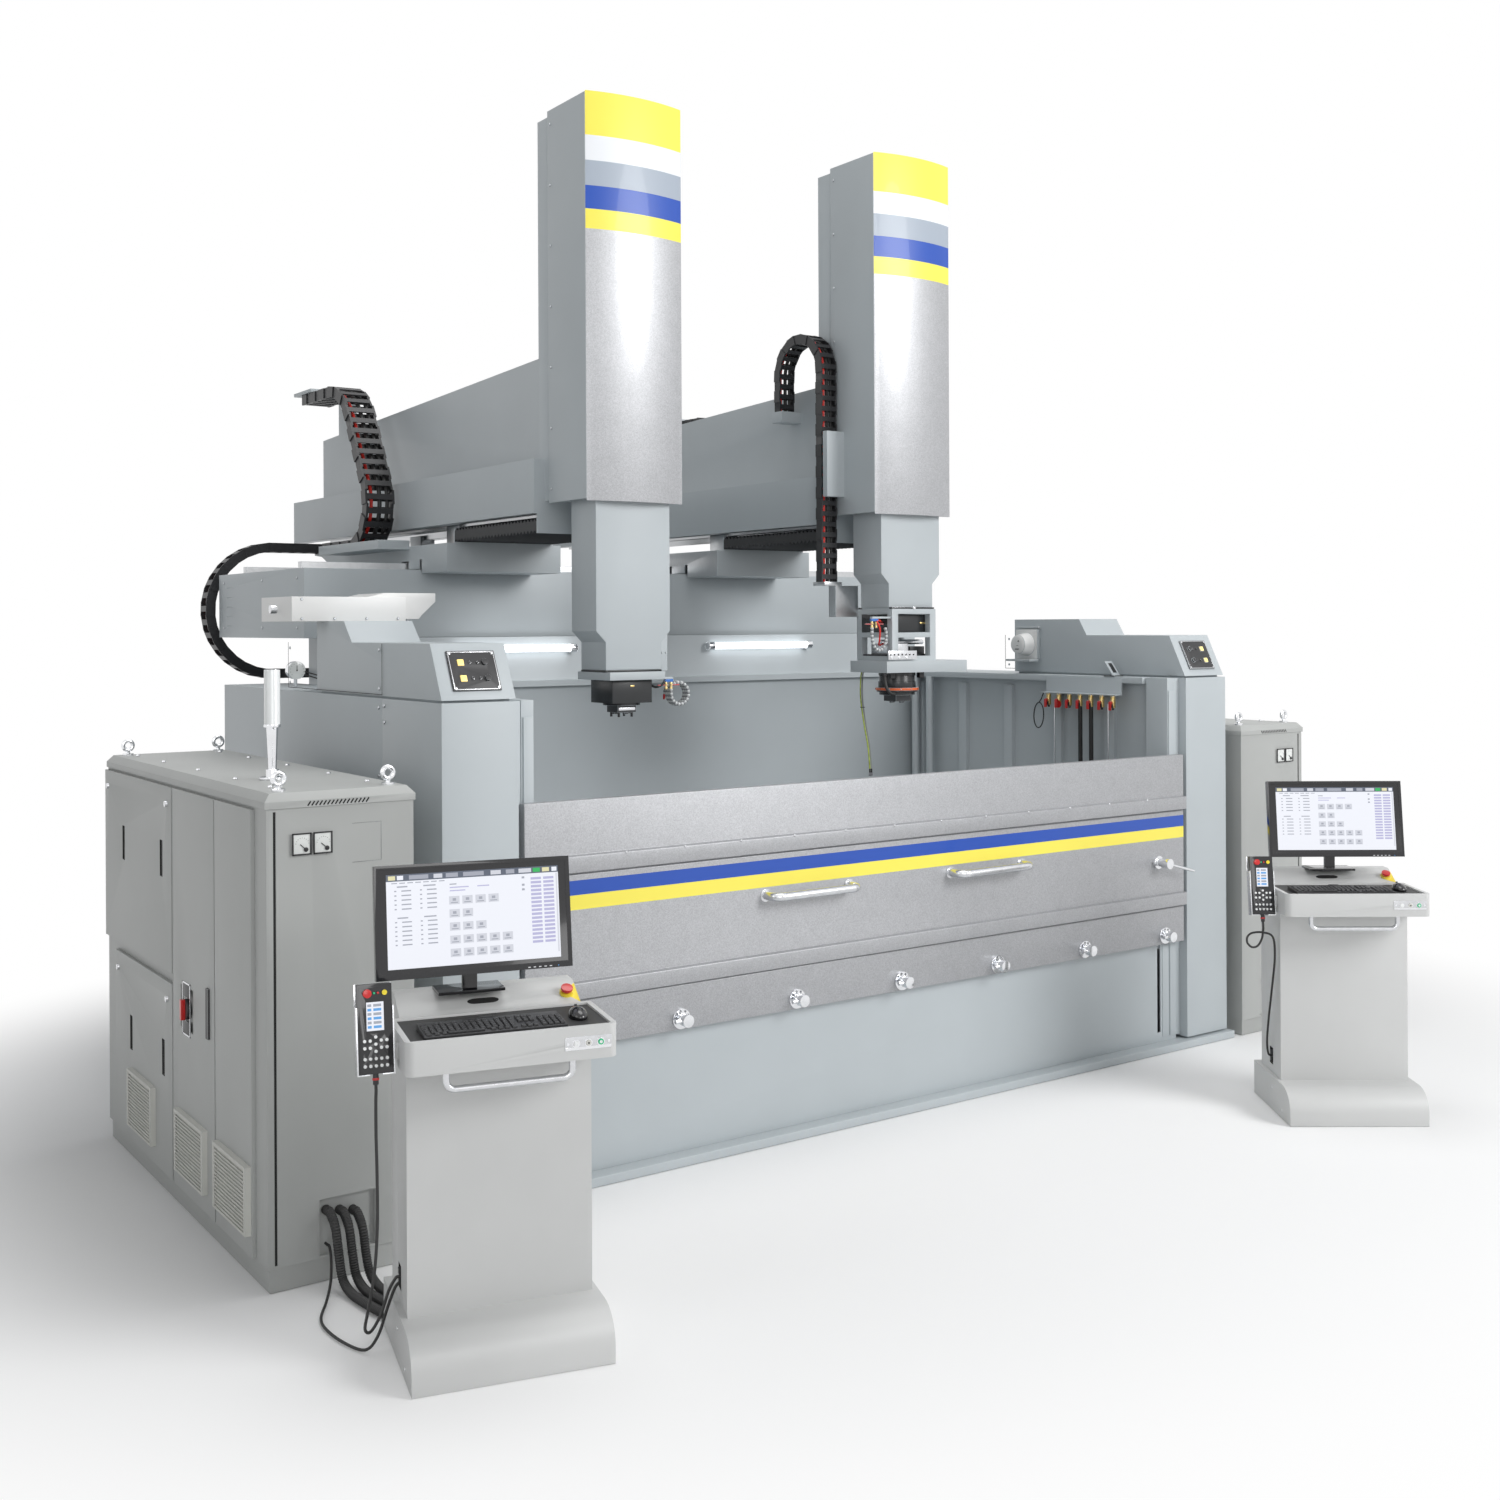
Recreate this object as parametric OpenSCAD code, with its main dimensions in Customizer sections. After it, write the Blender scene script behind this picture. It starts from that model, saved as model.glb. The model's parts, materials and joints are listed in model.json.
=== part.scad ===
// Sinker electrical discharge machine with two heads: a rear bed carries a cross beam, each
// head hangs on its own ram and saddle above the work tank, and two cabinets and two operator
// consoles stand round it. Millimetres, +Z up. The origin is on the floor, under the middle of
// the work tank; +X runs to the right along the tank door and +Y runs to the back.

/* [Work tank] */
// Clear width inside the work tank
tank_w = 4000; // [3960:10:4060]
// Clear depth inside the work tank, front to back
tank_d = 2160; // [2150:10:2200]
// Height of the tank rim above the floor
tank_top = 2030; // [2000:10:2060]
// Height of the tank floor
tank_floor = 560; // [520:10:580]
// Plate thickness of the tank
tank_wall = 8; // [6:1:10]
// Width of the work table
table_w = 3000; // [2600:50:3400]
// Depth of the work table
table_d = 1400; // [1200:50:1500]
// Height of the table top above the floor
table_top = 950; // [900:10:1000]

/* [Tank door] */
// Height of the lower edge of the closed door
door_bottom = 585; // [580:1:600]
// Height of the upper edge of the closed door
door_top = 1610; // [1580:5:1660]
// Thickness of the door box
door_t = 42; // [36:1:48]
// Number of clamp knobs along the lower edge
knob_n = 7; // [5:1:9]
// Length of a door handle
handle_len = 480; // [400:10:560]

/* [Side housings] */
// Width of a front post and of the housing behind it
post_w = 335; // [320:5:350]
// Depth of a front post
post_d = 600; // [560:10:640]
// How far the side housings reach to the back
side_back = 1617; // [1560:1:1660]
// Height of a control pod at its front
pod_h = 225; // [215:1:240]

/* [Bed and beam] */
// Length of the cross beam
beam_w = 4260; // [4200:10:4300]
// Height of the cross beam section
beam_h = 364; // [340:2:380]
// Height of the beam top above the floor
beam_top = 2640; // [2630:5:2660]
// Width of the rear bed
bed_w = 3200; // [3000:50:3400]

/* [Heads] */
// Place of the left head across the machine
head_x_left = -1155; // [-1170:5:-1140]
// Place of the right head across the machine
head_x_right = 545; // [535:5:560]
// Width of a head cover
head_w = 520; // [510:2:530]
// Depth of a head cover
head_d = 360; // [350:2:370]
// Height of the lower edge of a head cover
head_bottom = 2915; // [2905:1:2925]
// Height of the upper edge of a head cover
head_top = 4770; // [4700:10:4800]
// How far the front panel of a head bows out
head_bow = 40; // [30:1:50]
// Width of a quill
quill_w = 400; // [390:2:410]
// Depth of a quill
quill_d = 230; // [222:2:236]
// Width of a ram body
ram_w = 480; // [460:2:490]
// Length of a ram body
ram_len = 2890; // [2800:10:3000]
// Width of the skirt box on each side of a ram
skirt_w = 70; // [60:1:76]
// Width of a saddle
saddle_w = 670; // [660:2:680]

/* [Cabinets] */
// Width of an electrical cabinet
cab_w = 550; // [540:5:570]
// Depth of an electrical cabinet
cab_d = 2184; // [2160:2:2200]
// Height of a cabinet without its roof cap
cab_h = 1696; // [1680:2:1720]
// Height of the roof cap
cab_cap = 54; // [46:1:60]

/* [Consoles] */
// Width of a console foot
con_w = 640; // [620:5:660]
// Depth of a console foot
con_d = 560; // [540:5:580]
// Height of the tray surface
tray_top = 1075; // [1060:5:1090]
// Width of the tray
tray_w = 668; // [650:2:680]
// Width of the screen
screen_w = 640; // [600:5:660]
// Height of the screen
screen_h = 362; // [340:2:380]

/* [Hidden] */

// Paint and finish colours
paint = [0.66, 0.71, 0.72];
cab_paint = [0.62, 0.62, 0.61];
con_paint = [0.74, 0.75, 0.74];
sparkle = [0.55, 0.56, 0.58];
off_white = [0.85, 0.85, 0.80];
steel = [0.60, 0.62, 0.64];
chrome = [0.82, 0.83, 0.85];
black = [0.06, 0.06, 0.07];
dark = [0.16, 0.17, 0.18];
red = [0.80, 0.10, 0.08];
brass = [0.80, 0.65, 0.30];

// Shared small sizes
cut = 2;
seam = 2;
fit = 0.3;
skin = 4;
plate = 12;
lip = 10;

// Planes that the tank sets
tank_x = tank_w / 2;
tank_y = tank_d / 2;
door_gap = 8;
door_back = -tank_y - door_gap;
door_face = door_back - door_t;
door_over = 20;
door_x = tank_x + door_over;
post_gap = 45;
post_in = tank_x + post_gap;
post_out = post_in + post_w;
post_back = door_face + post_d;
post_foot = 50;
foot_h = 60;
pod_gap = 10;
pod_z = tank_top + pod_gap;

// Planes that the beam sets
beam_x = beam_w / 2;
beam_back = 20;
beam_y0 = tank_y + beam_back;
beam_d = 1420;
beam_y1 = beam_y0 + beam_d;
beam_z0 = beam_top - beam_h;
rail_w = 45;
rail_h = 40;
block_h = 30;
rail_clear = 15;
saddle_z0 = beam_top + rail_h + rail_clear;
saddle_t = 75;
saddle_z1 = saddle_z0 + saddle_t;
ram_lift = 130;
ram_z0 = saddle_z1 + ram_lift;
ram_front_drop = 720;
ram_back_drop = 600;

// Planes that the heads set
head_y1 = -220;
head_y0 = head_y1 - head_d;
column_y1 = -100;
quill_in = 20;
quill_y0 = head_y0 + quill_in;
quill_y1 = quill_y0 + quill_d;
quill_cy = (quill_y0 + quill_y1) / 2;
quill_top = 3900;
ram_y0 = column_y1;
ram_y1 = ram_y0 + ram_len;
skirt_nose = 60;
skirt_tail = 340;
skirt_drop = 30;
skirt_h = 260;
skirt_y0 = ram_y0 - skirt_nose;
skirt_y1 = ram_y1 + skirt_tail;
skirt_z0 = ram_z0 - skirt_drop;
skirt_z1 = skirt_z0 + skirt_h;
saddle_y0 = 760;
saddle_y1 = 2400;

// Cabinet and console places
cab_left_x = -3180;
cab_left_y = -1431;
cab_right_x = 2470;
cab_right_y = -1166;
console_x = [-2767, 1553];
console_y = [-2509, -2535];
console_turn = [-14, -36];
screen_shift = [-60, 0];

// Outline helpers: a box between six planes, and outlines pushed along an axis
module box6(x0, x1, y0, y1, z0, z1) {
    translate([x0, y0, z0])
        cube([x1 - x0, y1 - y0, z1 - z0]);
}
module hollow6(x0, x1, y0, y1, z0, z1, t) {
    difference() {
        box6(x0, x1, y0, y1, z0, z1);
        box6(x0 + t, x1 - t, y0 + t, y1 - t, z0 + t, z1 - t);
    }
}
module along_x(x0, x1, pts) {
    translate([x0, 0, 0])
        rotate([90, 0, 90])
            linear_extrude(x1 - x0)
                polygon(pts);
}
module along_y(y0, y1, pts) {
    translate([0, y1, 0])
        rotate([90, 0, 0])
            linear_extrude(y1 - y0)
                polygon(pts);
}
module rod_x(x0, x1, y, z, r) {
    translate([x0, y, z])
        rotate([0, 90, 0])
            cylinder(h = x1 - x0, r = r, $fn = 32);
}
module rod_y(y0, y1, x, z, r) {
    translate([x, y0, z])
        rotate([-90, 0, 0])
            cylinder(h = y1 - y0, r = r, $fn = 32);
}
module rod_z(z0, z1, x, y, r) {
    translate([x, y, z0])
        cylinder(h = z1 - z0, r = r, $fn = 32);
}
module both_sides() {
    children();
    mirror([1, 0, 0])
        children();
}

// Bent tube handle in the XY plane: two legs along +Y from the mounting face, joined by a bar
module bow_handle(len, reach, r, bend) {
    half = len / 2 - bend;
    for (s = [-1, 1]) {
        translate([s * half, -reach + bend, 0])
            rotate([0, 0, s > 0 ? -90 : 180])
                rotate_extrude(angle = 90, $fn = 48)
                    translate([bend, 0])
                        circle(r = r, $fn = 24);
        rod_y(-reach + bend, 0, s * (half + bend), 0, r);
    }
    rod_x(-half, half, -reach, 0, r);
}

// Points and headings along a path of straights and bends. Each row of segs is a length and a
// turn in degrees: a straight has no turn, and a bend's length is its radius.
function seg_len(g) = g[1] == 0 ? g[0] : g[0] * abs(g[1]) * PI / 180;
function total_len(segs, i = 0) = i >= len(segs) ? 0 : seg_len(segs[i]) + total_len(segs, i + 1);
function step_on(p, g, s) = g[1] == 0
    ? [p[0] + s * cos(p[2]), p[1] + s * sin(p[2]), p[2]]
    : let (k = g[1] > 0 ? 1 : -1, a = p[2] + k * s / g[0] * 180 / PI)
        [p[0] + k * g[0] * (sin(a) - sin(p[2])), p[1] - k * g[0] * (cos(a) - cos(p[2])), a];
function path_at(p, segs, s, i = 0) = i >= len(segs) - 1 || s <= seg_len(segs[i])
    ? step_on(p, segs[i], s)
    : path_at(step_on(p, segs[i], seg_len(segs[i])), segs, s - seg_len(segs[i]), i + 1);

// Energy chain: links of two side plates and two cross bars, one after another on the path,
// with the path in a plane and the chain's width across it, from 0 to w. Every second link
// stands half a plate further in, so that neighbours lap over each other.
link_side_share = 1 / 14;
link_bar_share = 1 / 8;
link_bar_len_share = 0.45;
link_lap_share = 0.06;
module chain_links(start, segs, pitch, w, h) {
    n = round(total_len(segs) / pitch);
    step = total_len(segs) / n;
    side_t = w * link_side_share;
    bar_t = h * link_bar_share;
    bar_w = step * link_bar_len_share;
    for (i = [0 : n - 1]) {
        p = path_at(start, segs, (i + 0.5) * step);
        lap_0 = i == 0 ? 0 : step * link_lap_share;
        lap_1 = i == n - 1 ? 0 : step * link_lap_share;
        in = i % 2 == 0 ? 0 : side_t / 2;
        translate([p[0], p[1], 0])
            rotate([0, 0, p[2]]) {
                for (z = [in, w - side_t - in])
                    box6(-step / 2 - lap_0, step / 2 + lap_1, -h / 2, h / 2, z, z + side_t);
                for (y = [-h / 2, h / 2 - bar_t])
                    box6(-bar_w / 2, bar_w / 2, y, y + bar_t, in, w - in);
            }
    }
}
// The chain's plane stands along Y and Z, at x0
module chain_in_yz(x0, start, segs, pitch, w, h) {
    translate([x0, 0, 0])
        rotate([90, 0, 90])
            chain_links(start, segs, pitch, w, h);
}
// The chain's plane stands along X and Z, with its back at y1
module chain_in_xz(y1, start, segs, pitch, w, h) {
    translate([0, y1, 0])
        rotate([90, 0, 0])
            chain_links(start, segs, pitch, w, h);
}

// Swept tube along hand-chosen points: one ring of n corners at each point, of its own radius
function unit(v) = v / norm(v);
function tangent(p, i) = unit(p[min(i + 1, len(p) - 1)] - p[max(i - 1, 0)]);
function turned(u, t) = unit(u - (u * t) * t);
function frames(p, i, u) = i >= len(p) ? []
    : let (v = turned(u, tangent(p, i))) concat([v], frames(p, i + 1, v));
function ring(c, t, u, r, n) = let (w = cross(t, u))
    [for (k = [0 : n - 1]) c + r * (cos(360 * k / n) * u + sin(360 * k / n) * w)];
module tube(p, radii, n, side) {
    u = frames(p, 0, turned(side, tangent(p, 0)));
    m = len(p);
    pts = [for (i = [0 : m - 1]) each ring(p[i], tangent(p, i), u[i], radii[i], n)];
    walls = [for (i = [0 : m - 2], k = [0 : n - 1], h = [0, 1])
        let (a = i * n + k, b = i * n + (k + 1) % n)
            h == 0 ? [a, a + n, b] : [b, a + n, b + n]];
    caps = [for (k = [1 : n - 2], h = [0, 1])
        h == 0 ? [0, k, k + 1] : [(m - 1) * n, (m - 1) * n + k + 1, (m - 1) * n + k]];
    polyhedron(pts, concat(walls, caps));
}
// Smooth curve through the points: m steps between two of them
function smooth_at(p, i, t) = let (a = p[max(i - 1, 0)], b = p[i], c = p[i + 1],
        d = p[min(i + 2, len(p) - 1)])
    0.5 * (2 * b + (c - a) * t + (2 * a - 5 * b + 4 * c - d) * t * t
        + (3 * b - a - 3 * c + d) * t * t * t);
function smooth(p, m) = concat([for (i = [0 : len(p) - 2], k = [0 : m - 1]) smooth_at(p, i, k / m)],
    [p[len(p) - 1]]);

// Floor frame under the tank and the side housings, with its levelling pads
rail_front = door_face - 30;
frame_t = 60;
frame_cross = 120;
frame_pad = 30;
module base_frame() {
    color(paint)
        difference() {
            box6(-post_out - frame_pad, post_out + frame_pad, rail_front, side_back, 0, foot_h - frame_t / 3);
            for (sx = [-1, 1], sy = [-1, 1])
                box6(sx > 0 ? frame_cross / 2 : -post_out + frame_cross,
                    sx > 0 ? post_out - frame_cross : -frame_cross / 2,
                    sy > 0 ? frame_cross / 2 : rail_front + frame_cross * 1.5,
                    sy > 0 ? side_back - frame_cross : -frame_cross / 2, -cut, foot_h);
        }
}

// Rear bed behind the tank that carries the beam
bed_y0 = beam_y0 + 40;
bed_y1 = beam_y1 - 20;
bed_wall = 30;
bed_foot = 90;
bed_z0 = foot_h - frame_t / 3;
module machine_bed() {
    color(paint) {
        difference() {
            along_x(-bed_w / 2, bed_w / 2, [[bed_y0, bed_z0], [side_back + seam, bed_z0],
                [side_back + seam, 0], [bed_y1, 0], [bed_y1, beam_z0], [bed_y0, beam_z0]]);
            box6(-bed_w / 2 + bed_wall, bed_w / 2 - bed_wall, bed_y0 + bed_wall, bed_y1 - bed_wall,
                bed_z0 + bed_wall, beam_z0 - bed_wall);
        }
        box6(bc_x + bc_tail - bc_pitch * 3, bc_x + bc_tail + bc_pitch, bed_y1, bc_y1,
            bc_top - bc_r * 2 - bc_h / 2 - lip * 2, bc_top - bc_r * 2 - bc_h / 2 - fit);
        for (s = [-1, 1])
            along_y(side_back + bed_foot, bed_y1 - bed_foot, [[s * bed_w / 2, 0],
                [s * (bed_w / 2 + bed_foot * 2), 0], [s * (bed_w / 2 + bed_foot * 2), bed_foot / 2],
                [s * bed_w / 2, bed_foot * 3]]);
    }
}

// Work tank: skirt, floor, side and back walls with ribs, the front closed only below the door
front_wall_top = tank_floor + 35;
rib_n = 5;
rib_start_share = 0.62;
rib_pitch_share = 0.19;
pipe_shares = [0.80, 0.93];
rib_w = 70;
rib_t = 26;
corner_w = 150;
splash_y = tank_y + tank_wall;
slot_w = 26;
slot_in = 130;
slot_x = tank_x - slot_in;
strip_w = 46;
module work_tank() {
    base_z = foot_h - frame_t / 3;
    color(paint) {
        difference() {
            box6(-tank_x - tank_wall, tank_x + tank_wall, -tank_y, splash_y, base_z, tank_top);
            box6(-tank_x, tank_x, -tank_y + tank_wall, tank_y, tank_floor, tank_top + cut);
            box6(-tank_x, tank_x, -tank_y + tank_wall, tank_y, base_z - cut, tank_floor - plate);
            box6(-tank_x + corner_w / 3, tank_x - corner_w / 3, -tank_y - cut, -tank_y + plate,
                front_wall_top, tank_top + cut);
            for (s = [-1, 1])
                box6(s * slot_x - slot_w / 2, s * slot_x + slot_w / 2, -tank_y - cut,
                    -tank_y + plate, base_z + slot_w * 2, front_wall_top - slot_w);
        }
        both_sides() {
            for (i = [0 : rib_n - 1])
                translate([0, -tank_y * rib_start_share + i * tank_d * rib_pitch_share, 0])
                    box6(tank_x - rib_t, tank_x, 0, rib_w, tank_floor, tank_top - rib_w);
            box6(tank_x - rib_w, tank_x, -tank_y + tank_wall + corner_w, tank_y, tank_top - rib_w / 2,
                tank_top);
            box6(tank_x - corner_w / 3, tank_x, -tank_y + tank_wall, -tank_y + corner_w,
                tank_floor, tank_top);
            box6(slot_x + slot_w, slot_x + slot_w + strip_w, -tank_y - door_gap / 2, -tank_y,
                base_z + slot_w, front_wall_top - slot_w);
            box6(tank_x - strip_w, tank_x, -tank_y - door_gap + fit, -tank_y, base_z + slot_w,
                tank_top - rib_w);
        }
        box6(-tank_x, tank_x, tank_y - rib_w / 2, tank_y, tank_top - rib_w / 2, tank_top);
        box6(-tank_x, tank_x, splash_y - tank_wall, splash_y, tank_top, beam_z0 - fit);
    }
    color(steel)
        both_sides()
            for (y = tank_y * pipe_shares)
                rod_z(tank_floor, tank_top - rib_w / 2, tank_x - rib_w / 2 - rib_t, y, rib_t);
}

// Work table with T-slots, on its pedestal
table_t = 130;
slot_n = 8;
t_slot_w = 18;
t_slot_d = 30;
leg_at_share = 0.36;
leg_d_share = 0.4;
module work_table() {
    pitch = table_d / slot_n;
    color(steel) {
        difference() {
            box6(-table_w / 2, table_w / 2, -table_d / 2, table_d / 2, table_top - table_t, table_top);
            for (i = [0 : slot_n - 1])
                translate([0, -table_d / 2 + pitch * (i + 0.5), table_top]) {
                    box6(-table_w / 2 - cut, table_w / 2 + cut, -t_slot_w / 2, t_slot_w / 2, -t_slot_d, cut);
                    box6(-table_w / 2 - cut, table_w / 2 + cut, -t_slot_w, t_slot_w,
                        -t_slot_d - t_slot_w, -t_slot_d);
                }
        }
        for (x = [-1, 0, 1])
            hollow6(x * table_w * leg_at_share - table_w / 10, x * table_w * leg_at_share + table_w / 10,
                -table_d * leg_d_share, table_d * leg_d_share, tank_floor, table_top - table_t, bed_wall);
    }
}

// Front post and the housing behind it, on the left side; the right side is its mirror image
module side_post() {
    color(paint) {
        hollow6(-post_out, -post_in, door_face, post_back, post_foot, tank_top, skin);
        hollow6(-post_out, -tank_x - tank_wall - seam, post_back + seam, side_back, foot_h,
            tank_top, skin);
        box6(-post_in, -tank_x - tank_wall - seam, -tank_y + seam, post_back, foot_h, tank_top - seam);
        box6(-post_out + lip, -post_in - lip, post_back - post_d / 2, post_back - lip,
            foot_h - frame_t / 3, post_foot);
        box6(-post_out + lip, -tank_x - corner_w, post_back + lip, side_back - lip,
            foot_h - frame_t / 3, foot_h);
    }
}
module left_post() {
    side_post();
}
module right_post() {
    mirror([1, 0, 0])
        side_post();
}

// Control pod on top of a post: a stepped cover with a sloped face and its switch panel
pod_top = pod_z + pod_h;
pod_step = 95;
pod_slope = 110;
panel_w = 210;
panel_h = 175;
panel_t = 8;
lamp_w = 26;
pod_left = [-180, -85, 250];
pod_right = [-395, -335, 200];
module pod(y) {
    step_y0 = y[0];
    step_y1 = y[1];
    back_y = y[2];
    color(paint) {
        along_x(post_in + lip / 2, post_out - lip / 2, [[door_face + lip, pod_z],
            [door_face + lip + pod_slope, pod_top], [step_y0, pod_top],
            [step_y1, pod_top + pod_step], [back_y, pod_top + pod_step], [back_y, pod_z]]);
        box6(post_in + lip * 2, post_out - lip * 2, door_face + lip * 4, back_y - lip * 2, tank_top, pod_z);
    }
    tilt = atan(pod_slope / pod_h);
    translate([(post_in + post_out) / 2, door_face + lip + pod_slope / 2, pod_z + pod_h / 2])
        rotate([90 - tilt, 0, 0]) {
            color(black)
                box6(-panel_w / 2, panel_w / 2, -panel_h / 2, panel_h / 2, 0, panel_t);
            color([0.95, 0.80, 0.25])
                for (v = [-1, 1])
                    box6(panel_w / 4 - lamp_w / 2, panel_w / 4 + lamp_w / 2,
                        v * panel_h / 5 - lamp_w / 2, v * panel_h / 5 + lamp_w / 2,
                        panel_t, panel_t + lip / 2);
            color(dark)
                for (v = [-1, 1])
                    rod_z(panel_t, panel_t + lip, -panel_w / 4, v * panel_h / 5, lamp_w / 2);
        }
}
gauge_r = 45;
gauge_y = 1000;
gauge_up_share = 1.9;
module left_control_pod() {
    mirror([1, 0, 0])
        pod(pod_left);
    color(chrome) {
        rod_z(tank_top, tank_top + gauge_r, -post_in - post_w / 2, gauge_y, gauge_r / 5);
        rod_y(gauge_y - gauge_r / 2, gauge_y + gauge_r / 2, -post_in - post_w / 2,
            tank_top + gauge_r * gauge_up_share, gauge_r);
    }
}
dome_r = 70;
dome_y = 75;
dome_up_share = 0.75;
dome_plate_share = 1.3;
dome_top_share = 0.8;
module right_control_pod() {
    pod(pod_right);
    bz = pod_z + pod_h * dome_up_share;
    plate_r = dome_r * dome_plate_share;
    color(paint)
        box6(post_in + lip / 2 - plate * 2, post_in + lip / 2 - fit / 3, dome_y - plate_r,
            dome_y + plate_r, bz - plate_r, bz + plate_r);
    color(off_white)
        translate([post_in + lip / 2 - plate * 2, dome_y, bz])
            rotate([0, -90, 0])
                cylinder(h = dome_r, r1 = dome_r, r2 = dome_r * dome_top_share, $fn = 48);
}

// Cross beam with end plates and two guide rails
end_plate = 6;
beam_wall = 24;
rail_in = [200, 320];
x_rail_y = [beam_y0 + rail_in[0], beam_y1 - rail_in[1]];
slit_at_share = 0.14;
slit_top_share = 0.22;
slit_pitch_share = 0.15;
slit_len_share = 0.07;
module cross_beam() {
    color(paint) {
        hollow6(-beam_x + end_plate, beam_x - end_plate, beam_y0, beam_y1, beam_z0, beam_top, beam_wall);
        for (s = [-1, 1])
            difference() {
                box6(s > 0 ? beam_x - end_plate : -beam_x, s > 0 ? beam_x : -beam_x + end_plate,
                    beam_y0, beam_y1, beam_z0, beam_top);
                for (i = [0 : 4])
                    translate([s * beam_x, beam_y1 - beam_d * slit_at_share,
                        beam_top - beam_h * (slit_top_share + slit_pitch_share * i)])
                        cube([end_plate, beam_d * slit_len_share, end_plate], center = true);
            }
    }
    color(steel)
        for (y = x_rail_y)
            box6(-beam_x + plate * 4, beam_x - plate * 4, y - rail_w / 2, y + rail_w / 2, beam_top,
                beam_top + rail_h);
}

// Tubular work lights under the front edge of the beam
light_r = 20;
light_len = 695;
light_x = [-957, 718];
light_drop = 66;
light_out = 36;
light_z = beam_z0 - light_drop;
light_y = splash_y - tank_wall - light_out;
module work_lights() {
    for (x = light_x) {
        color([0.95, 0.97, 1.0])
            rod_x(x - light_len / 2, x + light_len / 2, light_y, light_z, light_r);
        color(steel)
            for (s = [-1, 1])
                translate([x + s * (light_len / 2 + light_r), light_y, light_z]) {
                    rod_x(-light_r, light_r, 0, 0, light_r * 1.25);
                    box6(-light_r / 2, light_r / 2, light_r, splash_y - tank_wall - light_y,
                        -light_r, light_r);
                }
    }
}

// Flushing manifold on the right wall: a channel with seven ball valves and two hoses
valve_n = 7;
valve_y0 = -774;
valve_y1 = -191;
valve_z = 1925;
valve_r = 14;
channel_d = 60;
pipe_places = [2, 3];
module valve_manifold() {
    x1 = tank_x - rib_w;
    pitch = (valve_y1 - valve_y0) / valve_n;
    color(paint)
        along_y(valve_y0, valve_y1, [[x1 - channel_d, valve_z], [x1, valve_z], [x1, tank_top - lip],
            [x1 - plate / 2, tank_top - lip], [x1 - plate / 2, valve_z + plate / 2],
            [x1 - channel_d, valve_z + plate / 2]]);
    for (i = [0 : valve_n - 1])
        translate([x1 - channel_d / 2, valve_y0 + pitch * (i + 0.5), valve_z]) {
            color(brass) {
                rod_z(-valve_r * 5, 0, 0, 0, valve_r);
                rod_x(-valve_r * 1.7, 0, 0, -valve_r * 3, valve_r * 0.7);
            }
            color(red)
                box6(-valve_r * 2.2, -valve_r * 1.7, -valve_r * 0.6, valve_r * 0.6,
                    -valve_r * 6, -valve_r * 2.6);
        }
    color(black)
        for (i = pipe_places)
            rod_z(tank_floor, valve_z - valve_r * 5, x1 - channel_d / 2, valve_y0 + pitch * (i + 0.5),
                valve_r * 0.9);
}

// Electrode changer on the left housing: the arm's cover and the gripper at its end
arm_y0 = 100;
arm_y1 = 513;
arm_x0 = -2546;
arm_x1 = -2001;
arm_h = 112;
arm_z = pod_top + pod_step;
grip_w = 170;
grip_in = 46;
grip_shares = [0.35, 0.5, 0.6];
module tool_changer() {
    yc = (arm_y0 + arm_y1) / 2;
    color(off_white) {
        hollow6(arm_x0, arm_x1, arm_y0, arm_y1, arm_z, arm_z + arm_h, skin);
        along_y(arm_y0 + grip_in, arm_y1 - grip_in, [[arm_x1, arm_z + lip], [arm_x1, arm_z + arm_h],
            [arm_x1 - grip_w, arm_z + arm_h], [arm_x1 - grip_w / 2, arm_z + arm_h + lip * 2],
            [arm_x1 + grip_w, arm_z + arm_h + lip * 2], [arm_x1 + grip_w, arm_z + arm_h - lip * 2],
            [arm_x1 + grip_w * grip_shares[2], arm_z + lip * 3],
            [arm_x1 + grip_w * grip_shares[1], arm_z + lip]]);
    }
    color(chrome) {
        rod_x(arm_x0 - lip * 3, arm_x0, yc, arm_z + arm_h / 2, lip * 2);
        for (s = [-1, 1])
            rod_z(arm_z - lip * 2, arm_z + lip, arm_x1 + grip_w * grip_shares[0], yc + s * grip_w / 2, lip);
    }
}

// Cabinet: plinth, body with a switchgear bay on its outer side, and a chamfered roof cap.
// It is modelled with its outer side on -X and its front at Y zero.
plinth_h = 85;
outlet_shares = [0.34, 0.72];
gap_shares = [0.045, 0.065];
meter_at_share = 0.17;
meter_pitch_share = 0.14;
meter_w = 64;
meter_z = [165, 93];
vent_at_share = 0.28;
vent_span_share = 0.42;
vent_tilt = 35;
vent_h_share = 0.7;
outlet_x0 = cab_w * outlet_shares[0];
outlet_x1 = cab_w * outlet_shares[1];
outlet_top = plinth_h + lip * 21;
gland_y = 20;
cap_slope = 25;
cap_over = 6;
bay_y0 = 548;
bay_y1 = 1101;
bay_z0 = 95;
bay_d = 300;
rim = 30;
vent_n = 16;
module outlet(y0, t) {
    box6(outlet_x0 - t, outlet_x1 + t, y0, gland_y + fit + t, plinth_h + lip - t, outlet_top + t);
}
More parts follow.
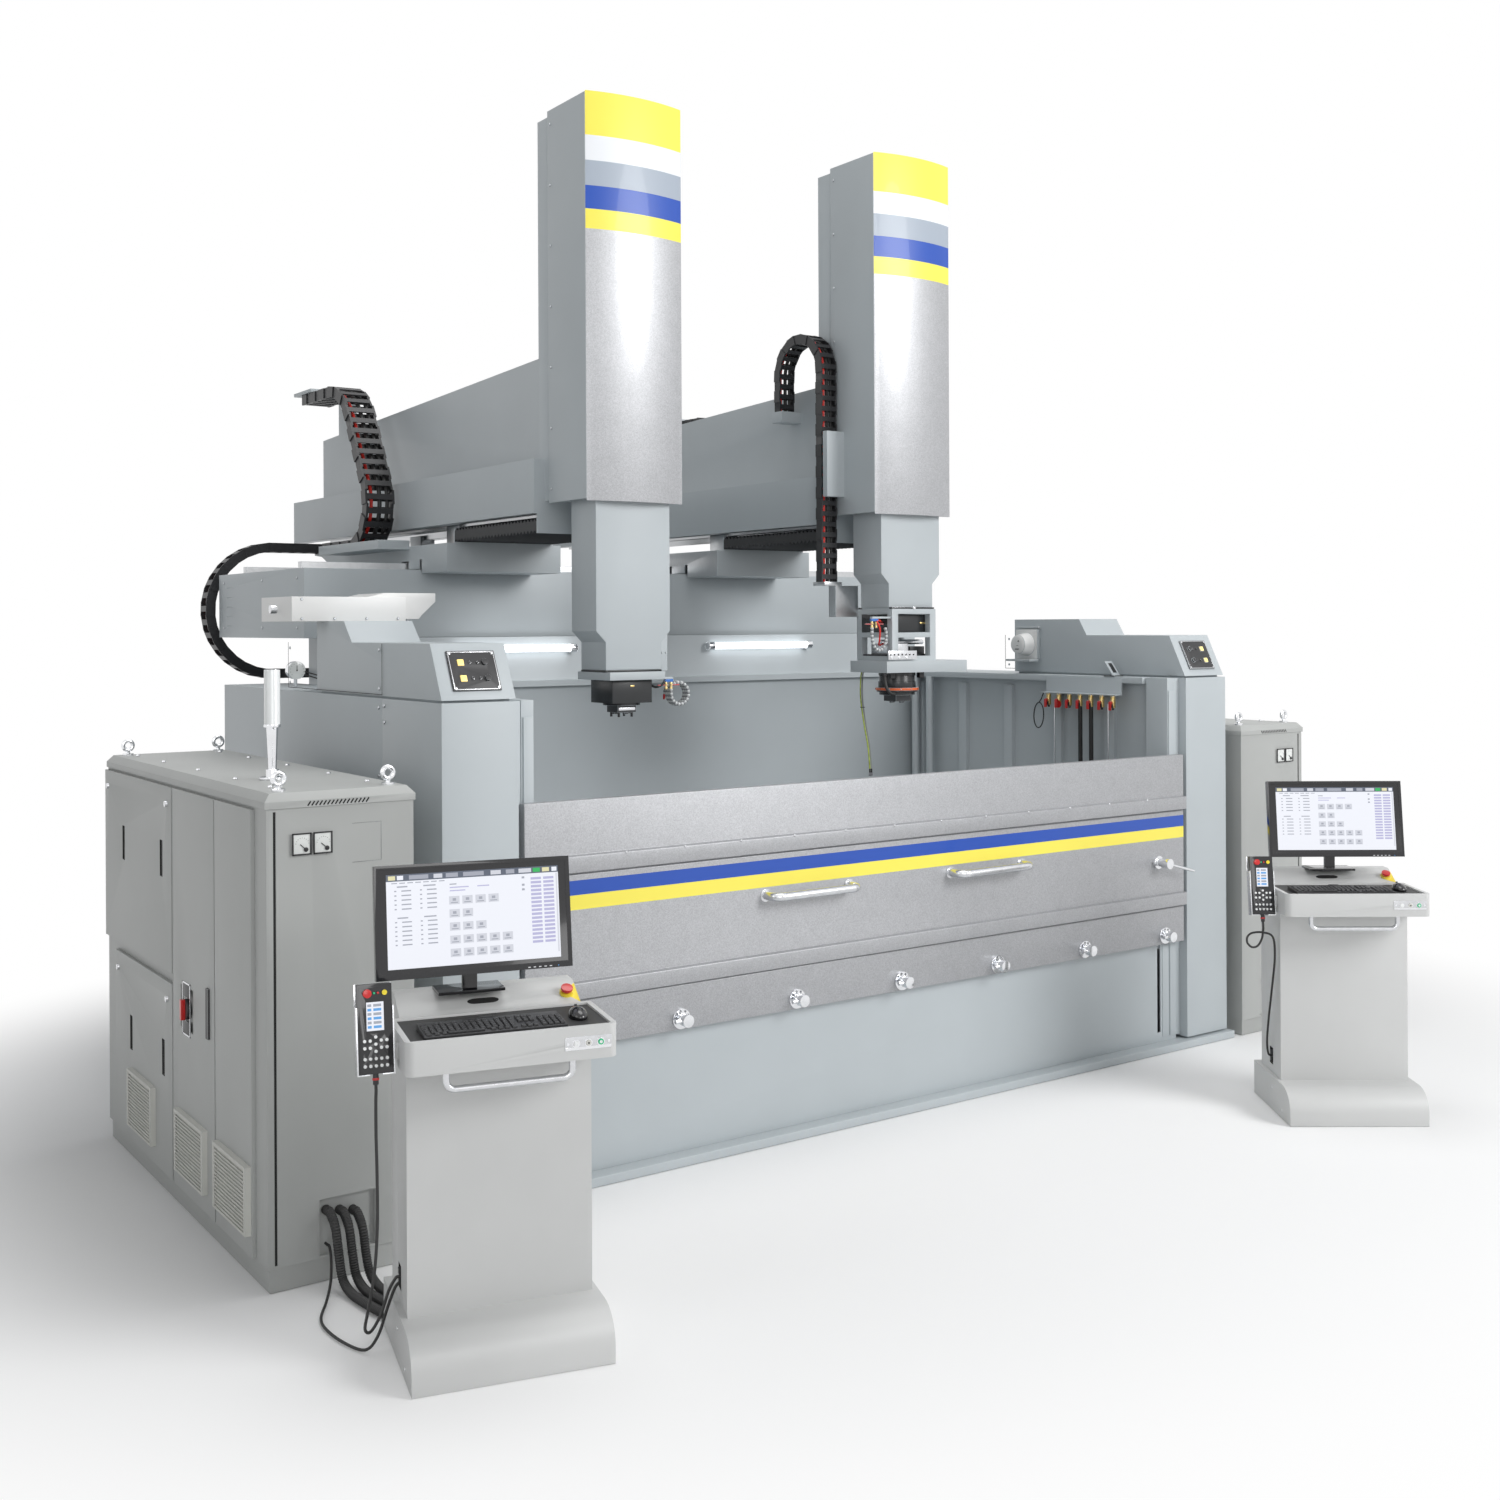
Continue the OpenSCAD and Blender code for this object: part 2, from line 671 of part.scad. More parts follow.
module cabinet_body(vents) {
    color(cab_paint) {
        difference() {
            hollow6(0, cab_w, 0, cab_d, plinth_h, cab_h + skin, skin);
            box6(-cut, bay_d, bay_y0 + rim, bay_y1 - rim, bay_z0 + rim, cab_h - lip - rim);
            outlet(-cut, 0);
            box6(cab_w * gap_shares[0], cab_w * gap_shares[1], -cut, skin / 2, plinth_h + lip, cab_h - lip);
        }
        difference() {
            box6(0, bay_d + skin, bay_y0, bay_y1, bay_z0, cab_h - lip);
            box6(-cut, bay_d, bay_y0 + rim, bay_y1 - rim, bay_z0 + rim, cab_h - lip - rim);
        }
        difference() {
            outlet(skin / 2, skin);
            outlet(-cut, 0);
        }
        hollow6(lip, cab_w - lip, lip, cab_d - lip, 0, plinth_h, skin);
        cabinet_cap(vents);
    }
    color(off_white)
        for (i = [0, 1])
            translate([cab_w * (meter_at_share + meter_pitch_share * i), 0, 0])
                box6(0, meter_w, -panel_t, 0, cab_h - meter_z[0], cab_h - meter_z[1]);
    color(dark)
        box6(bay_d - plate, bay_d, bay_y0 + rim + lip, bay_y1 - rim - lip, bay_z0 + rim + lip,
            cab_h - rim - lip * 2);
}
module cabinet_cap(vents) {
    difference() {
        intersection() {
            along_y(-cap_over, cab_d + cap_over, [[-cap_over, cab_h], [cab_w + cap_over, cab_h],
                [cab_w + cap_over, cab_h + cap_slope], [cab_w + cap_over - cap_slope, cab_h + cab_cap],
                [cap_slope - cap_over, cab_h + cab_cap], [-cap_over, cab_h + cap_slope]]);
            along_x(-cap_over, cab_w + cap_over, [[-cap_over, cab_h], [cab_d + cap_over, cab_h],
                [cab_d + cap_over, cab_h + cap_slope], [cab_d + cap_over - cap_slope, cab_h + cab_cap],
                [cap_slope - cap_over, cab_h + cab_cap], [-cap_over, cab_h + cap_slope]]);
        }
        for (i = [0 : vents - 1])
            translate([cab_w * (vent_at_share + vent_span_share * i / vent_n), -cap_over,
                cab_h + cap_slope / 2])
                rotate([0, vent_tilt, 0])
                    cube([cap_slope / 5, cap_over, cap_slope * vent_h_share], center = true);
    }
}
module left_cabinet() {
    translate([cab_left_x, cab_left_y, 0])
        cabinet_body(vent_n);
}
module right_cabinet() {
    translate([cab_right_x + cab_w, cab_right_y, 0])
        mirror([1, 0, 0])
            cabinet_body(vent_n);
}

// Lift-off covers, the fixed front pane and the louvred filters on the cabinets' outer sides
filter_w = 380;
filter_h = 245;
filter_t = 22;
slat_n = 16;
grip_h = 150;
lock_r = 13;
cover_t = 16;
filter_z = 172;
filter_y = 254;
cover_in = 2;
slat_shares = [0.06, 0.92, 0.9, 0.45];
grip_at_shares = [0.12, 0.32];
cover_shares = [0.55, 0.525];
module filter_grille(y, z) {
    color(off_white)
        difference() {
            box6(-cover_t - filter_t, -cover_t, y, y + filter_w, z, z + filter_h);
            for (i = [0 : slat_n - 1])
                translate([-cover_t - filter_t, y + filter_w / 2,
                    z + filter_h * (slat_shares[0] + slat_shares[1] * i / slat_n)])
                    rotate([0, vent_tilt, 0])
                        cube([filter_t, filter_w * slat_shares[2],
                            filter_h / slat_n * slat_shares[3]], center = true);
        }
}
module lift_cover(y0, y1, z0, z1) {
    color(cab_paint)
        difference() {
            box6(-cover_t, -fit / 3, y0, y1, z0, z1);
            for (y = [y0 + (y1 - y0) * grip_at_shares[0], y1 - (y1 - y0) * grip_at_shares[1]])
                box6(-cover_t - cut, -cover_t / 2, y, y + lip * 4, (z0 + z1) / 2, (z0 + z1) / 2 + grip_h);
        }
    color(chrome)
        for (y = [y0 + lip * 6, y1 - lip * 6])
            rod_x(-cover_t - lip, -cover_t, y, z1 - lip * 7, lock_r);
}
module side_covers(over_bay) {
    if (over_bay)
        lift_cover(bay_y0 + cover_in, bay_y1 - cover_in, bay_z0, cab_h - lip);
    lift_cover(bay_y1 + lip, cab_d - lip, cab_h * cover_shares[0], cab_h - lip);
    lift_cover(bay_y1 + lip, cab_d - lip * 18, plinth_h + lip,
        cab_h * cover_shares[1]);
    filter_grille(bay_y1 + filter_y, filter_z);
    color(cab_paint)
        box6(-cover_t, -fit / 3, lip * 12, bay_y0 - lip, plinth_h + lip, cab_h - lip);
    filter_grille(lip * 13, filter_z);
}
module cabinet_covers() {
    translate([cab_left_x, cab_left_y, 0])
        side_covers(false);
    translate([cab_right_x + cab_w, cab_right_y, 0])
        mirror([1, 0, 0])
            side_covers(true);
}

// Hinged bay door of the left cabinet, hung on its rear edge
hinge_r = 6;
handle_h = 193;
handle_z_share = 0.455;
recess_shares = [0.44, 0.54];
module cabinet_door() {
    translate([cab_left_x, cab_left_y, 0]) {
        color(cab_paint) {
            difference() {
                box6(-cover_t, -fit * 2, bay_y0 + cover_in, bay_y1 - hinge_r * 2.5, bay_z0, cab_h - lip);
                box6(-cover_t - cut, -cover_t * 0.4, bay_y0 + lip * 27, bay_y0 + lip * 44,
                    cab_h * recess_shares[0], cab_h * recess_shares[1]);
            }
            rod_z(bay_z0, cab_h - lip, -cover_t + hinge_r, bay_y1 - hinge_r, hinge_r);
            box6(-cover_t + hinge_r * 0.5, -cover_t + hinge_r * 1.5, bay_y1 - hinge_r * 3, bay_y1 - hinge_r,
                bay_z0, cab_h - lip);
        }
        filter_grille(bay_y0 + lip * 9, filter_z);
        color(black)
            box6(-cover_t - lip, -cover_t, bay_y0 + lip * 5, bay_y0 + lip * 8,
                cab_h * handle_z_share, cab_h * handle_z_share + handle_h);
    }
}
// Main switch: a turning handle in the recess of the bay door
switch_in = 355;
switch_y = bay_y0 + switch_in;
switch_z = 830;
module main_switch() {
    translate([cab_left_x, cab_left_y, 0]) {
        color(black)
            rod_x(-cover_t * 1.6, -cover_t * 0.4 - fit, switch_y, switch_z, lip * 4);
        color(red)
            box6(-cover_t * 2.6, -cover_t * 1.6, switch_y - lip, switch_y + lip, switch_z - lip * 4,
                switch_z + lip * 4);
    }
}

// Ring bolts on both roofs
eye_r = 30;
eye_t = 9;
eye_in = 70;
eye_foot_share = 0.8;
eye_up_share = 0.9;
module ring_bolt(x, y) {
    translate([x, y, cab_h + cab_cap]) {
        rod_z(0, eye_t, 0, 0, eye_r * eye_foot_share);
        rod_z(0, eye_r * eye_up_share, 0, 0, eye_t);
        translate([0, 0, eye_r + eye_t * 1.6])
            rotate([90, 0, 0])
                rotate_extrude($fn = 32)
                    translate([eye_r - eye_t, 0])
                        circle(r = eye_t, $fn = 16);
    }
}
module lifting_eyes() {
    color(brass)
        for (c = [[cab_left_x, cab_left_y], [cab_right_x, cab_right_y]], dx = [eye_in, cab_w - eye_in],
            dy = [eye_in, cab_d - eye_in])
            ring_bolt(c[0] + dx, c[1] + dy);
}

// Signal tower on the left cabinet
tower_x = 204;
tower_y = 530;
tower_h = 421;
lens_r = 30;
lens_h = 210;
module signal_tower() {
    z0 = cab_h + cab_cap;
    translate([cab_left_x + tower_x, cab_left_y + tower_y, z0]) {
        color(chrome) {
            cylinder(h = lip, r = lens_r * 1.7, $fn = 48);
            cylinder(h = lip * 4, r = lens_r * 0.8, $fn = 48);
            cylinder(h = tower_h - lens_h, r1 = lens_r * 0.45, r2 = lens_r * 0.75, $fn = 48);
            translate([0, 0, tower_h - lens_h - lip])
                cylinder(h = lip, r = lens_r + 2, $fn = 48);
            translate([0, 0, tower_h - lip * 2])
                cylinder(h = lip * 2, r = lens_r, $fn = 48);
        }
        color(off_white)
            translate([0, 0, tower_h - lens_h])
                cylinder(h = lens_h - lip * 2, r = lens_r, $fn = 48);
    }
}

// Energy chain of the left saddle, in a C behind the beam, with its support on the bed
bc_pitch = 76;
bc_w = 110;
bc_h = 56;
bc_back = 170;
bc_y1 = beam_y1 + bc_back;
bc_top = 2815;
bc_r = 380;
bc_x = -1780;
bc_tail = 780;
bc_top_x = -1430;
module beam_chain() {
    color(black)
        chain_in_xz(bc_y1, [bc_top_x, bc_top, 180], [[bc_top_x - bc_x, 0], [bc_r, 180], [bc_tail, 0]],
            bc_pitch, bc_w, bc_h);
}

// Corrugated conduits from the left cabinet down to the floor and into the left console's foot,
// and the signal cord that lies in a loop on the floor. Routes are chosen by hand.
conduit_r = 17;
conduit_n = 3;
conduit_step = 50;
conduit_fine = 7;
rib_share = 0.86;
conduit_x = 215;
conduit_fan = 10;
conduit_lie = 100;
cord_r = 5;
conduit_route = [[0, gland_y, 252], [0, 0, 252], [0, -30, 252], [0, -80, 212], [2, -105, 130], [6, -130, 50],
    [12, -190, 20], [20, -280, 18], [35, -380, 18], [55, -450, 18], [65, -500, 18]];
signal_route = [[215, gland_y, 40], [215, 0, 40], [215, -20, 39], [206, -60, 8], [185, -110, -50],
    [140, -190, -79], [80, -300, -82], [62, -390, -83], [72, -520, -83], [105, -624, -79], [135, -658, -30],
    [165, -669, 62], [190, -670, 118], [206.5, -673.5, 132],
    [210.4, -674.5, 132], [214.3, -675.5, 132]];
module cable_conduits() {
    for (i = [0 : conduit_n - 1]) {
        o = [cab_left_x + conduit_x + conduit_step * i, cab_left_y, 0];
        route = [for (p = conduit_route)
            o + [p[0], p[1], p[2] > conduit_lie ? p[2] - conduit_fan * i : p[2]]];
        fine = smooth(route, conduit_fine);
        color(black)
            tube(fine, [for (k = [0 : len(fine) - 1]) k % 2 == 0 ? conduit_r * rib_share : conduit_r],
                8, [1, 0, 0]);
    }
    o = [cab_left_x, cab_left_y, plinth_h + cord_r];
    line = smooth([for (p = signal_route) o + p], 4);
    color(cab_paint)
        tube(line, [for (p = line) cord_r], 8, [0, 0, 1]);
}

// Tank door: a folded sheet box with two ledges, which slides down in front of the tank
ledge = 22;
ledge_1 = 1385;
ledge_2 = 860;
ledge_h = 72;
seam_z = 12;
module tank_door() {
    f = door_face;
    color(sparkle)
        difference() {
            along_x(-door_x, door_x, [[door_back, door_bottom], [f, door_bottom],
                [f, ledge_2 - ledge_h - seam_z], [f + seam_z / 2, ledge_2 - ledge_h - seam_z / 2],
                [f + seam_z / 2, ledge_2 - ledge_h], [f - ledge, ledge_2 - ledge_h],
                [f - ledge, ledge_2 - lip / 2], [f, ledge_2], [f, ledge_1 - ledge_h - seam_z],
                [f + seam_z / 2, ledge_1 - ledge_h - seam_z / 2], [f + seam_z / 2, ledge_1 - ledge_h],
                [f - ledge, ledge_1 - ledge_h], [f - ledge, ledge_1 - lip / 2], [f, ledge_1],
                [f, door_top], [door_back, door_top]]);
            box6(-door_x + skin, door_x - skin, f + lip, door_back - skin, door_bottom + skin,
                door_top - skin);
        }
}

// Handles and clamp knobs on the door
handle_r = 19;
handle_reach = 85;
handle_z = 1120;
handle_dx = 557;
knob_pitch = 626;
knob_z = 633;
knob_r = 44;
door_mid = -20;
module clamp_knob(x, z) {
    translate([x, door_face, z])
        rotate([90, 0, 0]) {
            difference() {
                cylinder(h = lip, r = knob_r, $fn = 48);
                for (a = [20 : 40 : 160])
                    rotate([0, 0, a])
                        translate([knob_r * 0.8, 0, -cut])
                            cylinder(h = lip + cut * 2, r = knob_r / 8, $fn = 16);
            }
            cylinder(h = knob_r * 1.2, r = knob_r * 0.45, $fn = 32);
            translate([0, 0, knob_r * 0.6])
                cylinder(h = knob_r * 0.9, r = knob_r * 0.62, $fn = 32);
            translate([0, 0, knob_r])
                rotate([0, -90, 0])
                    cylinder(h = knob_r * 1.25, r = knob_r * 0.2, $fn = 24);
        }
}
module door_hardware() {
    color(chrome)
        for (i = [0 : knob_n - 1])
            clamp_knob(door_mid + (i - (knob_n - 1) / 2) * knob_pitch, knob_z);
    color(steel)
        for (s = [-1, 1])
            translate([door_mid + s * handle_dx, door_face, handle_z]) {
                bow_handle(handle_len, handle_reach, handle_r, handle_r * 2.4);
                for (e = [-1, 1])
                    rod_y(-skin, 0, e * handle_len / 2, 0, handle_r * 1.5);
            }
}

// Locking lever at the right end of the door
lever_x = 1801;
lever_z = 1037;
lever_len = 225;
module door_lever() {
    translate([lever_x, door_face, lever_z])
        color(chrome) {
            rod_y(-knob_r * 0.35, -fit, 0, 0, knob_r * 0.8);
            rod_y(-knob_r * 1.8, 0 - fit, 0, 0, knob_r * 0.5);
            rod_y(-knob_r * 2.1, -knob_r, 0, 0, knob_r * 0.62);
            translate([0, -knob_r * 1.6, 0])
                rotate([0, 15, 0])
                    rod_x(0, lever_len, 0, 0, knob_r * 0.18);
        }
}

// Saddle on the beam rails: plate, front nose, runner blocks for both axes, and a side tray
y_rail_x = 180;
run_l = 160;
tray_deep = 895;
tray_wide = 181;
tray_y0 = 1236;
chain_w = 170;
chain_h = 60;
chain_pitch = 70;
chain_top = 3690;
chain_y0 = 2415;
chain_run = [415, 330, 450, 230, 420];
chain_bend = 60;
chain_low = chain_top - chain_run[1] * (1 - cos(chain_bend)) - chain_run[2] * sin(chain_bend)
    - chain_run[3] * (1 + cos(chain_bend));
chain_dip = norm([chain_run[3] + chain_h / 2, chain_pitch * (0.5 + link_lap_share)]) - chain_run[3]
    - chain_h / 2;
tray_z0 = chain_low - chain_h / 2 - chain_dip - skin - fit;
module saddle(s) {
    x = saddle_w / 2;
    color(paint) {
        box6(-x, x, saddle_y0, saddle_y1, saddle_z0, saddle_z1);
        box6(-x, x, saddle_y0, beam_y0 - lip * 2, saddle_z0 - saddle_t, saddle_z0);
        tray_x0 = s < 0 ? -x - tray_wide : x;
        difference() {
            box6(tray_x0, tray_x0 + tray_wide, tray_y0, tray_y0 + tray_deep, tray_z0, tray_z0 + lip * 5);
            box6(tray_x0 + skin, tray_x0 + tray_wide - skin, tray_y0 + skin, tray_y0 + tray_deep + cut,
                tray_z0 + skin, tray_z0 + lip * 5 + cut);
        }
    }
    color(paint)
        box6(-bellows_w / 2, bellows_w / 2, saddle_y0, saddle_y0 + lip, saddle_z1, bellows_z0 + bellows_t);
    color(black)
        difference() {
            for (e = [-1, 1])
                box6(e > 0 ? x - lip : -x, e > 0 ? x : -x + lip, beam_y0 + lip, saddle_y1 - lip,
                    beam_top + lip / 2, saddle_z0);
            for (y = x_rail_y)
                box6(-x - cut, x + cut, y - rail_w, y + rail_w, beam_top, saddle_z0 - lip / 2);
        }
    color(steel) {
        for (y = x_rail_y, e = [-1, 1])
            difference() {
                box6(e * (x - run_l) - run_l / 2, e * (x - run_l) + run_l / 2, y - rail_w, y + rail_w,
                    beam_top + block_h / 2, saddle_z0);
                box6(-x, x, y - rail_w / 2 - fit, y + rail_w / 2 + fit, beam_top, beam_top + rail_h + fit);
            }
        for (yy = [saddle_y0 + run_l, saddle_y1 - run_l], e = [-1, 1])
            difference() {
                box6(e * y_rail_x - rail_w, e * y_rail_x + rail_w, yy - run_l / 2, yy + run_l / 2,
                    saddle_z1, ram_z0 - block_h / 2);
                box6(e * y_rail_x - rail_w / 2 - fit, e * y_rail_x + rail_w / 2 + fit, saddle_y0,
                    saddle_y1, ram_z0 - rail_h - fit, ram_z0);
            }
    }
    if (s < 0)
        color(paint)
            along_x(-x, -x + plate * 3, [[saddle_y1, saddle_z0], [saddle_y1, saddle_z1],
                [bc_y1 - bc_w - lip, bc_top - bc_h / 2 - fit], [bc_y1, bc_top - bc_h / 2 - fit],
                [bc_y1, bc_top - bc_h / 2 - plate], [bc_y1 - bc_w - lip, bc_top - bc_h / 2 - plate * 2]]);
}
module saddle_1() {
    translate([head_x_left, 0, 0])
        saddle(-1);
}
module saddle_2() {
    translate([head_x_right, 0, 0])
        saddle(1);
}

// Ram: hollow body with a sloped top, two skirt boxes, two rails and the column for the head
ram_wall = 20;
arm_box = 110;
guide_x = 120;
guide_w = 40;
guide_t = 40;
module ram(s) {
    x = ram_w / 2;
    color(paint) {
        difference() {
            along_x(-x, x, [[ram_y0, ram_z0], [ram_y0, ram_z0 + ram_front_drop],
                [ram_y1, ram_z0 + ram_back_drop], [ram_y1, ram_z0]]);
            along_x(-x + ram_wall, x - ram_wall, [[ram_y0 + ram_wall, ram_z0 + ram_wall],
                [ram_y0 + ram_wall, ram_z0 + ram_front_drop - ram_wall * 2],
                [ram_y1 - ram_wall, ram_z0 + ram_back_drop - ram_wall * 2],
                [ram_y1 - ram_wall, ram_z0 + ram_wall]]);
        }
        for (e = [-1, 1])
            hollow6(e > 0 ? x : -x - skirt_w, e > 0 ? x + skirt_w : -x, skirt_y0, skirt_y1, skirt_z0,
                skirt_z1, skin);
        box6(-x, x, ram_y1, skirt_y1, ram_z0 + ram_wall, skirt_z1);
        hollow6(-head_w / 2 + plate, head_w / 2 - plate, head_y1, column_y1, ram_z0 + skirt_drop,
            head_top - quill_in, ram_wall);
        bx0 = s < 0 ? -x - skirt_w - chain_w - lip * 4 : x;
        box6(bx0, bx0 + skirt_w + chain_w + lip * 4, chain_y0 - arm_box * 1.6, chain_y0 + arm_box,
            chain_top + chain_h / 2 + fit, chain_top + chain_h / 2 + lip * 2);
        box6(s < 0 ? -x : x - plate, s < 0 ? -x + plate : x, chain_y0 - arm_box * 1.6,
            chain_y0 + arm_box, ram_z0 + ram_back_drop - arm_box, chain_top + chain_h / 2 + lip * 2);
        box6(-bellows_w / 2, bellows_w / 2, skirt_y0, skirt_y0 + lip - fit, bellows_z0, ram_z0 + lip * 4);
    }
    color(steel)
        for (e = [-1, 1])
            box6(e * guide_x - guide_w / 2, e * guide_x + guide_w / 2, head_y1 - guide_t, head_y1,
                head_bottom + lip * 4, head_top - lip * 6);
    color(steel)
        for (e = [-1, 1])
            box6(e * y_rail_x - rail_w / 2, e * y_rail_x + rail_w / 2, ram_y0, ram_y1 - lip,
                ram_z0 - rail_h, ram_z0);
}
module ram_1() {
    translate([head_x_left, 0, 0])
        ram(-1);
}
module ram_2() {
    translate([head_x_right, 0, 0])
        ram(1);
    color(paint)
        box6(head_x_right - ram_w / 2 - hc_gap - hc_w, head_x_right - ram_w / 2, hc_back_y - hc_h * 0.9,
            hc_back_y + hc_h * 0.9, hc_back_z - lip * 6, hc_back_z - fit);
}

// Pleated bellows over the ram rails, from the saddle to the front of the ram
pleat_n = 26;
bellows_w = 580;
bellows_z0 = saddle_z1 + 6;
bellows_t = 70;
module bellows() {
    y0 = skirt_y0 + lip;
    y1 = saddle_y0 - fit;
    p = (y1 - y0) / pleat_n;
    low = [for (i = [0 : pleat_n * 2]) [y0 + i * p / 2, bellows_z0 + (i % 2 == 0 ? 0 : p * 0.45)]];
    high = [for (i = [pleat_n * 2 : -1 : 0])
        [y0 + i * p / 2, bellows_z0 + bellows_t - (i % 2 == 0 ? p * 0.45 : 0)]];
    color(black)
        along_x(-bellows_w / 2, bellows_w / 2, concat(low, high));
}
module bellows_1() {
    translate([head_x_left, 0, 0])
        bellows();
}
module bellows_2() {
    translate([head_x_right, 0, 0])
        bellows();
}

// Head cover: folded box open below, round the quill
cover_skin = 6;
cover_lip = 32;
module head_cover() {
    x = head_w / 2;
    color(paint)
        difference() {
            box6(-x, x, head_y0, head_y1 - fit / 3, head_bottom, head_top);
            box6(-x + cover_skin, x - cover_skin, head_y0 + cover_skin, head_y1 - cover_skin,
                head_bottom - cut, head_top - cover_skin);
            box6(-x + cover_lip, x - cover_lip, head_y0 + cover_skin, head_y1 + cut,
                head_bottom - cut, head_top - cover_lip);
        }
}
module head_cover_1() {
    translate([head_x_left, 0, 0])
        head_cover();
}
module head_cover_2() {
    translate([head_x_right, 0, 0]) {
        head_cover();
        color(paint)
            hollow6(-head_w / 2 - hc_w - lip, -head_w / 2, hc_front_y - hc_h * 1.5,
                hc_front_y - hc_h * 0.75, hc_cover_z0, hc_cover_z1, skin);
    }
}
// Bowed front panel, a shallow tray of one curved sheet
bow_r = (head_w * head_w / 4 + head_bow * head_bow) / (2 * head_bow);
module bow_shape(r) {
    intersection() {
        translate([0, head_y0 - head_bow + bow_r])
            circle(r = r, $fn = 180);
        translate([-head_w / 2, head_y0 - head_bow - lip])
            square([head_w, head_bow + lip - fit]);
    }
}
module head_panel() {
    color(sparkle)
        translate([0, 0, head_bottom - lip]) {
            difference() {
                linear_extrude(head_top - head_bottom + lip * 1.5)
                    bow_shape(bow_r);
                translate([0, 0, lip / 2])
                    linear_extrude(head_top - head_bottom + lip / 2)
                        intersection() {
                            bow_shape(bow_r - skin);
                            translate([-head_w / 2 + skin, head_y0 - head_bow])
                                square([head_w - skin * 2, head_bow + lip]);
                        }
            }
        }
}
module head_panel_1() {
    translate([head_x_left, 0, 0])
        head_panel();
}
module head_panel_2() {
    translate([head_x_right, 0, 0])
        head_panel();
}

// Quill: hollow column with a stepped foot. The right one carries an open tool frame.
neck_w = 300;
neck_h = 51;
plate_over = 36;
mount_t = 37;
neck_rise = [180, 174];
frame_h = 343;
module quill_body(wide_z, foot_z) {
    x = quill_w / 2;
    n = neck_w / 2;
    color(paint)
        difference() {
            along_y(quill_y0, quill_y1, [[-n, foot_z], [n, foot_z], [n, wide_z - neck_h], [x, wide_z],
                [x, quill_top], [-x, quill_top], [-x, wide_z], [-n, wide_z - neck_h]]);
            box6(-n + ram_wall, n - ram_wall, quill_y0 + ram_wall, quill_y1 - ram_wall,
                foot_z + ram_wall, quill_top - ram_wall);
        }
    color(black)
        box6(-n + skin, n - skin, quill_y0 + skin, quill_y1 - skin, foot_z - lip, foot_z);
    color(steel)
        for (e = [-1, 1], z = [quill_top - run_l * 1.25, quill_top - run_l * 2.75])
            difference() {
                box6(e * guide_x - guide_w, e * guide_x + guide_w, quill_y1, head_y1 - lip / 2, z, z + run_l);
                box6(e * guide_x - guide_w / 2 - fit, e * guide_x + guide_w / 2 + fit,
                    head_y1 - guide_t - fit, head_y1, z - cut, z + run_l + cut);
            }
}
c_axis_top = 2081;
q1_foot = c_axis_top + mount_t + lip;
q1_wide = q1_foot + neck_rise[0];
q2_foot = c_axis_top + frame_h;
q2_wide = q2_foot + neck_rise[1];
module quill_1() {
    translate([head_x_left, 0, 0]) {
        quill_body(q1_wide, q1_foot);
        color(paint)
            difference() {
                box6(-neck_w / 2, neck_w / 2, quill_y0 - plate_over, quill_y1 + plate_over, c_axis_top,
                    q1_foot - lip);
                translate([0, quill_cy, 0])
                    rod_z(c_axis_top - cut, q1_foot, 0, 0, spindle_r + fit);
            }
    }
}
frame_post = 40;
frame_bar = 26;
wing_l = 195;
wing_r = 364;
wing_t = 60;
frame_z0 = c_axis_top + wing_t;
module quill_2() {
    n = neck_w / 2;
    zt = q2_foot - lip;
    fy0 = quill_y0 - plate_over + lip;
    fy1 = quill_y1 + plate_over;
    translate([head_x_right, 0, 0]) {
        quill_body(q2_wide, q2_foot);
        color(paint) {
            difference() {
                box6(-n, n, fy0, fy1, frame_z0, zt);
                for (z = [frame_z0 + frame_bar, (frame_z0 + zt) / 2 + frame_bar / 2]) {
                    zz = z + (zt - frame_z0) / 2 - frame_bar * 1.5;
                    box6(-n + frame_post, n - frame_post, fy0 - cut, fy1 + cut, z, zz);
                    box6(-n - cut, n + cut, fy0 + frame_post, fy1 - frame_post, z, zz);
                }
            }
            difference() {
                box6(-wing_l, wing_r, fy0 - lip, fy1, c_axis_top, frame_z0);
                translate([0, quill_cy, 0])
                    rod_z(c_axis_top - cut, frame_z0 + cut, 0, 0, spindle_r + fit);
            }
            box6(-hc_w - hc_gap - ram_w / 2, -hc_gap - ram_w / 2 + lip, hc_front_y - hc_h, hc_front_y + hc_h,
                hc_low - lip * 2, hc_low - fit);
            box6(-hc_gap - ram_w / 2 - lip * 3, -n, hc_front_y - hc_h, hc_front_y - hc_h + lip,
                zt - lip * 4, hc_low - lip * 2);
            box6(-hc_gap - ram_w / 2, -hc_gap - ram_w / 2 + lip, hc_front_y - hc_h, hc_front_y + hc_h,
                zt - lip * 4, hc_low - lip * 2);
            box6(-hc_gap - ram_w / 2, -n, hc_front_y - hc_h, hc_front_y - hc_h + lip * 4, zt - lip * 4,
                zt - lip * 3);
        }
    }
}

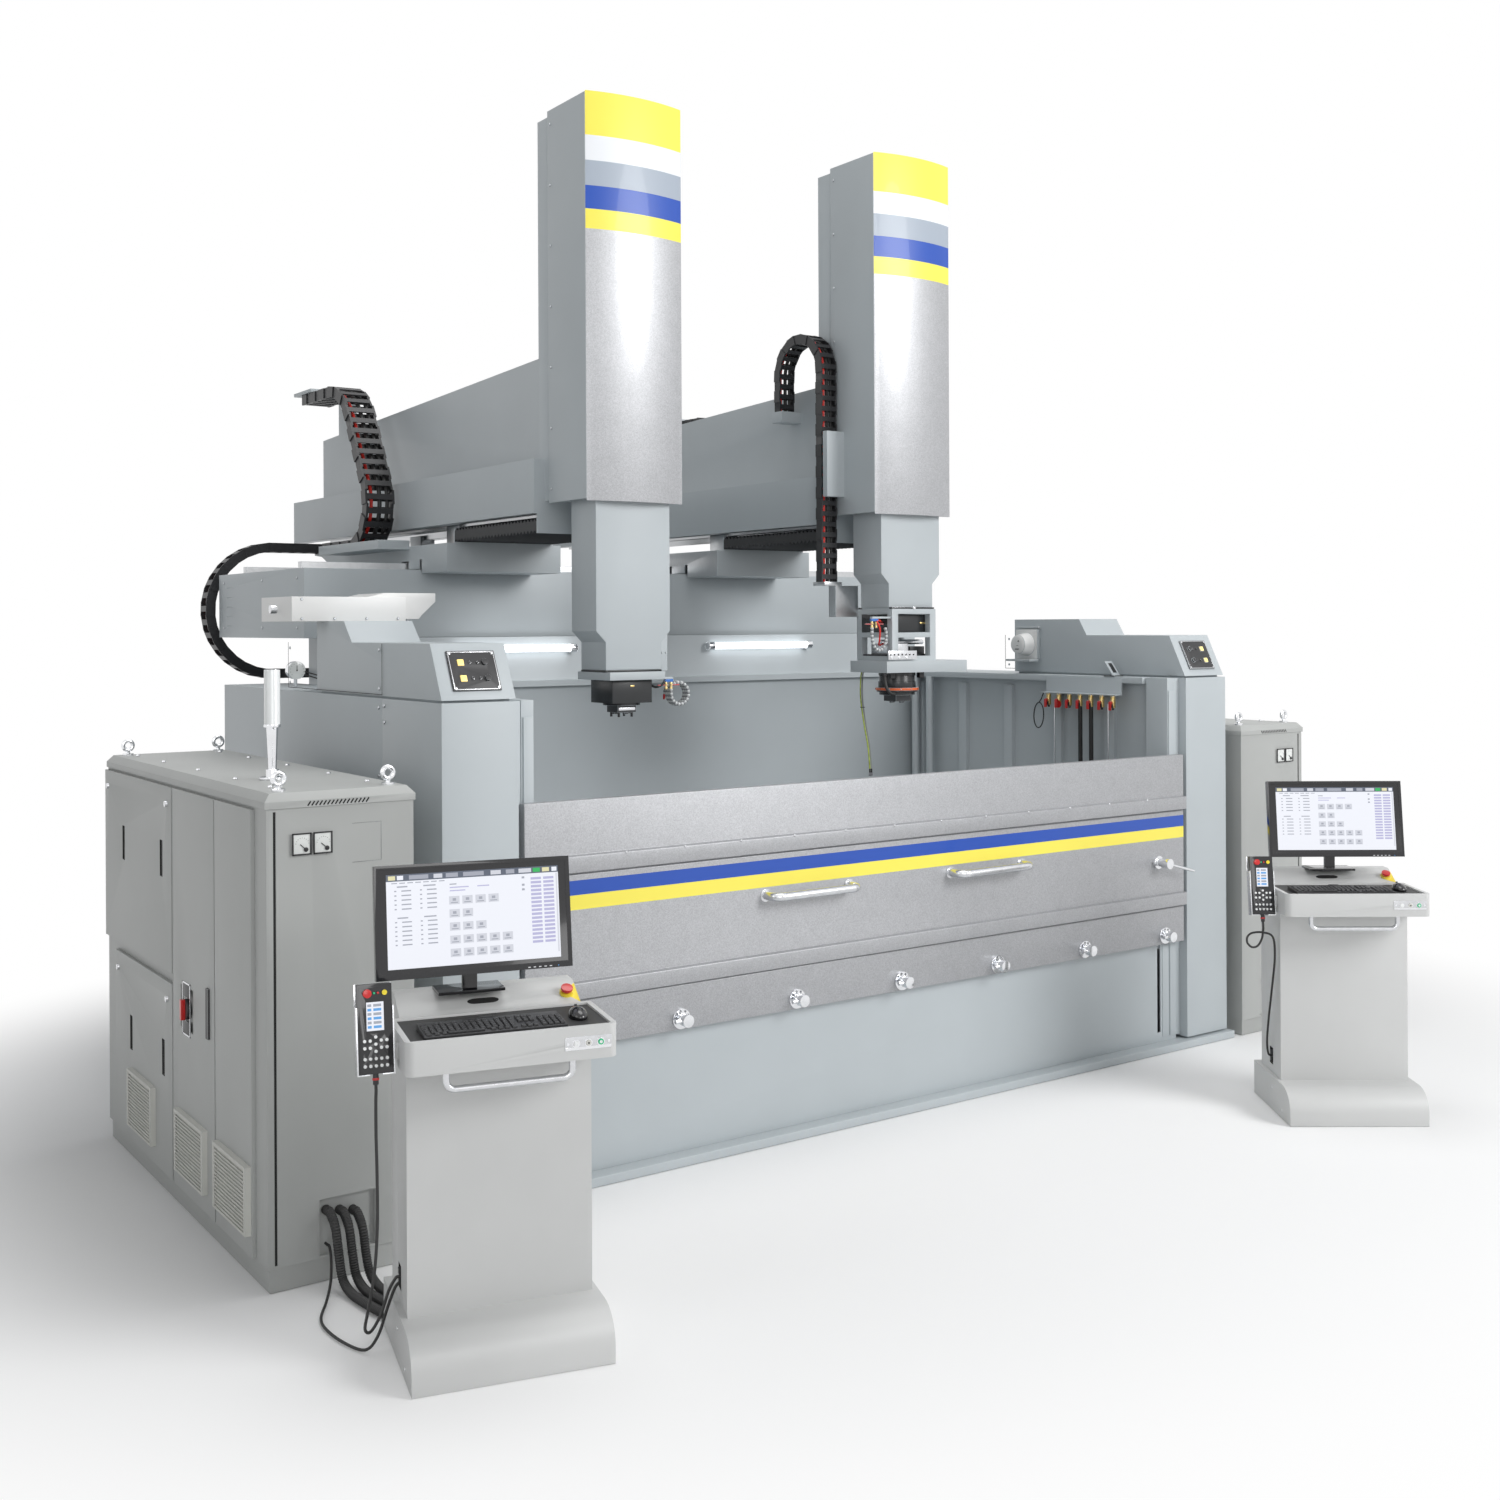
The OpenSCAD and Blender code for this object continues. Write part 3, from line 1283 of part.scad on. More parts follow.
// Rotary spindle and electrode chuck: a round flange, a square chuck with four pads and a bore
spindle_r = 45;
spindle_h = 30;
bore_r = 10;
bore_len = 40;
chuck_w = 100;
chuck_h = 42;
pad_h = 8;
flange_h = 121;
flange_r = 88;
module chuck_core(flange_r, flange_h, top_z) {
    z1 = top_z - flange_h;
    z0 = z1 - chuck_h;
    difference() {
        union() {
            color(black)
                rod_z(z1, top_z - fit, 0, 0, flange_r);
            color(dark)
                rod_z(top_z - fit, top_z + spindle_h, 0, 0, spindle_r);
            color(chrome)
                box6(-chuck_w / 2, chuck_w / 2, -chuck_w / 2, chuck_w / 2, z0 + pad_h, z1);
            color(chrome)
                for (a = [0 : 90 : 270])
                    rotate([0, 0, a])
                        box6(chuck_w / 2 - lip * 2.4, chuck_w / 2 - lip / 2, -lip, lip, z0, z0 + pad_h);
        }
        rod_z(z0 - cut, z0 + pad_h + bore_len, 0, 0, bore_r);
    }
}
module chuck_1() {
    translate([head_x_left, quill_cy, 0])
        chuck_core(flange_r, flange_h, c_axis_top);
}
ring_h = 14;
ring_z = 96;
ring_in = 95;
ring_out = 115;
module chuck_2() {
    translate([head_x_right, quill_cy, 0]) {
        chuck_core(ring_in, flange_h, c_axis_top);
        color([0.85, 0.25, 0.08])
            difference() {
                rod_z(c_axis_top - ring_z, c_axis_top - ring_z + ring_h, 0, 0, ring_out);
                rod_z(c_axis_top - ring_z - cut, c_axis_top - ring_z + ring_h + cut, 0, 0, ring_in);
            }
    }
}

// Flushing valves and jointed hoses at the quill feet. The coil turns in a plane across the
// machine and steps back by one hose and its gap each turn.
hose_r = 9;
hose_gap = 1;
coil_r = 52;
coil_n = 3;
coil_steps = 24;
bead_share = 0.78;
valve_h = 50;
lead_r = 4;
function bead(k) = k % 2 == 0 ? hose_r : hose_r * bead_share;
module flush_valve() {
    color([0.10, 0.35, 0.75])
        box6(-lip * 2, lip * 2, -lip, lip, -lip * 1.5, 0);
    color(brass)
        for (s = [-1, 1])
            rod_z(-valve_h, -lip * 1.5, s * lip * 1.4, 0, lip * 0.7);
    color(red)
        for (s = [-1, 1])
            box6(s > 0 ? lip * 2 : -lip * 6, s > 0 ? lip * 6 : -lip * 2, -lip * 0.4, lip * 0.4,
                -valve_h * 0.7, -valve_h * 0.7 + lip * 0.8);
}
module flush_hose_1() {
    x = head_x_left + neck_w / 2 + lip * 4;
    z = c_axis_top;
    x_h = x + lip * 1.4;
    z_h = z - valve_h - lip * 2;
    coil = [for (k = [0 : coil_n * coil_steps]) let (a = 360 * k / coil_steps)
        [x_h + coil_r * (1 - cos(a)), quill_y0 + (hose_r * 2 + hose_gap) * k / coil_steps,
            z_h - coil_r * sin(a)]];
    pts = concat([[x_h, quill_y0, z - valve_h - fit / 2]], coil);
    color(paint)
        box6(head_x_left + neck_w / 2, x + lip * 2, quill_y0 - lip, quill_y0 + lip, z, z + lip);
    translate([x, quill_y0, z])
        flush_valve();
    color(off_white)
        tube(pts, [for (k = [0 : len(pts) - 1]) bead(k)], 6, [0, 1, 0]);
    echo(str("flush_hose_1 least gap between turns ", hose_gap));
}
loop_r = 48;
loop_h = 75;
lead_route = [[-60, 0, 36], [-62, 14, 35], [-72, 30, 14], [-84, 34, -30], [-88, 32, -141],
    [-80, 14, -281], [-70, -6, -401], [-66, -16, -521]];
arc_route = [[-180, -560, -fit], [-180, -560, -36], [-176, -568, -76], [-158, -574, -103],
    [-135, -570, -111], [-118, -560, -109]];
module flush_hose_2() {
    x = head_x_right - wing_l - lip * 6;
    y = quill_y0 - lip / 2;
    z = q2_foot - lip * 6;
    loop = [for (k = [0 : 30]) let (a = 7 * k)
        [x - lip * 1.4 + loop_r * (1 - cos(a)), y, z - valve_h - lip * 4 - loop_h * sin(a)]];
    pts = concat([[x - lip * 1.4, y, z - valve_h - fit / 2], [x - lip * 1.4, y, z - valve_h - lip * 2]],
        loop);
    color(paint)
        box6(x - lip * 2, head_x_right - neck_w / 2, y - lip, y + lip, z, z + lip);
    translate([x, y, z])
        flush_valve();
    color(off_white)
        tube(pts, [for (k = [0 : len(pts) - 1]) bead(k)], 6, [0, 1, 0]);
    translate([head_x_right, 0, 0]) {
        color(black) {
            arc = smooth([for (p = arc_route) p + [0, 0, c_axis_top]], 4);
            tube(arc, [for (p = arc) hose_r], 8, [0, 1, 0]);
        }
        for (d = [0, 1]) {
            lead = smooth([for (p = lead_route)
                p + [-d * lead_r * 3, quill_y1 + plate_over + fit, c_axis_top]], 3);
            color(d == 0 ? cab_paint : [0.75, 0.80, 0.15])
                tube(lead, [for (p = lead) lead_r], 6, [1, 0, 0]);
        }
    }
}

// Energy chains of the rams, beside each ram, and of the right quill, beside its head
module ram_chain(s) {
    x0 = s < 0 ? -ram_w / 2 - skirt_w - lip * 3 - chain_w : ram_w / 2 + skirt_w + lip * 3;
    color(black)
        chain_in_yz(x0, [chain_y0, chain_top, 180], [[chain_run[0], 0], [chain_run[1], chain_bend],
            [chain_run[2], 0], [chain_run[3], 180 - chain_bend], [chain_run[4], 0]],
            chain_pitch, chain_w, chain_h);
}
module ram_chain_1() {
    translate([head_x_left, 0, 0])
        ram_chain(-1);
}
module ram_chain_2() {
    translate([head_x_right, 0, 0])
        ram_chain(1);
}
hc_w = 104;
hc_h = 50;
hc_gap = 30;
hc_r = 185;
hc_pitch = 56;
hc_front_y = -255;
hc_back_y = hc_front_y + hc_r * 2;
hc_arch_z = 3684;
hc_low = 2560;
hc_back_z = 3500;
hc_cover_z0 = 3008;
hc_cover_z1 = 3353;
module head_chain_2() {
    translate([head_x_right, 0, 0])
        color(black)
            chain_in_yz(-ram_w / 2 - hc_gap - hc_w, [hc_front_y, hc_low, 90],
                [[hc_arch_z - hc_low, 0], [hc_r, -180], [hc_arch_z - hc_back_z, 0]], hc_pitch, hc_w, hc_h);
}

// Operator console in its own frame: the middle of the front edge of the foot is the origin,
// the operator stands on -Y and the tray faces them
foot_z = 160;
foot_nose = 60;
foot_curve = 120;
col_w = 600;
col_y0 = 200;
col_y1 = 500;
tray_h = 105;
tray_y1 = 330;
tray_r = 30;
tray_rim = 18;
mat_t = 3;
wedge_y = 415;
wedge_h = [45, 55];
wedge_z = tray_top + wedge_h[0];
wedge_top = tray_top + wedge_h[1];
outlet_y = 320;
outlet_z = 200;
button_x = [196, 236, 276];
button_r = 9;
button_drop = 52;
button_z = tray_top - button_drop;
button_deep = 40;
stop_x = 262;
stop_y = 372;
stop_tilt = atan((wedge_z - tray_top) / (wedge_y - tray_y1));
stop_z = tray_top + (stop_y - tray_y1) * tan(stop_tilt);
stop_r = 20;
pend_w = 105;
pend_h = 270;
pend_t = 44;
pend_lean = 9;
holder_out = 70;
holder_x = -tray_w / 2 - holder_out;
holder_y = 110;
holder_drop = 112;
holder_z = tray_top - holder_drop;
holder_rail = 4;
bar_len = 400;
bar_r = 11;
bar_drop = 66;
bar_y = 62;
screen_y = 370;
screen_z = 1378;
screen_t = 36;
hinge_off = 34;
module on_console(i) {
    translate([console_x[i], console_y[i], 0])
        rotate([0, 0, console_turn[i]])
            children();
}
module tray_outline() {
    t = tray_w / 2;
    square_w = tray_w - 2 * tray_r;
    translate([-t, tray_r])
        square([tray_w, tray_y1 - tray_r]);
    translate([-square_w / 2, 0])
        square([square_w, tray_r * 2]);
    for (s = [-1, 1])
        translate([s * square_w / 2, tray_r])
            circle(r = tray_r, $fn = 48);
}
module console_foot() {
    w = con_w / 2;
    arc = [for (a = [0 : 10 : 90])
        [foot_curve * (1 - cos(a)), foot_nose + (foot_z - foot_nose) * sin(a)]];
    difference() {
        along_x(-w, w, concat([[con_d, 0], [0, 0]], arc, [[con_d, foot_z]]));
        box6(-w + skin, w - skin, foot_curve, con_d - skin, -cut, foot_z - skin);
        box6(-w + lip * 2, -w / 4, con_d - lip, con_d + cut, -cut, conduit_r * 3);
    }
}
module console_column() {
    c = col_w / 2;
    tz = tray_top - tray_h;
    difference() {
        union() {
            hollow6(-c, c, col_y0, col_y1, foot_z, tz, skin);
            box6(-c + cut, -c + lip + skin, outlet_y - skin, outlet_y + lip * 5 + skin, outlet_z - skin,
                outlet_z + lip * 8 + skin);
        }
        box6(-c - cut, -c + lip, outlet_y, outlet_y + lip * 5, outlet_z, outlet_z + lip * 8);
    }
    along_x(-c, c, [[tray_y1, tz], [tray_y1, tray_top], [wedge_y, wedge_z], [wedge_y + lip * 2, wedge_top],
        [col_y1, wedge_top], [col_y1, tz]]);
}
module console_tray() {
    t = tray_w / 2;
    difference() {
        translate([0, 0, tray_top - tray_h])
            linear_extrude(tray_h)
                tray_outline();
        box6(-t + tray_rim, t - tray_rim, tray_rim, tray_y1 - tray_rim, tray_top - lip, tray_top + cut);
        for (x = button_x)
            rod_y(-cut, button_deep, x, button_z, button_r + fit);
    }
}
// The pendant's holder, in a frame that leans back
module in_holder() {
    translate([holder_x, holder_y, holder_z])
        rotate([-pend_lean, 0, 0])
            children();
}
module pendant_holder() {
    w = pend_w / 2 + holder_rail + 1;
    in_holder() {
        box6(-w, w, pend_t + 1, pend_t + 1 + holder_rail, -holder_rail, pend_h);
        for (s = [-1, 1]) {
            box6(s > 0 ? w - holder_rail : -w, s > 0 ? w : -w + holder_rail, 0, pend_t + 1,
                -holder_rail, pend_h * 0.75);
            box6(s > 0 ? w / 3 : -w, s > 0 ? w : -w / 3, 0, pend_t + 1, -holder_rail, -fit);
        }
    }
    box6(holder_x + w - 1, -tray_w / 2, holder_y + pend_t / 2, holder_y + pend_t, tray_top - lip * 8,
        tray_top - lip * 3);
}
module screen_stand() {
    box6(-lip * 11, lip * 11, screen_y - lip * 2, screen_y + lip * 10, wedge_top, wedge_top + lip);
    box6(-lip * 2.4, lip * 2.4, screen_y + lip * 1.6, screen_y + lip * 3.6, wedge_top + lip,
        screen_z + lip * 2);
    for (s = [-1, 1])
        box6(s > 0 ? lip * 2 : -lip * 3.4, s > 0 ? lip * 3.4 : -lip * 2, screen_y - lip * 1.2,
            screen_y + lip * 3.6, screen_z - lip * 2, screen_z + lip * 2);
    rod_x(-lip * 3.4, lip * 3.4, screen_y, screen_z, lip * 0.5);
}
module console(i) {
    on_console(i) {
        color(con_paint) {
            console_foot();
            console_column();
            console_tray();
        }
        color(chrome)
            pendant_holder();
        color(con_paint)
            box6(button_x[0] - lip * 3.4, button_x[2] + lip * 3.4, -cut, 0, button_z - lip * 2,
                button_z - button_r - cut);
        color(chrome)
            for (x = button_x)
                difference() {
                    rod_y(-cut * 1.5, 0, x, button_z, button_r * 1.4);
                    rod_y(-cut * 2, cut, x, button_z, button_r + fit);
                }
        color(black)
            box6(-tray_w / 2 + tray_rim, tray_w / 2 - tray_rim, tray_rim, tray_y1 - tray_rim,
                tray_top - lip, tray_top - lip + mat_t);
        color([0.9, 0.8, 0.1])
            translate([stop_x, stop_y, stop_z])
                rotate([stop_tilt, 0, 0])
                    difference() {
                        rod_z(-lip / 2, lip, 0, 0, stop_r * 1.15);
                        rod_z(-lip, lip + cut, 0, 0, stop_r / 2 + fit);
                    }
        color(steel)
            translate([0, bar_y, tray_top - tray_h])
                rotate([90, 0, 0])
                    bow_handle(bar_len, bar_drop, bar_r, bar_r * 2.6);
        color(chrome)
            translate([screen_shift[i], 0, 0])
                screen_stand();
    }
}
module console_1() {
    console(0);
}
module console_2() {
    console(1);
}

// Flat screen on a tilting hinge, leaning back
screen_lean = 8;
bezel = 14;
module screen(i) {
    on_console(i)
        translate([screen_shift[i], screen_y, screen_z])
            rotate([-screen_lean, 0, 0]) {
                color(black) {
                    difference() {
                        box6(-screen_w / 2, screen_w / 2, -hinge_off - screen_t, -hinge_off, -screen_h / 2,
                            screen_h / 2);
                        box6(-screen_w / 2 + bezel, screen_w / 2 - bezel, -hinge_off - screen_t - cut,
                            -hinge_off - screen_t + cut, -screen_h / 2 + bezel * 1.4, screen_h / 2 - bezel);
                    }
                    box6(-screen_w / 5, screen_w / 5, -hinge_off, -hinge_off + lip, -screen_h / 4,
                        screen_h / 4);
                }
                color(steel)
                    difference() {
                        union() {
                            box6(-lip * 1.9, lip * 1.9, -hinge_off + lip, 0, -lip * 0.8, lip * 0.8);
                            rod_x(-lip * 1.9, lip * 1.9, 0, 0, lip * 0.8);
                        }
                        rod_x(-lip * 2, lip * 2, 0, 0, lip * 0.5 + fit);
                    }
            }
}
module screen_1() {
    screen(0);
}
module screen_2() {
    screen(1);
}

// Keyboards and mice that lie on the mats
key_w = 450;
key_d = 150;
key_h = 16;
key_x = -270;
key_y = 36;
mouse_x = 242;
mouse_y = 150;
mouse_r = 31;
mouse_h = 36;
module keyboard() {
    z = tray_top - lip + mat_t;
    color(black) {
        translate([key_x, key_y, z])
            along_x(0, key_w, [[0, 0], [key_d, 0], [key_d, key_h * 1.25], [0, key_h * 0.75]]);
        for (s = [-1, 1])
            rod_z(z, z + mouse_h, mouse_x, mouse_y + s * mouse_r * 0.7, mouse_r);
        box6(mouse_x - mouse_r, mouse_x + mouse_r, mouse_y - mouse_r * 0.7, mouse_y + mouse_r * 0.7, z,
            z + mouse_h);
    }
}
module keyboards() {
    for (i = [0, 1])
        on_console(i)
            keyboard();
}

// Stop buttons and lit push buttons
stop_gap = 6;
module stop_button(i) {
    on_console(i)
        color(red)
            translate([stop_x, stop_y, stop_z])
                rotate([stop_tilt, 0, 0]) {
                    rod_z(lip / 2, lip + stop_gap, 0, 0, stop_r / 2);
                    rod_z(lip + stop_gap, lip * 2 + stop_gap, 0, 0, stop_r);
                }
}
module stop_button_1() {
    stop_button(0);
}
module stop_button_2() {
    stop_button(1);
}
button_out = 6;
module push_button(i, k) {
    on_console(i)
        color(k == 2 ? [0.2, 0.7, 0.45] : off_white)
            rod_y(-button_out, button_deep / 2, button_x[k], button_z, button_r);
}
module push_button_1a() {
    push_button(0, 0);
}
module push_button_1b() {
    push_button(0, 1);
}
module push_button_1c() {
    push_button(0, 2);
}
module push_button_2a() {
    push_button(1, 0);
}
module push_button_2b() {
    push_button(1, 1);
}
module push_button_2c() {
    push_button(1, 2);
}

// Hand pendant: case, face plate, stop knob, screen, keys and the cord's gland
pend_key_r = 5;
gland_r = 9;
gland_h = 34;
module pendant(i) {
    w = pend_w / 2;
    on_console(i)
        in_holder() {
            color(black) {
                box6(-w, w, cut, pend_t, 0, pend_h);
                rod_z(-gland_h, 0, 0, pend_t / 2, gland_r);
            }
            color(dark)
                box6(-w + lip / 2, w - lip / 2, 0, cut, lip / 2, pend_h - lip);
            color([0.80, 0.90, 0.92])
                box6(-w * 0.5, w * 0.5, -1, 0, pend_h * 0.48, pend_h * 0.80);
            color(red) {
                rod_y(-lip * 1.6, 0, -w * 0.45, pend_h * 0.90, lip * 1.3);
                rod_z(-gland_h * 0.6, -gland_h * 0.4, 0, pend_t / 2, gland_r * 1.2);
            }
            color(off_white) {
                for (c = [-2 : 2], r = [0, 1])
                    rod_y(-2, 0, c * pend_w * 0.16, pend_h * (0.09 + 0.08 * r), pend_key_r);
                for (c = [-2, -1, 1, 2], r = [0, 1])
                    rod_y(-2, 0, c * pend_w * 0.16, pend_h * (0.29 + 0.08 * r), pend_key_r);
                for (r = [0 : 2])
                    rod_y(-2, 0, 0, pend_h * (0.25 + 0.08 * r), pend_key_r);
            }
        }
}
module pendant_1() {
    pendant(0);
}
module pendant_2() {
    pendant(1);
}

// Pendant cords, on routes chosen by hand in the console's own frame
cord_reach = -col_w / 2 - holder_x + lip - fit;
left_cord = [[0, 4, -60], [2, 16, -160], [8, 40, -300], [12, 70, -470], [6, 98, -620],
    [-10, 122, -740], [-16, 150, -810], [6, 178, -832], [40, 196, -790], [66, 204, -722],
    [88, 210, -688], [98, 210, -683], [106, 210, -683], [cord_reach, 210, -683]];
right_cord = [[0, -3, -38], [-6, 0, -80], [-26, -4, -112], [-54, -6, -118], [-74, -2, -98],
    [-70, 10, -72], [-38, 40, -60], [20, 70, -64], [72, 84, -90], [82, 90, -190], [74, 110, -340],
    [66, 140, -500], [70, 176, -610], [84, 204, -672],
    [98, 209, -684], [106, 209, -684], [cord_reach, 209, -684]];
module pendant_cord(i, route) {
    drop = -gland_h - fit;
    y0 = pend_t / 2;
    start = [holder_x, holder_y + y0 * cos(pend_lean) + drop * sin(pend_lean),
        holder_z + drop * cos(pend_lean) - y0 * sin(pend_lean)];
    along = [0, -sin(pend_lean), -cos(pend_lean)];
    whole = concat([for (k = [0, 1, 2]) along * cord_r * k * 2], route);
    line = smooth([for (p = whole) start + p], 4);
    on_console(i)
        color(black)
            tube(line, [for (p = line) cord_r], 8, [1, 0, 0]);
}
module pendant_cable_1() {
    pendant_cord(0, left_cord);
}
module pendant_cable_2() {
    pendant_cord(1, right_cord);
}

base_frame();
machine_bed();
work_tank();
work_table();
left_post();
right_post();
left_control_pod();
right_control_pod();
cross_beam();
work_lights();
valve_manifold();
tool_changer();
left_cabinet();
right_cabinet();
cabinet_covers();
lifting_eyes();
signal_tower();
beam_chain();
cable_conduits();
tank_door();
door_hardware();
door_lever();
saddle_1();
ram_1();
bellows_1();
head_cover_1();
head_panel_1();
quill_1();
chuck_1();
flush_hose_1();
ram_chain_1();
saddle_2();
ram_2();
bellows_2();
head_cover_2();
head_panel_2();
quill_2();
chuck_2();
flush_hose_2();
ram_chain_2();
head_chain_2();
cabinet_door();
main_switch();
console_1();
console_2();
screen_1();
screen_2();
keyboards();
stop_button_1();
stop_button_2();
push_button_1a();
push_button_1b();
push_button_1c();
push_button_2a();
push_button_2b();
push_button_2c();
pendant_1();
pendant_2();
pendant_cable_1();
pendant_cable_2();
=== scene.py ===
# %% [markdown]
# # A sinker electrical discharge machine with two heads
# This machine burns a shape into steel with sparks, under oil. A long tank holds the work, and behind it a
# cross beam carries two rams. Each ram holds a head, and in each head a quill goes up and down with an
# electrode. The solids come from a CAD model that is loaded first, and never moved. What follows gives them
# their finishes, rounds their edges and adds the pieces that are too small for the solids.

# %% Load the frame
import json
import math
import bmesh
import bpy
from mathutils import Matrix, Vector


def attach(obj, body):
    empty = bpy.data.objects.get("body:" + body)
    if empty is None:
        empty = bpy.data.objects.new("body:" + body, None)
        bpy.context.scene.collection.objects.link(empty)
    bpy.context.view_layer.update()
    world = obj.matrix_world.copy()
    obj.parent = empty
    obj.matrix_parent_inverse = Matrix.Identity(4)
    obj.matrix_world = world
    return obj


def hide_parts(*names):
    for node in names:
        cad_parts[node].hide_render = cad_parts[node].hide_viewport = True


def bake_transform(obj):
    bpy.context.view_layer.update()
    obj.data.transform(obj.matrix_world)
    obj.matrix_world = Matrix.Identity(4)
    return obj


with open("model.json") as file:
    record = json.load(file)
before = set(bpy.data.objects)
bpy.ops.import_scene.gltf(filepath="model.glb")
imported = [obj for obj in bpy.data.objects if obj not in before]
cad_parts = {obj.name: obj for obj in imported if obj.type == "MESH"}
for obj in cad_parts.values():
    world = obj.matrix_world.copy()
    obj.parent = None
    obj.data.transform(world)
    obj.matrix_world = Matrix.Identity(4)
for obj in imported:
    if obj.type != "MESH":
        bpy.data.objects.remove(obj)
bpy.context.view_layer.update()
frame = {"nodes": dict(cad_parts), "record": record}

nodes = frame["nodes"]
scene = bpy.context.scene
scene.view_settings.view_transform = "Standard"

# %% [markdown]
# ## The camera
# The picture was taken with a level camera at the height of the pods, a little left of the tank. A level
# camera keeps upright edges upright, and the frame is then lowered with a shift of the lens, as an
# architect's photographer does it.

# %% Place the camera
camera_spot = (-5.040, -7.001, 2.332)
camera_turn, camera_roll = 0.6148, 0.0048
film_mm, lens_mm, lens_shift = 36.0, 38.67, -0.0831
sight_range = 200.0
lens = bpy.data.cameras.new("photo_camera")
lens.sensor_width, lens.lens, lens.shift_y, lens.clip_end = film_mm, lens_mm, lens_shift, sight_range
camera = bpy.data.objects.new("photo_camera", lens)
camera.location = camera_spot
camera.rotation_euler = (math.radians(90), camera_roll, -camera_turn)
scene.collection.objects.link(camera)
scene.camera = camera
print("camera at", tuple(round(c, 3) for c in camera.location))

# %% [markdown]
# ## Helpers for finishes
# A finish is a small node tree round one Principled shader. The numbers that are the same all over are set
# on the shader itself, and only what changes over the surface is wired: a slow drift in the colour, and a
# fine grain for the bump. Both read Object coordinates, so the grain has a real size in metres.

# %% Node helpers
def bare_material(name):
    material = bpy.data.materials.new(name)
    material.use_nodes = True
    tree = material.node_tree
    tree.nodes.clear()
    out = tree.nodes.new("ShaderNodeOutputMaterial")
    shader = tree.nodes.new("ShaderNodeBsdfPrincipled")
    tree.links.new(shader.outputs[0], out.inputs[0])
    return material, tree, shader


def add_node(tree, kind, values=None, links=None, **settings):
    node = tree.nodes.new(kind)
    for key, value in settings.items():
        setattr(node, key, value)
    for key, value in (values or {}).items():
        node.inputs[key].default_value = value
    for key, source in (links or {}).items():
        tree.links.new(source, node.inputs[key])
    return node


def calculate(tree, operation, *sides):
    """One Math node. Each side is a number, or the output of another node."""
    node = add_node(tree, "ShaderNodeMath", operation=operation)
    for socket, side in zip(node.inputs, sides):
        if isinstance(side, float):
            socket.default_value = side
        else:
            tree.links.new(side, socket)
    return node.outputs[0]


def noise_on_object(tree, scale, detail=2.0, stretch=None):
    spot = add_node(tree, "ShaderNodeTexCoord").outputs["Object"]
    if stretch:
        longer = add_node(tree, "ShaderNodeVectorMath", {1: stretch}, {0: spot}, operation="MULTIPLY")
        spot = longer.outputs[0]
    noise = add_node(tree, "ShaderNodeTexNoise", {"Scale": scale, "Detail": detail}, {"Vector": spot})
    return noise.outputs[0]


def colour_drift(tree, shader, colour, drift, scale, stretch=None):
    low = [c * (1 - drift) for c in colour] + [1]
    high = [min(1.0, c * (1 + drift)) for c in colour] + [1]
    ramp = add_node(tree, "ShaderNodeValToRGB", links={"Fac": noise_on_object(tree, scale, 3.0, stretch)})
    ramp.color_ramp.elements[0].position, ramp.color_ramp.elements[0].color = 0.3, low
    ramp.color_ramp.elements[1].position, ramp.color_ramp.elements[1].color = 0.7, high
    tree.links.new(ramp.outputs[0], shader.inputs["Base Color"])


def grain_bump(tree, shader, scale, height, stretch=None):
    bump = add_node(tree, "ShaderNodeBump", {"Strength": 1.0, "Distance": height},
                    {"Height": noise_on_object(tree, scale, stretch=stretch)})
    tree.links.new(bump.outputs[0], shader.inputs["Normal"])


def finish(name, colour, rough, metal=0.0, drift=0.03, drift_scale=2.0, grain=400.0, height=0.00005,
           stretch=None, coat=0.0, glow=None):
    material, tree, shader = bare_material(name)
    for title, value in (("Roughness", rough), ("Metallic", metal), ("Coat Weight", coat)):
        shader.inputs[title].default_value = value
    if glow:
        shader.inputs["Emission Color"].default_value = (*glow[0], 1)
        shader.inputs["Emission Strength"].default_value = glow[1]
    colour_drift(tree, shader, colour, drift, drift_scale, stretch)
    grain_bump(tree, shader, grain, height, stretch)
    material.diffuse_color = (*colour, 1)
    return material


# %% [markdown]
# ## Paints, metals and plastics
# The machine's body has a pale blue-grey paint with a faint orange peel. The cabinets and consoles have a
# warmer grey powder coat that feels like fine leather, so its grain is coarser and deeper. Ground steel and
# turned brass keep the lines of the tool, which a noise stretched along one axis gives.

# %% Finishes for the machine
body_paint = finish("blue-grey machine paint", (0.47, 0.51, 0.53), 0.42, drift=0.025, grain=260,
                    height=0.00004)
cabinet_paint = finish("grey powder coat", (0.42, 0.43, 0.42), 0.5, drift=0.03, grain=420, height=0.00016)
console_paint = finish("light powder coat", (0.58, 0.585, 0.58), 0.5, drift=0.03, grain=420, height=0.00018)
white_paint = finish("white enamel", (0.78, 0.78, 0.77), 0.35, drift=0.02, height=0.00002)
filter_plastic = finish("pale filter plastic", (0.60, 0.60, 0.56), 0.5, drift=0.04, height=0.00004)
ground_steel = finish("ground steel", (0.56, 0.57, 0.58), 0.28, 1.0, 0.06, 30, 500, 0.00002, (1, 12, 1))
bright_chrome = finish("bright chrome", (0.80, 0.81, 0.83), 0.12, 1.0, 0.03, 20, 300, 0.000005)
satin_chrome = finish("satin chrome", (0.66, 0.67, 0.69), 0.25, 1.0, 0.05, 40, 900, 0.00001)
turned_brass = finish("turned brass", (0.78, 0.58, 0.24), 0.25, 1.0, 0.06, 60, 900, 0.00001)
zinc_screw = finish("zinc plated screw", (0.42, 0.44, 0.46), 0.35, 1.0, 0.08, 90, 900, 0.00001)
black_plastic = finish("black moulded plastic", (0.022, 0.022, 0.024), 0.42, drift=0.12, grain=900,
                       height=0.00003)
gloss_black = finish("gloss black plastic", (0.012, 0.012, 0.014), 0.12, drift=0.1, height=0.000005, coat=0.3)
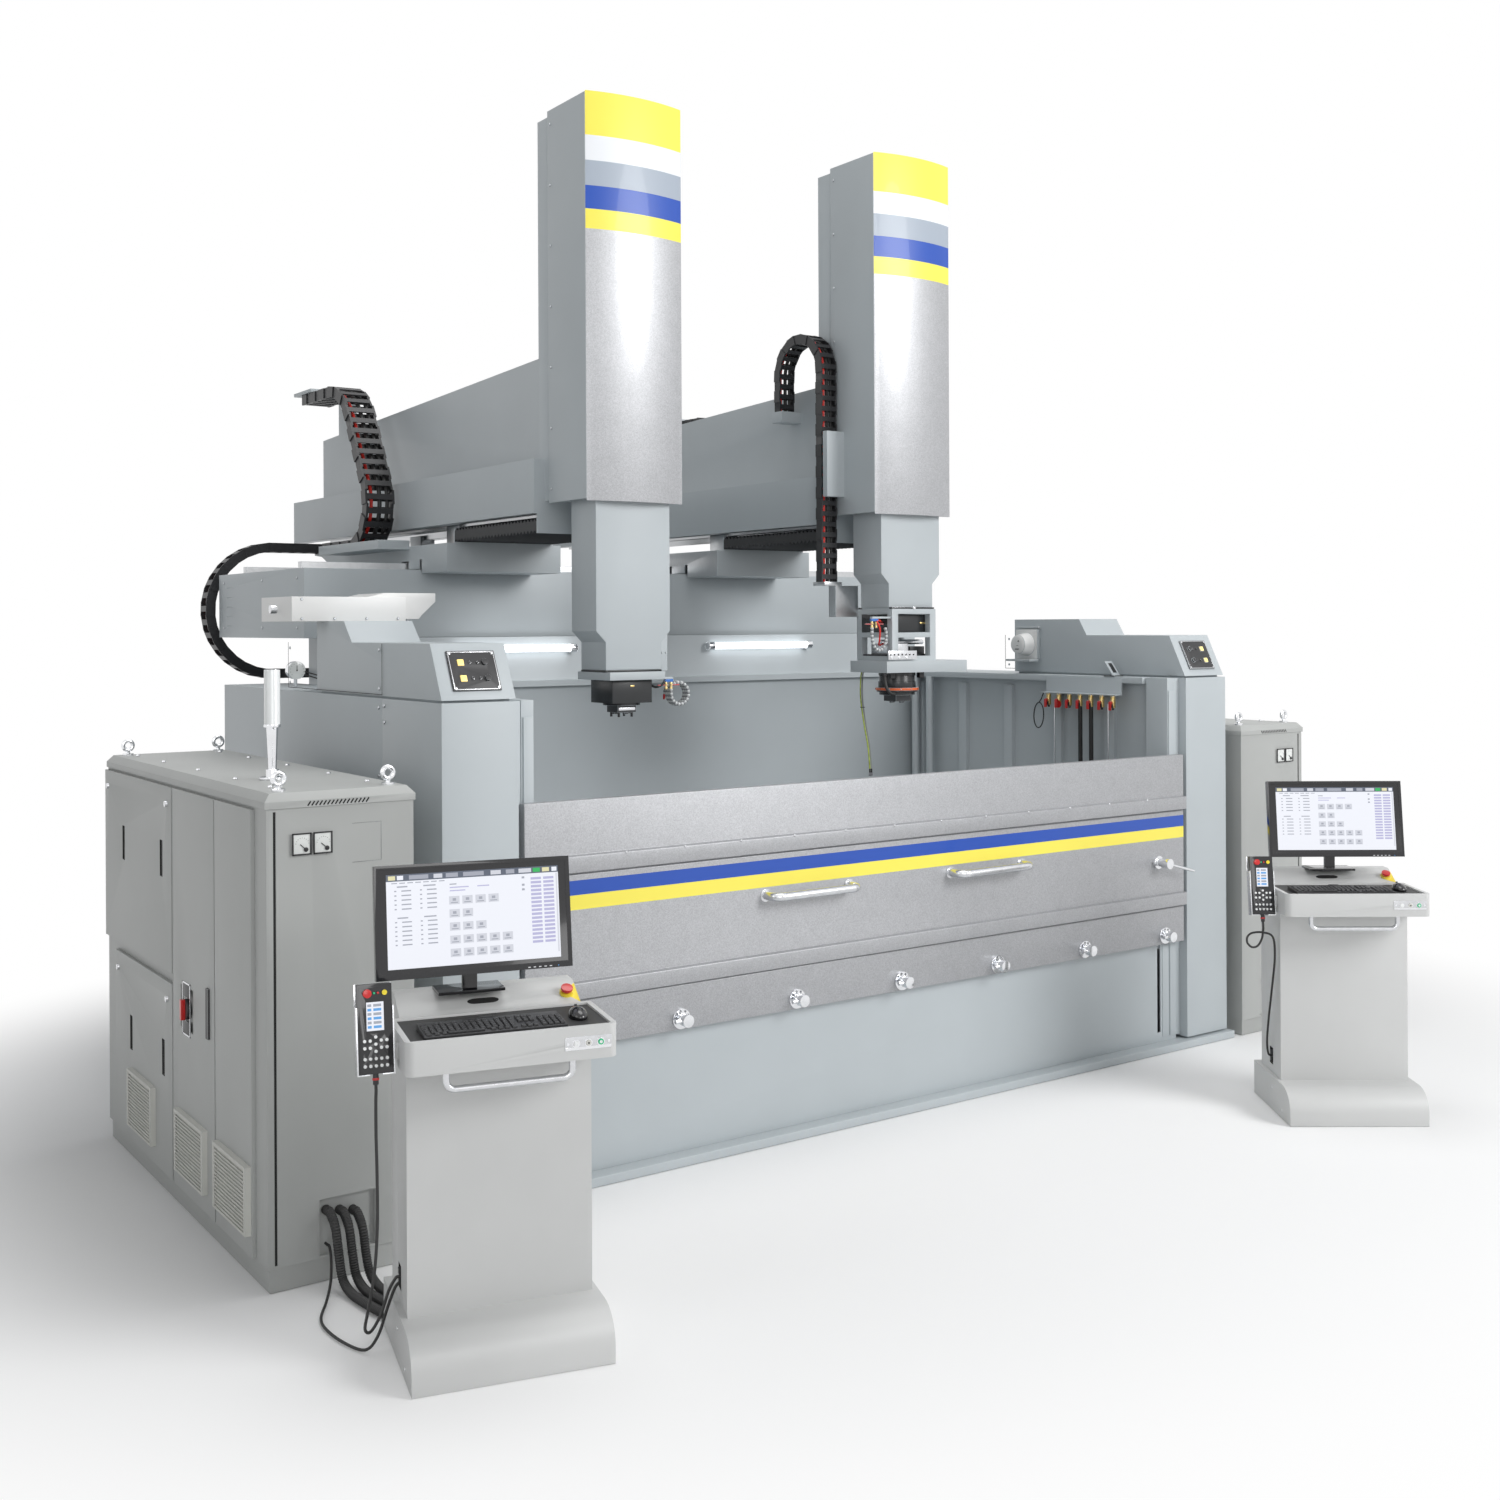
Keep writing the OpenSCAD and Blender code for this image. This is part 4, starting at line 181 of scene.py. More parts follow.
black_rubber = finish("black rubber", (0.02, 0.02, 0.02), 0.55, drift=0.15, grain=700, height=0.00004)
black_cloth = finish("coated bellows cloth", (0.016, 0.017, 0.019), 0.6, drift=0.15, grain=1500,
                     height=0.00006)
black_enamel = finish("black enamel", (0.02, 0.022, 0.024), 0.25, drift=0.08, height=0.00001)
red_plastic = finish("red plastic", (0.60, 0.012, 0.012), 0.28, drift=0.05, height=0.00001, coat=0.3)
red_hose = finish("red cable jacket", (0.75, 0.03, 0.02), 0.4, drift=0.08, grain=700, height=0.00002)
yellow_plastic = finish("yellow plastic", (0.85, 0.68, 0.04), 0.35, drift=0.04, height=0.00001)
green_plastic = finish("green plastic", (0.02, 0.50, 0.22), 0.3, drift=0.04, height=0.00001)
orange_plastic = finish("orange ring", (0.80, 0.14, 0.03), 0.35, drift=0.05, height=0.00001)
blue_enamel = finish("blue enamel", (0.03, 0.16, 0.55), 0.35, drift=0.05, height=0.00002)
hose_plastic = finish("pale hose segments", (0.62, 0.64, 0.64), 0.4, drift=0.06, grain=700, height=0.00002)
ceramic_white = finish("white plate", (0.80, 0.81, 0.81), 0.25, drift=0.02, height=0.000005)
meter_white = finish("meter dial", (0.78, 0.80, 0.78), 0.2, drift=0.02, height=0.000005, coat=0.5)
lamp_tube = finish("lit lamp tube", (0.95, 0.96, 1.0), 0.3, drift=0.01, height=0.000005,
                   glow=((0.96, 0.98, 1.0), 2.2))
lit_yellow = finish("lit yellow key", (0.9, 0.7, 0.2), 0.3, drift=0.05, height=0.000005,
                    glow=((1.0, 0.75, 0.25), 0.7))
clear_lens = finish("clear lens", (0.86, 0.88, 0.88), 0.15, drift=0.02, height=0.000005, coat=0.5)
# Painted shade: near black put on the insides of slots, gaps, grips and holes and in the cabinet bay.
painted_opening_shade = finish("painted shade in openings", (0.006, 0.006, 0.006), 0.8, drift=0.1, height=0.00001)
print("finishes:", len(bpy.data.materials))

# %% [markdown]
# ## Sparkle paint with bands
# The tank door and the bowed head panels have a metallic paint with fine flakes, crossed by level bands of
# plain colour. The bands are read from the height of each point, through a stepped colour ramp. The ramp's
# alpha says where a band is, and there the metal and its flakes go away.

# %% Banded sparkle paint
flake_scale, flake_depth, flake_base = 260.0, 0.34, 0.80
cloud_scale, cloud_detail, cloud_low, cloud_high = 14.0, 4.0, 0.93, 1.07
sparkle_metal, sparkle_rough, band_rough, sparkle_coat = 0.45, 0.42, 0.38, 0.15
sparkle_grain, sparkle_height = 500, 0.00002


def between(tree, value, low, high):
    return add_node(tree, "ShaderNodeMapRange", {"To Min": low, "To Max": high}, {"Value": value}).outputs[0]


def stepped_ramp(tree, height, metal, bottom, top, bands):
    ramp = add_node(tree, "ShaderNodeValToRGB", links={"Fac": height})
    ramp.color_ramp.interpolation = "CONSTANT"
    stops = {0.0: (*metal, 0)}
    for low, high, colour in bands:
        stops[round((low - bottom) / (top - bottom), 5)] = (*colour, 1)
        stops[round((high - bottom) / (top - bottom), 5)] = (*metal, 0)
    marks = sorted(stops)
    while len(ramp.color_ramp.elements) < len(marks):
        ramp.color_ramp.elements.new(0.5)
    for mark, at in zip(ramp.color_ramp.elements, marks):
        mark.position, mark.color = at, stops[at]
    return ramp


def banded_sparkle(name, metal, bottom, top, bands, front=None):
    material, tree, shader = bare_material(name)
    spot = add_node(tree, "ShaderNodeTexCoord").outputs["Object"]
    split = add_node(tree, "ShaderNodeSeparateXYZ", links={0: spot})
    height = add_node(tree, "ShaderNodeMapRange", {"From Min": bottom, "From Max": top},
                      {"Value": split.outputs[2]})
    ramp = stepped_ramp(tree, height.outputs[0], metal, bottom, top, bands)
    band = ramp.outputs["Alpha"]
    if front is not None:
        band = calculate(tree, "MULTIPLY", band, calculate(tree, "LESS_THAN", split.outputs[1], front))
    flakes = add_node(tree, "ShaderNodeTexVoronoi", {"Scale": flake_scale}, {"Vector": spot})
    shade = calculate(tree, "MULTIPLY", flakes.outputs["Color"], flake_depth)
    shade = calculate(tree, "ADD", shade, flake_base)
    cloud = between(tree, noise_on_object(tree, cloud_scale, cloud_detail), cloud_low, cloud_high)
    shade = calculate(tree, "MULTIPLY", shade, cloud)
    flaky = add_node(tree, "ShaderNodeVectorMath", {0: metal}, {1: shade}, operation="MULTIPLY")
    mixed = add_node(tree, "ShaderNodeMix", links={0: band, 6: flaky.outputs[0], 7: ramp.outputs["Color"]},
                     data_type="RGBA")
    tree.links.new(mixed.outputs[2], shader.inputs["Base Color"])
    tree.links.new(between(tree, band, sparkle_metal, 0.0), shader.inputs["Metallic"])
    tree.links.new(between(tree, band, sparkle_rough, band_rough), shader.inputs["Roughness"])
    shader.inputs["Coat Weight"].default_value = sparkle_coat
    grain_bump(tree, shader, sparkle_grain, sparkle_height)
    return material


band_blue, band_yellow = (0.008, 0.07, 0.42), (0.92, 0.80, 0.10)
band_white, band_grey = (0.80, 0.82, 0.85), (0.36, 0.41, 0.48)
door_paint = banded_sparkle("door sparkle paint", (0.40, 0.405, 0.42), 0.5, 1.7,
                            [(1.155, 1.213, band_yellow), (1.213, 1.278, band_blue)], front=-1.1295)
panel_paint = banded_sparkle("panel sparkle paint", (0.42, 0.425, 0.44), 2.8, 4.9,
                             [(4.145, 4.235, band_yellow), (4.235, 4.335, band_blue),
                              (4.335, 4.455, band_grey), (4.455, 4.570, band_white),
                              (4.570, 4.880, band_yellow)])
print("banded paints:", door_paint.name, "and", panel_paint.name)

# %% [markdown]
# ## Helpers for shapes
# Most pieces are grown in one bmesh: blocks, prisms, rods and tubes that are joined in a mesh and share a
# few materials by number. At the end the sharp edges get a small rounding, because a real edge always
# catches a line of light, and the faces are shaded smooth with the sharp edges kept.

# %% Shape helpers
sharp_angle, edge_roundness = 32.0, 0.6


def block(shape, low, high, material=0, place=None):
    corners = [(x, y, z) for x in (low[0], high[0]) for y in (low[1], high[1]) for z in (low[2], high[2])]
    verts = [shape.verts.new(place @ Vector(c) if place else c) for c in corners]
    for quad in ((0, 1, 3, 2), (4, 6, 7, 5), (0, 4, 5, 1), (2, 3, 7, 6), (0, 2, 6, 4), (1, 5, 7, 3)):
        shape.faces.new([verts[i] for i in quad]).material_index = material


def prism(shape, outline, start, end, axis, material, place):
    along = "xyz".index(axis)
    rings = [[shape.verts.new(place @ Vector((*spot[:along], c, *spot[along:]))) for spot in outline]
             for c in (start, end)]
    n = len(outline)
    faces = [[rings[0][i], rings[0][(i + 1) % n], rings[1][(i + 1) % n], rings[1][i]] for i in range(n)]
    made = [shape.faces.new(f) for f in faces + [rings[0][::-1], rings[1]]]
    for face in made:
        face.material_index = material
    bmesh.ops.recalc_face_normals(shape, faces=made)


def around(count, first=0.0):
    return [math.tau * (k + first) / count for k in range(count)]


def ring_at(centre, along, side, radius, sides):
    across = along.cross(side).normalized()
    return [centre + radius * (math.cos(a) * side + math.sin(a) * across) for a in around(sides)]


def tube(shape, route, radius, material=0, sides=12, place=None):
    route = [Vector(p) for p in route]
    radii = radius if isinstance(radius, (list, tuple)) else [radius] * len(route)
    start = (route[1] - route[0]).normalized()
    side = Vector((0, 0, 1)) if abs(start.z) < 0.8 else Vector((0, 1, 0))
    rings = []
    for i, centre in enumerate(route):
        along = (route[min(i + 1, len(route) - 1)] - route[max(i - 1, 0)]).normalized()
        side = (side - side.dot(along) * along).normalized()
        spots = ring_at(centre, along, side, radii[i], sides)
        rings.append([shape.verts.new(place @ p if place else p) for p in spots])
    made = []
    for low, high in zip(rings, rings[1:]):
        for k in range(sides):
            made.append(shape.faces.new([low[k], low[(k + 1) % sides], high[(k + 1) % sides], high[k]]))
    made += [shape.faces.new(rings[0][::-1]), shape.faces.new(rings[-1])]
    for face in made:
        face.material_index = material
        face.smooth = True


def rod(shape, start, end, radius, material=0, sides=24, place=None):
    tube(shape, [start, end], radius, material, sides, place)


def turned_part(shape, base, axis, profile, material=0, sides=32):
    axis = Vector(axis).normalized()
    tube(shape, [Vector(base) + axis * h for h, r in profile], [r for h, r in profile], material, sides)


def outward(shape):
    bmesh.ops.recalc_face_normals(shape, faces=shape.faces)


def carry(piece, body):
    """A name makes the piece ride on that body. A tuple of fixed body, end, moved body and end only bakes the
    piece in place.
    """
    if isinstance(body, str):
        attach(piece, body)
    else:
        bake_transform(piece)


def round_edges(shape, edge, segments, angle):
    sharp = [e for e in shape.edges if len(e.link_faces) == 2 and e.calc_face_angle(0) > math.radians(angle)]
    bmesh.ops.bevel(shape, geom=sharp, offset=edge, segments=segments, profile=edge_roundness,
                    affect="EDGES", clamp_overlap=True)


def finished(name, shape, materials, body, edge=0.001, stands_for=(), angle=sharp_angle):
    outward(shape)
    if edge:
        round_edges(shape, edge, 2, angle)
    mesh = bpy.data.meshes.new(name)
    shape.to_mesh(mesh)
    shape.free()
    for material in materials:
        mesh.materials.append(material)
    mesh.shade_smooth()
    mesh.set_sharp_from_angle(angle=math.radians(angle))
    piece = bpy.data.objects.new(name, mesh)
    scene.collection.objects.link(piece)
    carry(piece, body)
    if stands_for:
        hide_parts(*stands_for)
    return piece


body_of_node = {node: body for body, members in frame["record"]["behaviour"]["bodies"].items()
                for node in members}
slot_of_node = {part["node"]: part["material_slot"] for part in frame["record"]["subparts"]}

# %% [markdown]
# ## Dressing a CAD node
# A CAD node has the right form, but its edges are knife sharp and it has one finish. A dressed copy stands
# for it: the same faces, welded, with flat regions joined, edges rounded, and its finishes chosen face by
# face. Which finish a face gets is told by a small function that looks at its middle and the way it faces.

# %% Dress a CAD node
weld_distance, flat_angle = 0.00002, 0.4


def dressed(node, materials, edge=0.0015, choose_face=None, body=None):
    shape = bmesh.new()
    shape.from_mesh(nodes[node].data)
    bmesh.ops.remove_doubles(shape, verts=shape.verts, dist=weld_distance)
    bmesh.ops.dissolve_limit(shape, angle_limit=math.radians(flat_angle), verts=shape.verts,
                             edges=shape.edges)
    for face in shape.faces:
        number = choose_face(face.calc_center_median(), face.normal) if choose_face else None
        face.material_index = number or 0
    return finished(node + "_dressed", shape, materials, body or body_of_node[node], edge,
                    [node])


print("ready to dress", len(nodes), "nodes")

# %% [markdown]
# ## The cords
# Three corrugated conduits and a thin signal cord run from the left cabinet over the floor to the left
# console, and each hand pendant hangs on its own cord. A cord is a fixed length of something flexible, so it
# is drawn as a route of given points with a smooth curve through them, in the same places as in the
# CAD source. The conduits have a bead every 9 mm, which a radius that changes along the route gives.

# %% Routes of the cords
def smooth_route(points, steps):
    points = [Vector(p) for p in points]
    line = []
    for i in range(len(points) - 1):
        a, b, c = points[max(i - 1, 0)], points[i], points[i + 1]
        d = points[min(i + 2, len(points) - 1)]
        for k in range(steps):
            t = k / steps
            line.append(0.5 * (2 * b + (c - a) * t + (2 * a - 5 * b + 4 * c - d) * t * t
                               + (3 * b - a - 3 * c + d) * t * t * t))
    return line + [points[-1]]


def route_length(line):
    return sum((b - a).length for a, b in zip(line, line[1:]))


def even_steps(line, step):
    count = max(2, round(route_length(line) / step))
    total, out, walked, want = route_length(line), [line[0].copy()], 0.0, 1
    for a, b in zip(line, line[1:]):
        piece = (b - a).length
        while want < count and walked + piece >= total * want / count:
            out.append(a.lerp(b, (total * want / count - walked) / piece))
            want += 1
        walked += piece
    return out + [line[-1].copy()]


def in_metres(points, origin):
    return [Vector(origin) + Vector(p) / 1000 for p in points]


cabinet_corner = (-3.180, -1.431, 0)
def console_at(x, y, turn):
    return Matrix.Translation((x, y, 0)) @ Matrix.Rotation(math.radians(turn), 4, "Z")


console_place = [console_at(-2.767, -2.509, -14), console_at(1.553, -2.535, -36)]
conduit_points = [(0, 20, 252), (0, 0, 252), (0, -30, 252), (0, -80, 212), (2, -105, 130), (6, -130, 50),
                  (12, -190, 20), (20, -280, 18), (35, -380, 18), (55, -450, 18), (65, -500, 18)]
signal_points = [(215, 20, 40), (215, 0, 40), (215, -20, 39), (206, -60, 8), (185, -110, -50),
                 (140, -190, -79), (80, -300, -82), (62, -390, -83), (72, -520, -83), (105, -624, -79),
                 (135, -658, -30), (165, -669, 62), (190, -670, 118), (206.5, -673.5, 132),
                 (210.4, -674.5, 132), (214.3, -675.5, 132)]
print("routes of", len(conduit_points), "and", len(signal_points), "points")

# %% Conduits and the signal cord
def cord_piece(name, line, radius, material, body, stands_for, sides=12, **facts):
    shape = bmesh.new()
    tube(shape, line, radius, sides=sides)
    piece = finished(name, shape, [material], body, edge=0)
    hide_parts(stands_for)
    print(name, round(route_length(line), 3), "m")


conduit_gap, conduit_step_down, bead_step = 0.050, 10, 0.0045
bead_radius, groove_radius, cord_radius = 0.017, 0.0146, 0.005
for i in range(3):
    points = [(x, y, z - conduit_step_down * i if z > 100 else z) for x, y, z in conduit_points]
    start = Vector(cabinet_corner) + Vector((0.215 + conduit_gap * i, 0, 0))
    line = even_steps(smooth_route(in_metres(points, start), 10), bead_step)
    ribs = [bead_radius if k % 2 else groove_radius for k in range(len(line))]
    cord_piece(f"conduit_{i + 1}", line, ribs, black_rubber, "machine", "cable_conduits", 14,
               far_end="object", stiffness="stiff", lay="loose")
line = smooth_route(in_metres(signal_points, Vector(cabinet_corner) + Vector((0, 0, 0.090))), 6)
cord_piece("signal_cord", line, cord_radius, black_rubber, "machine", "cable_conduits", 10,
           far_end="object", lay="loose")

# %% Pendant cords
holder_spot, holder_lean = (-0.404, 0.110, 0.963), math.radians(9)
console_wall, gland_depth, clearance = -0.300, 0.010, 0.0003
cord_reach = console_wall - holder_spot[0] + gland_depth - clearance
left_cord = [(0, 4, -60), (2, 16, -160), (8, 40, -300), (12, 70, -470), (6, 98, -620), (-10, 122, -740),
             (-16, 150, -810), (6, 178, -832), (40, 196, -790), (66, 204, -722), (88, 210, -688),
             (98, 210, -683), (106, 210, -683), (cord_reach * 1000, 210, -683)]
right_cord = [(0, -3, -38), (-6, 0, -80), (-26, -4, -112), (-54, -6, -118), (-74, -2, -98),
              (-70, 10, -72), (-38, 40, -60), (20, 70, -64), (72, 84, -90), (82, 90, -190), (74, 110, -340),
              (66, 140, -500), (70, 176, -610), (84, 204, -672), (98, 209, -684),
              (106, 209, -684), (cord_reach * 1000, 209, -684)]
drop, middle = -0.0343, 0.022
lean_sin, lean_cos = math.sin(holder_lean), math.cos(holder_lean)
cord_start = Vector((holder_spot[0], holder_spot[1] + middle * lean_cos + drop * lean_sin,
                     holder_spot[2] + drop * lean_cos - middle * lean_sin))
from_gland = [(0, -k * lean_sin, -k * lean_cos) for k in (0, 10, 20)]
still_below, moved_above = (0, 0, 0.300), (0, 0, 0.880)
for i, points in enumerate((from_gland + left_cord, from_gland + right_cord)):
    line = [console_place[i] @ p for p in smooth_route(in_metres(points, cord_start), 7)]
    cord_piece(f"pendant_cord_{i + 1}", line, cord_radius, black_rubber,
               ("machine", still_below, f"hand_pendant_{i + 1}", moved_above), f"pendant_cable_{i + 1}", 12,
               far_end="object", lay="hanging")

# %% [markdown]
# ## Geometry Nodes for what repeats
# Screws, weld dots, hose segments and keycaps are all one small shape on many spots. A tree
# takes a mesh of loose points, each with the direction it faces along and a direction to its side, and puts
# a copy of the shape on each. The copies are made real at the end, because an exported file drops instances.
# Screw heads are so common that they get their own tree, where the head's sizes are named inputs.

# %% Trees for copies on points
def new_tree(name, inputs):
    tree = bpy.data.node_groups.new(name, "GeometryNodeTree")
    for title, kind in [("Points", "NodeSocketGeometry")] + inputs + [("Finish", "NodeSocketMaterial")]:
        tree.interface.new_socket(title, in_out="INPUT", socket_type=kind)
    tree.interface.new_socket("Copies", in_out="OUTPUT", socket_type="NodeSocketGeometry")
    return tree, tree.nodes.new("NodeGroupInput"), tree.nodes.new("NodeGroupOutput")


def copies_with(tree, source, given, result):
    along = add_node(tree, "GeometryNodeInputNamedAttribute", {"Name": "along"}, data_type="FLOAT_VECTOR")
    side = add_node(tree, "GeometryNodeInputNamedAttribute", {"Name": "side"}, data_type="FLOAT_VECTOR")
    turn = add_node(tree, "FunctionNodeAxesToRotation", links={0: along.outputs[0], 1: side.outputs[0]},
                    primary_axis="Z", secondary_axis="X")
    copies = add_node(tree, "GeometryNodeInstanceOnPoints", links={
        "Points": given.outputs["Points"], "Instance": source, "Rotation": turn.outputs[0]})
    real = add_node(tree, "GeometryNodeRealizeInstances", links={0: copies.outputs[0]})
    painted = add_node(tree, "GeometryNodeSetMaterial", links={
        "Geometry": real.outputs[0], "Material": given.outputs["Finish"]})
    tree.links.new(painted.outputs[0], result.inputs[0])


screw_rim_share, screw_sides = 0.72, 12
screw_tree, given, result = new_tree("screw heads on points", [("Head radius", "NodeSocketFloat"),
                                                               ("Head height", "NodeSocketFloat")])
rim = calculate(screw_tree, "MULTIPLY", given.outputs["Head radius"], screw_rim_share)
head = add_node(screw_tree, "GeometryNodeMeshCone", {"Vertices": screw_sides}, {
    "Radius Top": rim, "Radius Bottom": given.outputs["Head radius"], "Depth": given.outputs["Head height"]})
copies_with(screw_tree, head.outputs["Mesh"], given, result)

shape_tree, given, result = new_tree("one shape on points", [("Shape", "NodeSocketObject")])
shown = add_node(shape_tree, "GeometryNodeObjectInfo", links={"Object": given.outputs["Shape"]})
copies_with(shape_tree, shown.outputs["Geometry"], given, result)
print("trees:", [g.name for g in bpy.data.node_groups])

# %% Run a tree and keep the plain mesh
copy_angle = 35


def copies(name, tree, spots, values, material, body, slot, smooth=False, stands_for=()):
    mesh = bpy.data.meshes.new(name + "_points")
    mesh.from_pydata([tuple(p) for p, along, side in spots], [], [])
    for title, column in (("along", 1), ("side", 2)):
        layer = mesh.attributes.new(title, "FLOAT_VECTOR", "POINT")
        layer.data.foreach_set("vector", [c for row in spots for c in row[column]])
    holder = bpy.data.objects.new(name + "_holder", mesh)
    scene.collection.objects.link(holder)
    step = holder.modifiers.new("copies", "NODES")
    step.node_group = tree
    for item in tree.interface.items_tree:
        if item.in_out == "INPUT" and item.name in values:
            step[item.identifier] = values[item.name]
        if item.in_out == "INPUT" and item.name == "Finish":
            step[item.identifier] = material
    bpy.context.view_layer.update()
    made = bpy.data.meshes.new_from_object(holder.evaluated_get(bpy.context.evaluated_depsgraph_get()))
    bpy.data.objects.remove(holder)
    made.name = name
    if smooth:
        made.shade_smooth()
        made.set_sharp_from_angle(angle=math.radians(copy_angle))
    piece = bpy.data.objects.new(name, made)
    scene.collection.objects.link(piece)
    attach(piece, body)
    if stands_for:
        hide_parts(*stands_for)


screw_height_shown = 0.45


def screws(name, spots, facing, body, radius=0.006, height=0.004, material=zinc_screw):
    facing = Vector(facing)
    side = Vector((0, 0, 1)) if abs(facing.z) < 0.5 else Vector((1, 0, 0))
    rows = [(Vector(p) + facing * height * screw_height_shown, facing, side) for p in spots]
    copies(name, screw_tree, rows, {"Head radius": radius, "Head height": height}, material, body,
           "ground_steel")


def model(name, shape, edge=0.0):
    outward(shape)
    if edge:
        round_edges(shape, edge, 1, sharp_angle)
    mesh = bpy.data.meshes.new(name)
    shape.to_mesh(mesh)
    shape.free()
    return bpy.data.objects.new(name, mesh)


def row_of(start, end, count):
    return [Vector(start).lerp(Vector(end), k / (count - 1)) for k in range(count)]
# %% [markdown]
# ## The machine's big castings and sheet metal
# The floor frame, bed, tank, housings and beam keep the shapes of the CAD model. They get their rounded
# edges here, and the faces that are tool ground rather than painted are picked out by where they lie: the
# rails on the beam, the runner blocks of the saddles and the table.

# %% Bed, tank, beam and housings
head_x = {"left": -1.155, "right": 0.545}
beam_rails_y, beam_top, rail_half = (1.3, 2.2), 2.6405, 0.026
runners_top, seals_top, runners_front = 2.6955, 2.66, 1.1
ram_rail_x, ram_rail_half, runner_half = 0.18, 0.024, 0.05
saddle_top, ram_underside = 2.7705, 2.8995
steel_or_paint = [body_paint, ground_steel, black_enamel]


def near(value, target, reach):
    return abs(value - target) <= reach


def off_ram_middle(centre):
    return min(abs(centre.x - x) for x in head_x.values())


def beam_face(centre, normal):
    on_rail = any(near(centre.y, y, rail_half) for y in beam_rails_y)
    return 1 if centre.z > beam_top and on_rail else 0


def saddle_face(centre, normal):
    if beam_top + 0.0005 < centre.z < runners_top and centre.y > runners_front:
        return 2 if centre.z < seals_top else 1
    on_runner = any(near(abs(centre.x - x), ram_rail_x, runner_half) for x in head_x.values())
    return 1 if centre.z > saddle_top and on_runner and centre.y > 0.8 else 0


def ram_face(centre, normal):
    return 1 if centre.z < ram_underside and near(off_ram_middle(centre), ram_rail_x, ram_rail_half) else 0


for node in ("base_frame", "machine_bed", "work_tank", "left_post", "right_post"):
    dressed(node, steel_or_paint, edge=0.003)
dressed("cross_beam", steel_or_paint, edge=0.003, choose_face=beam_face)
pairs = [("saddle", steel_or_paint, 0.002, saddle_face), ("ram", steel_or_paint, 0.003, ram_face),
         ("head_cover", steel_or_paint, 0.003, None), ("head_panel", [panel_paint], 0.002, None)]
for name, looks, edge, pick in pairs:
    for number in (1, 2):
        dressed(f"{name}_{number}", looks, edge=edge, choose_face=pick)
dressed("tank_door", [door_paint], edge=0.0025)
dressed("work_table", [ground_steel, body_paint], edge=0.002, choose_face=lambda c, n: c.z < 0.8)
for number, side in ((1, "left"), (2, "right")):
    dressed(f"bellows_{number}", [black_cloth], edge=0,
            body=("saddle_" + side, (0, 0.760, 2.8), "ram_" + side, (0, -0.150, 2.8)))

# %% [markdown]
# ## Quills and chucks
# The quill's box and the plates at its foot are painted, and only its guide face is ground. The chuck is
# blackened steel under a black insulating flange. On the right head an orange ring marks the insulated side.

# %% Quills and chucks
chuck_y, flange_foot = -0.445, 1.961
guide_face_y, quill_foot = -0.3285, {"left": 2.118, "right": 2.141}
ring_low, ring_high, ring_radius = 1.984, 2.0, 0.0945


def quill_face(side):
    return lambda c, n: c.y > guide_face_y and c.z > quill_foot[side] + 0.001


def chuck_face(side):
    def pick(centre, normal):
        away = math.hypot(centre.x - head_x[side], centre.y - chuck_y)
        if side == "right" and ring_low < centre.z < ring_high and away > ring_radius:
            return 3
        return 2 if centre.z > flange_foot else 1
    return pick


for number, side in ((1, "left"), (2, "right")):
    dressed(f"quill_{number}", steel_or_paint, edge=0.002, choose_face=quill_face(side))
chuck_steel = finish("blackened steel", (0.07, 0.072, 0.076), 0.34, 0.6, 0.08, 60, height=0.00002)
chuck_looks = [body_paint, chuck_steel, black_enamel, orange_plastic]
for number, side in ((1, "left"), (2, "right")):
    dressed(f"chuck_{number}", chuck_looks, edge=0.001, choose_face=chuck_face(side))
print("quills and chucks dressed")

# %% [markdown]
# ## Cabinets
# The cabinets are folded sheet with a powder coat. Their side covers lift off by recessed grips, and
# air goes in through louvred filters of a paler plastic and out through slanted slots in the roof's edge.
# The insides of the grips and slots, the gap round the side door and the bay behind it get painted shade.

# %% Cabinets, covers, ring bolts and tower
cabinet_wall, cabinet_front = {"left": -3.180, "right": 3.020}, {"left": -1.431, "right": -1.166}
inward = {"left": 1, "right": -1}
cabinet_looks = [cabinet_paint, black_plastic, meter_white, painted_opening_shade]
cover_looks = [cabinet_paint, filter_plastic, satin_chrome, painted_opening_shade, black_plastic]
filter_top, pane_stands, door_skin = 0.42, 0.0165, -3.1965


def cabinet_face(side):
    def pick(centre, normal):
        behind, height = centre.y - cabinet_front[side], centre.z
        depth = (centre.x - cabinet_wall[side]) * inward[side]
        if near(behind, -0.004, 0.0045) and 1.53 < height < 1.604 and normal.y < -0.5:
            return 2
        # Faces under the roof's lip, in the gap round the side door and inside the bay get painted shade.
        roof_slot = 1.698 < height < 1.720 and -0.0058 < behind < -0.002
        door_gap = 0.0240 < depth < 0.0365 and 0.0004 < behind < 0.0025 and 0.09 < height < 1.69
        bay = 0.004 < depth < 0.31 and 0.55 < behind < 1.101 and near(height, 0.89, 0.78)
        return 3 if roof_slot or door_gap or bay else 0
    return pick


def cover_face(centre, normal):
    out = abs(centre.x - cabinet_wall["left" if centre.x < 0 else "right"])
    facing_out = abs(normal.x) > 0.9
    if centre.z < filter_top and (out > pane_stands or out > pane_stands - 0.001 and not facing_out):
        return 1
    if out > pane_stands:
        return 2
    # The insides of the lifting grips get painted shade.
    in_grip = 0.0075 < out < 0.0085 if facing_out else 0.0105 < out < 0.0138
    return 3 if in_grip else 0


def bay_door_face(centre, normal):
    if centre.z < filter_top and centre.x < door_skin and centre.y > -0.84:
        return 1
    return 4 if centre.x < door_skin - 0.001 else 0


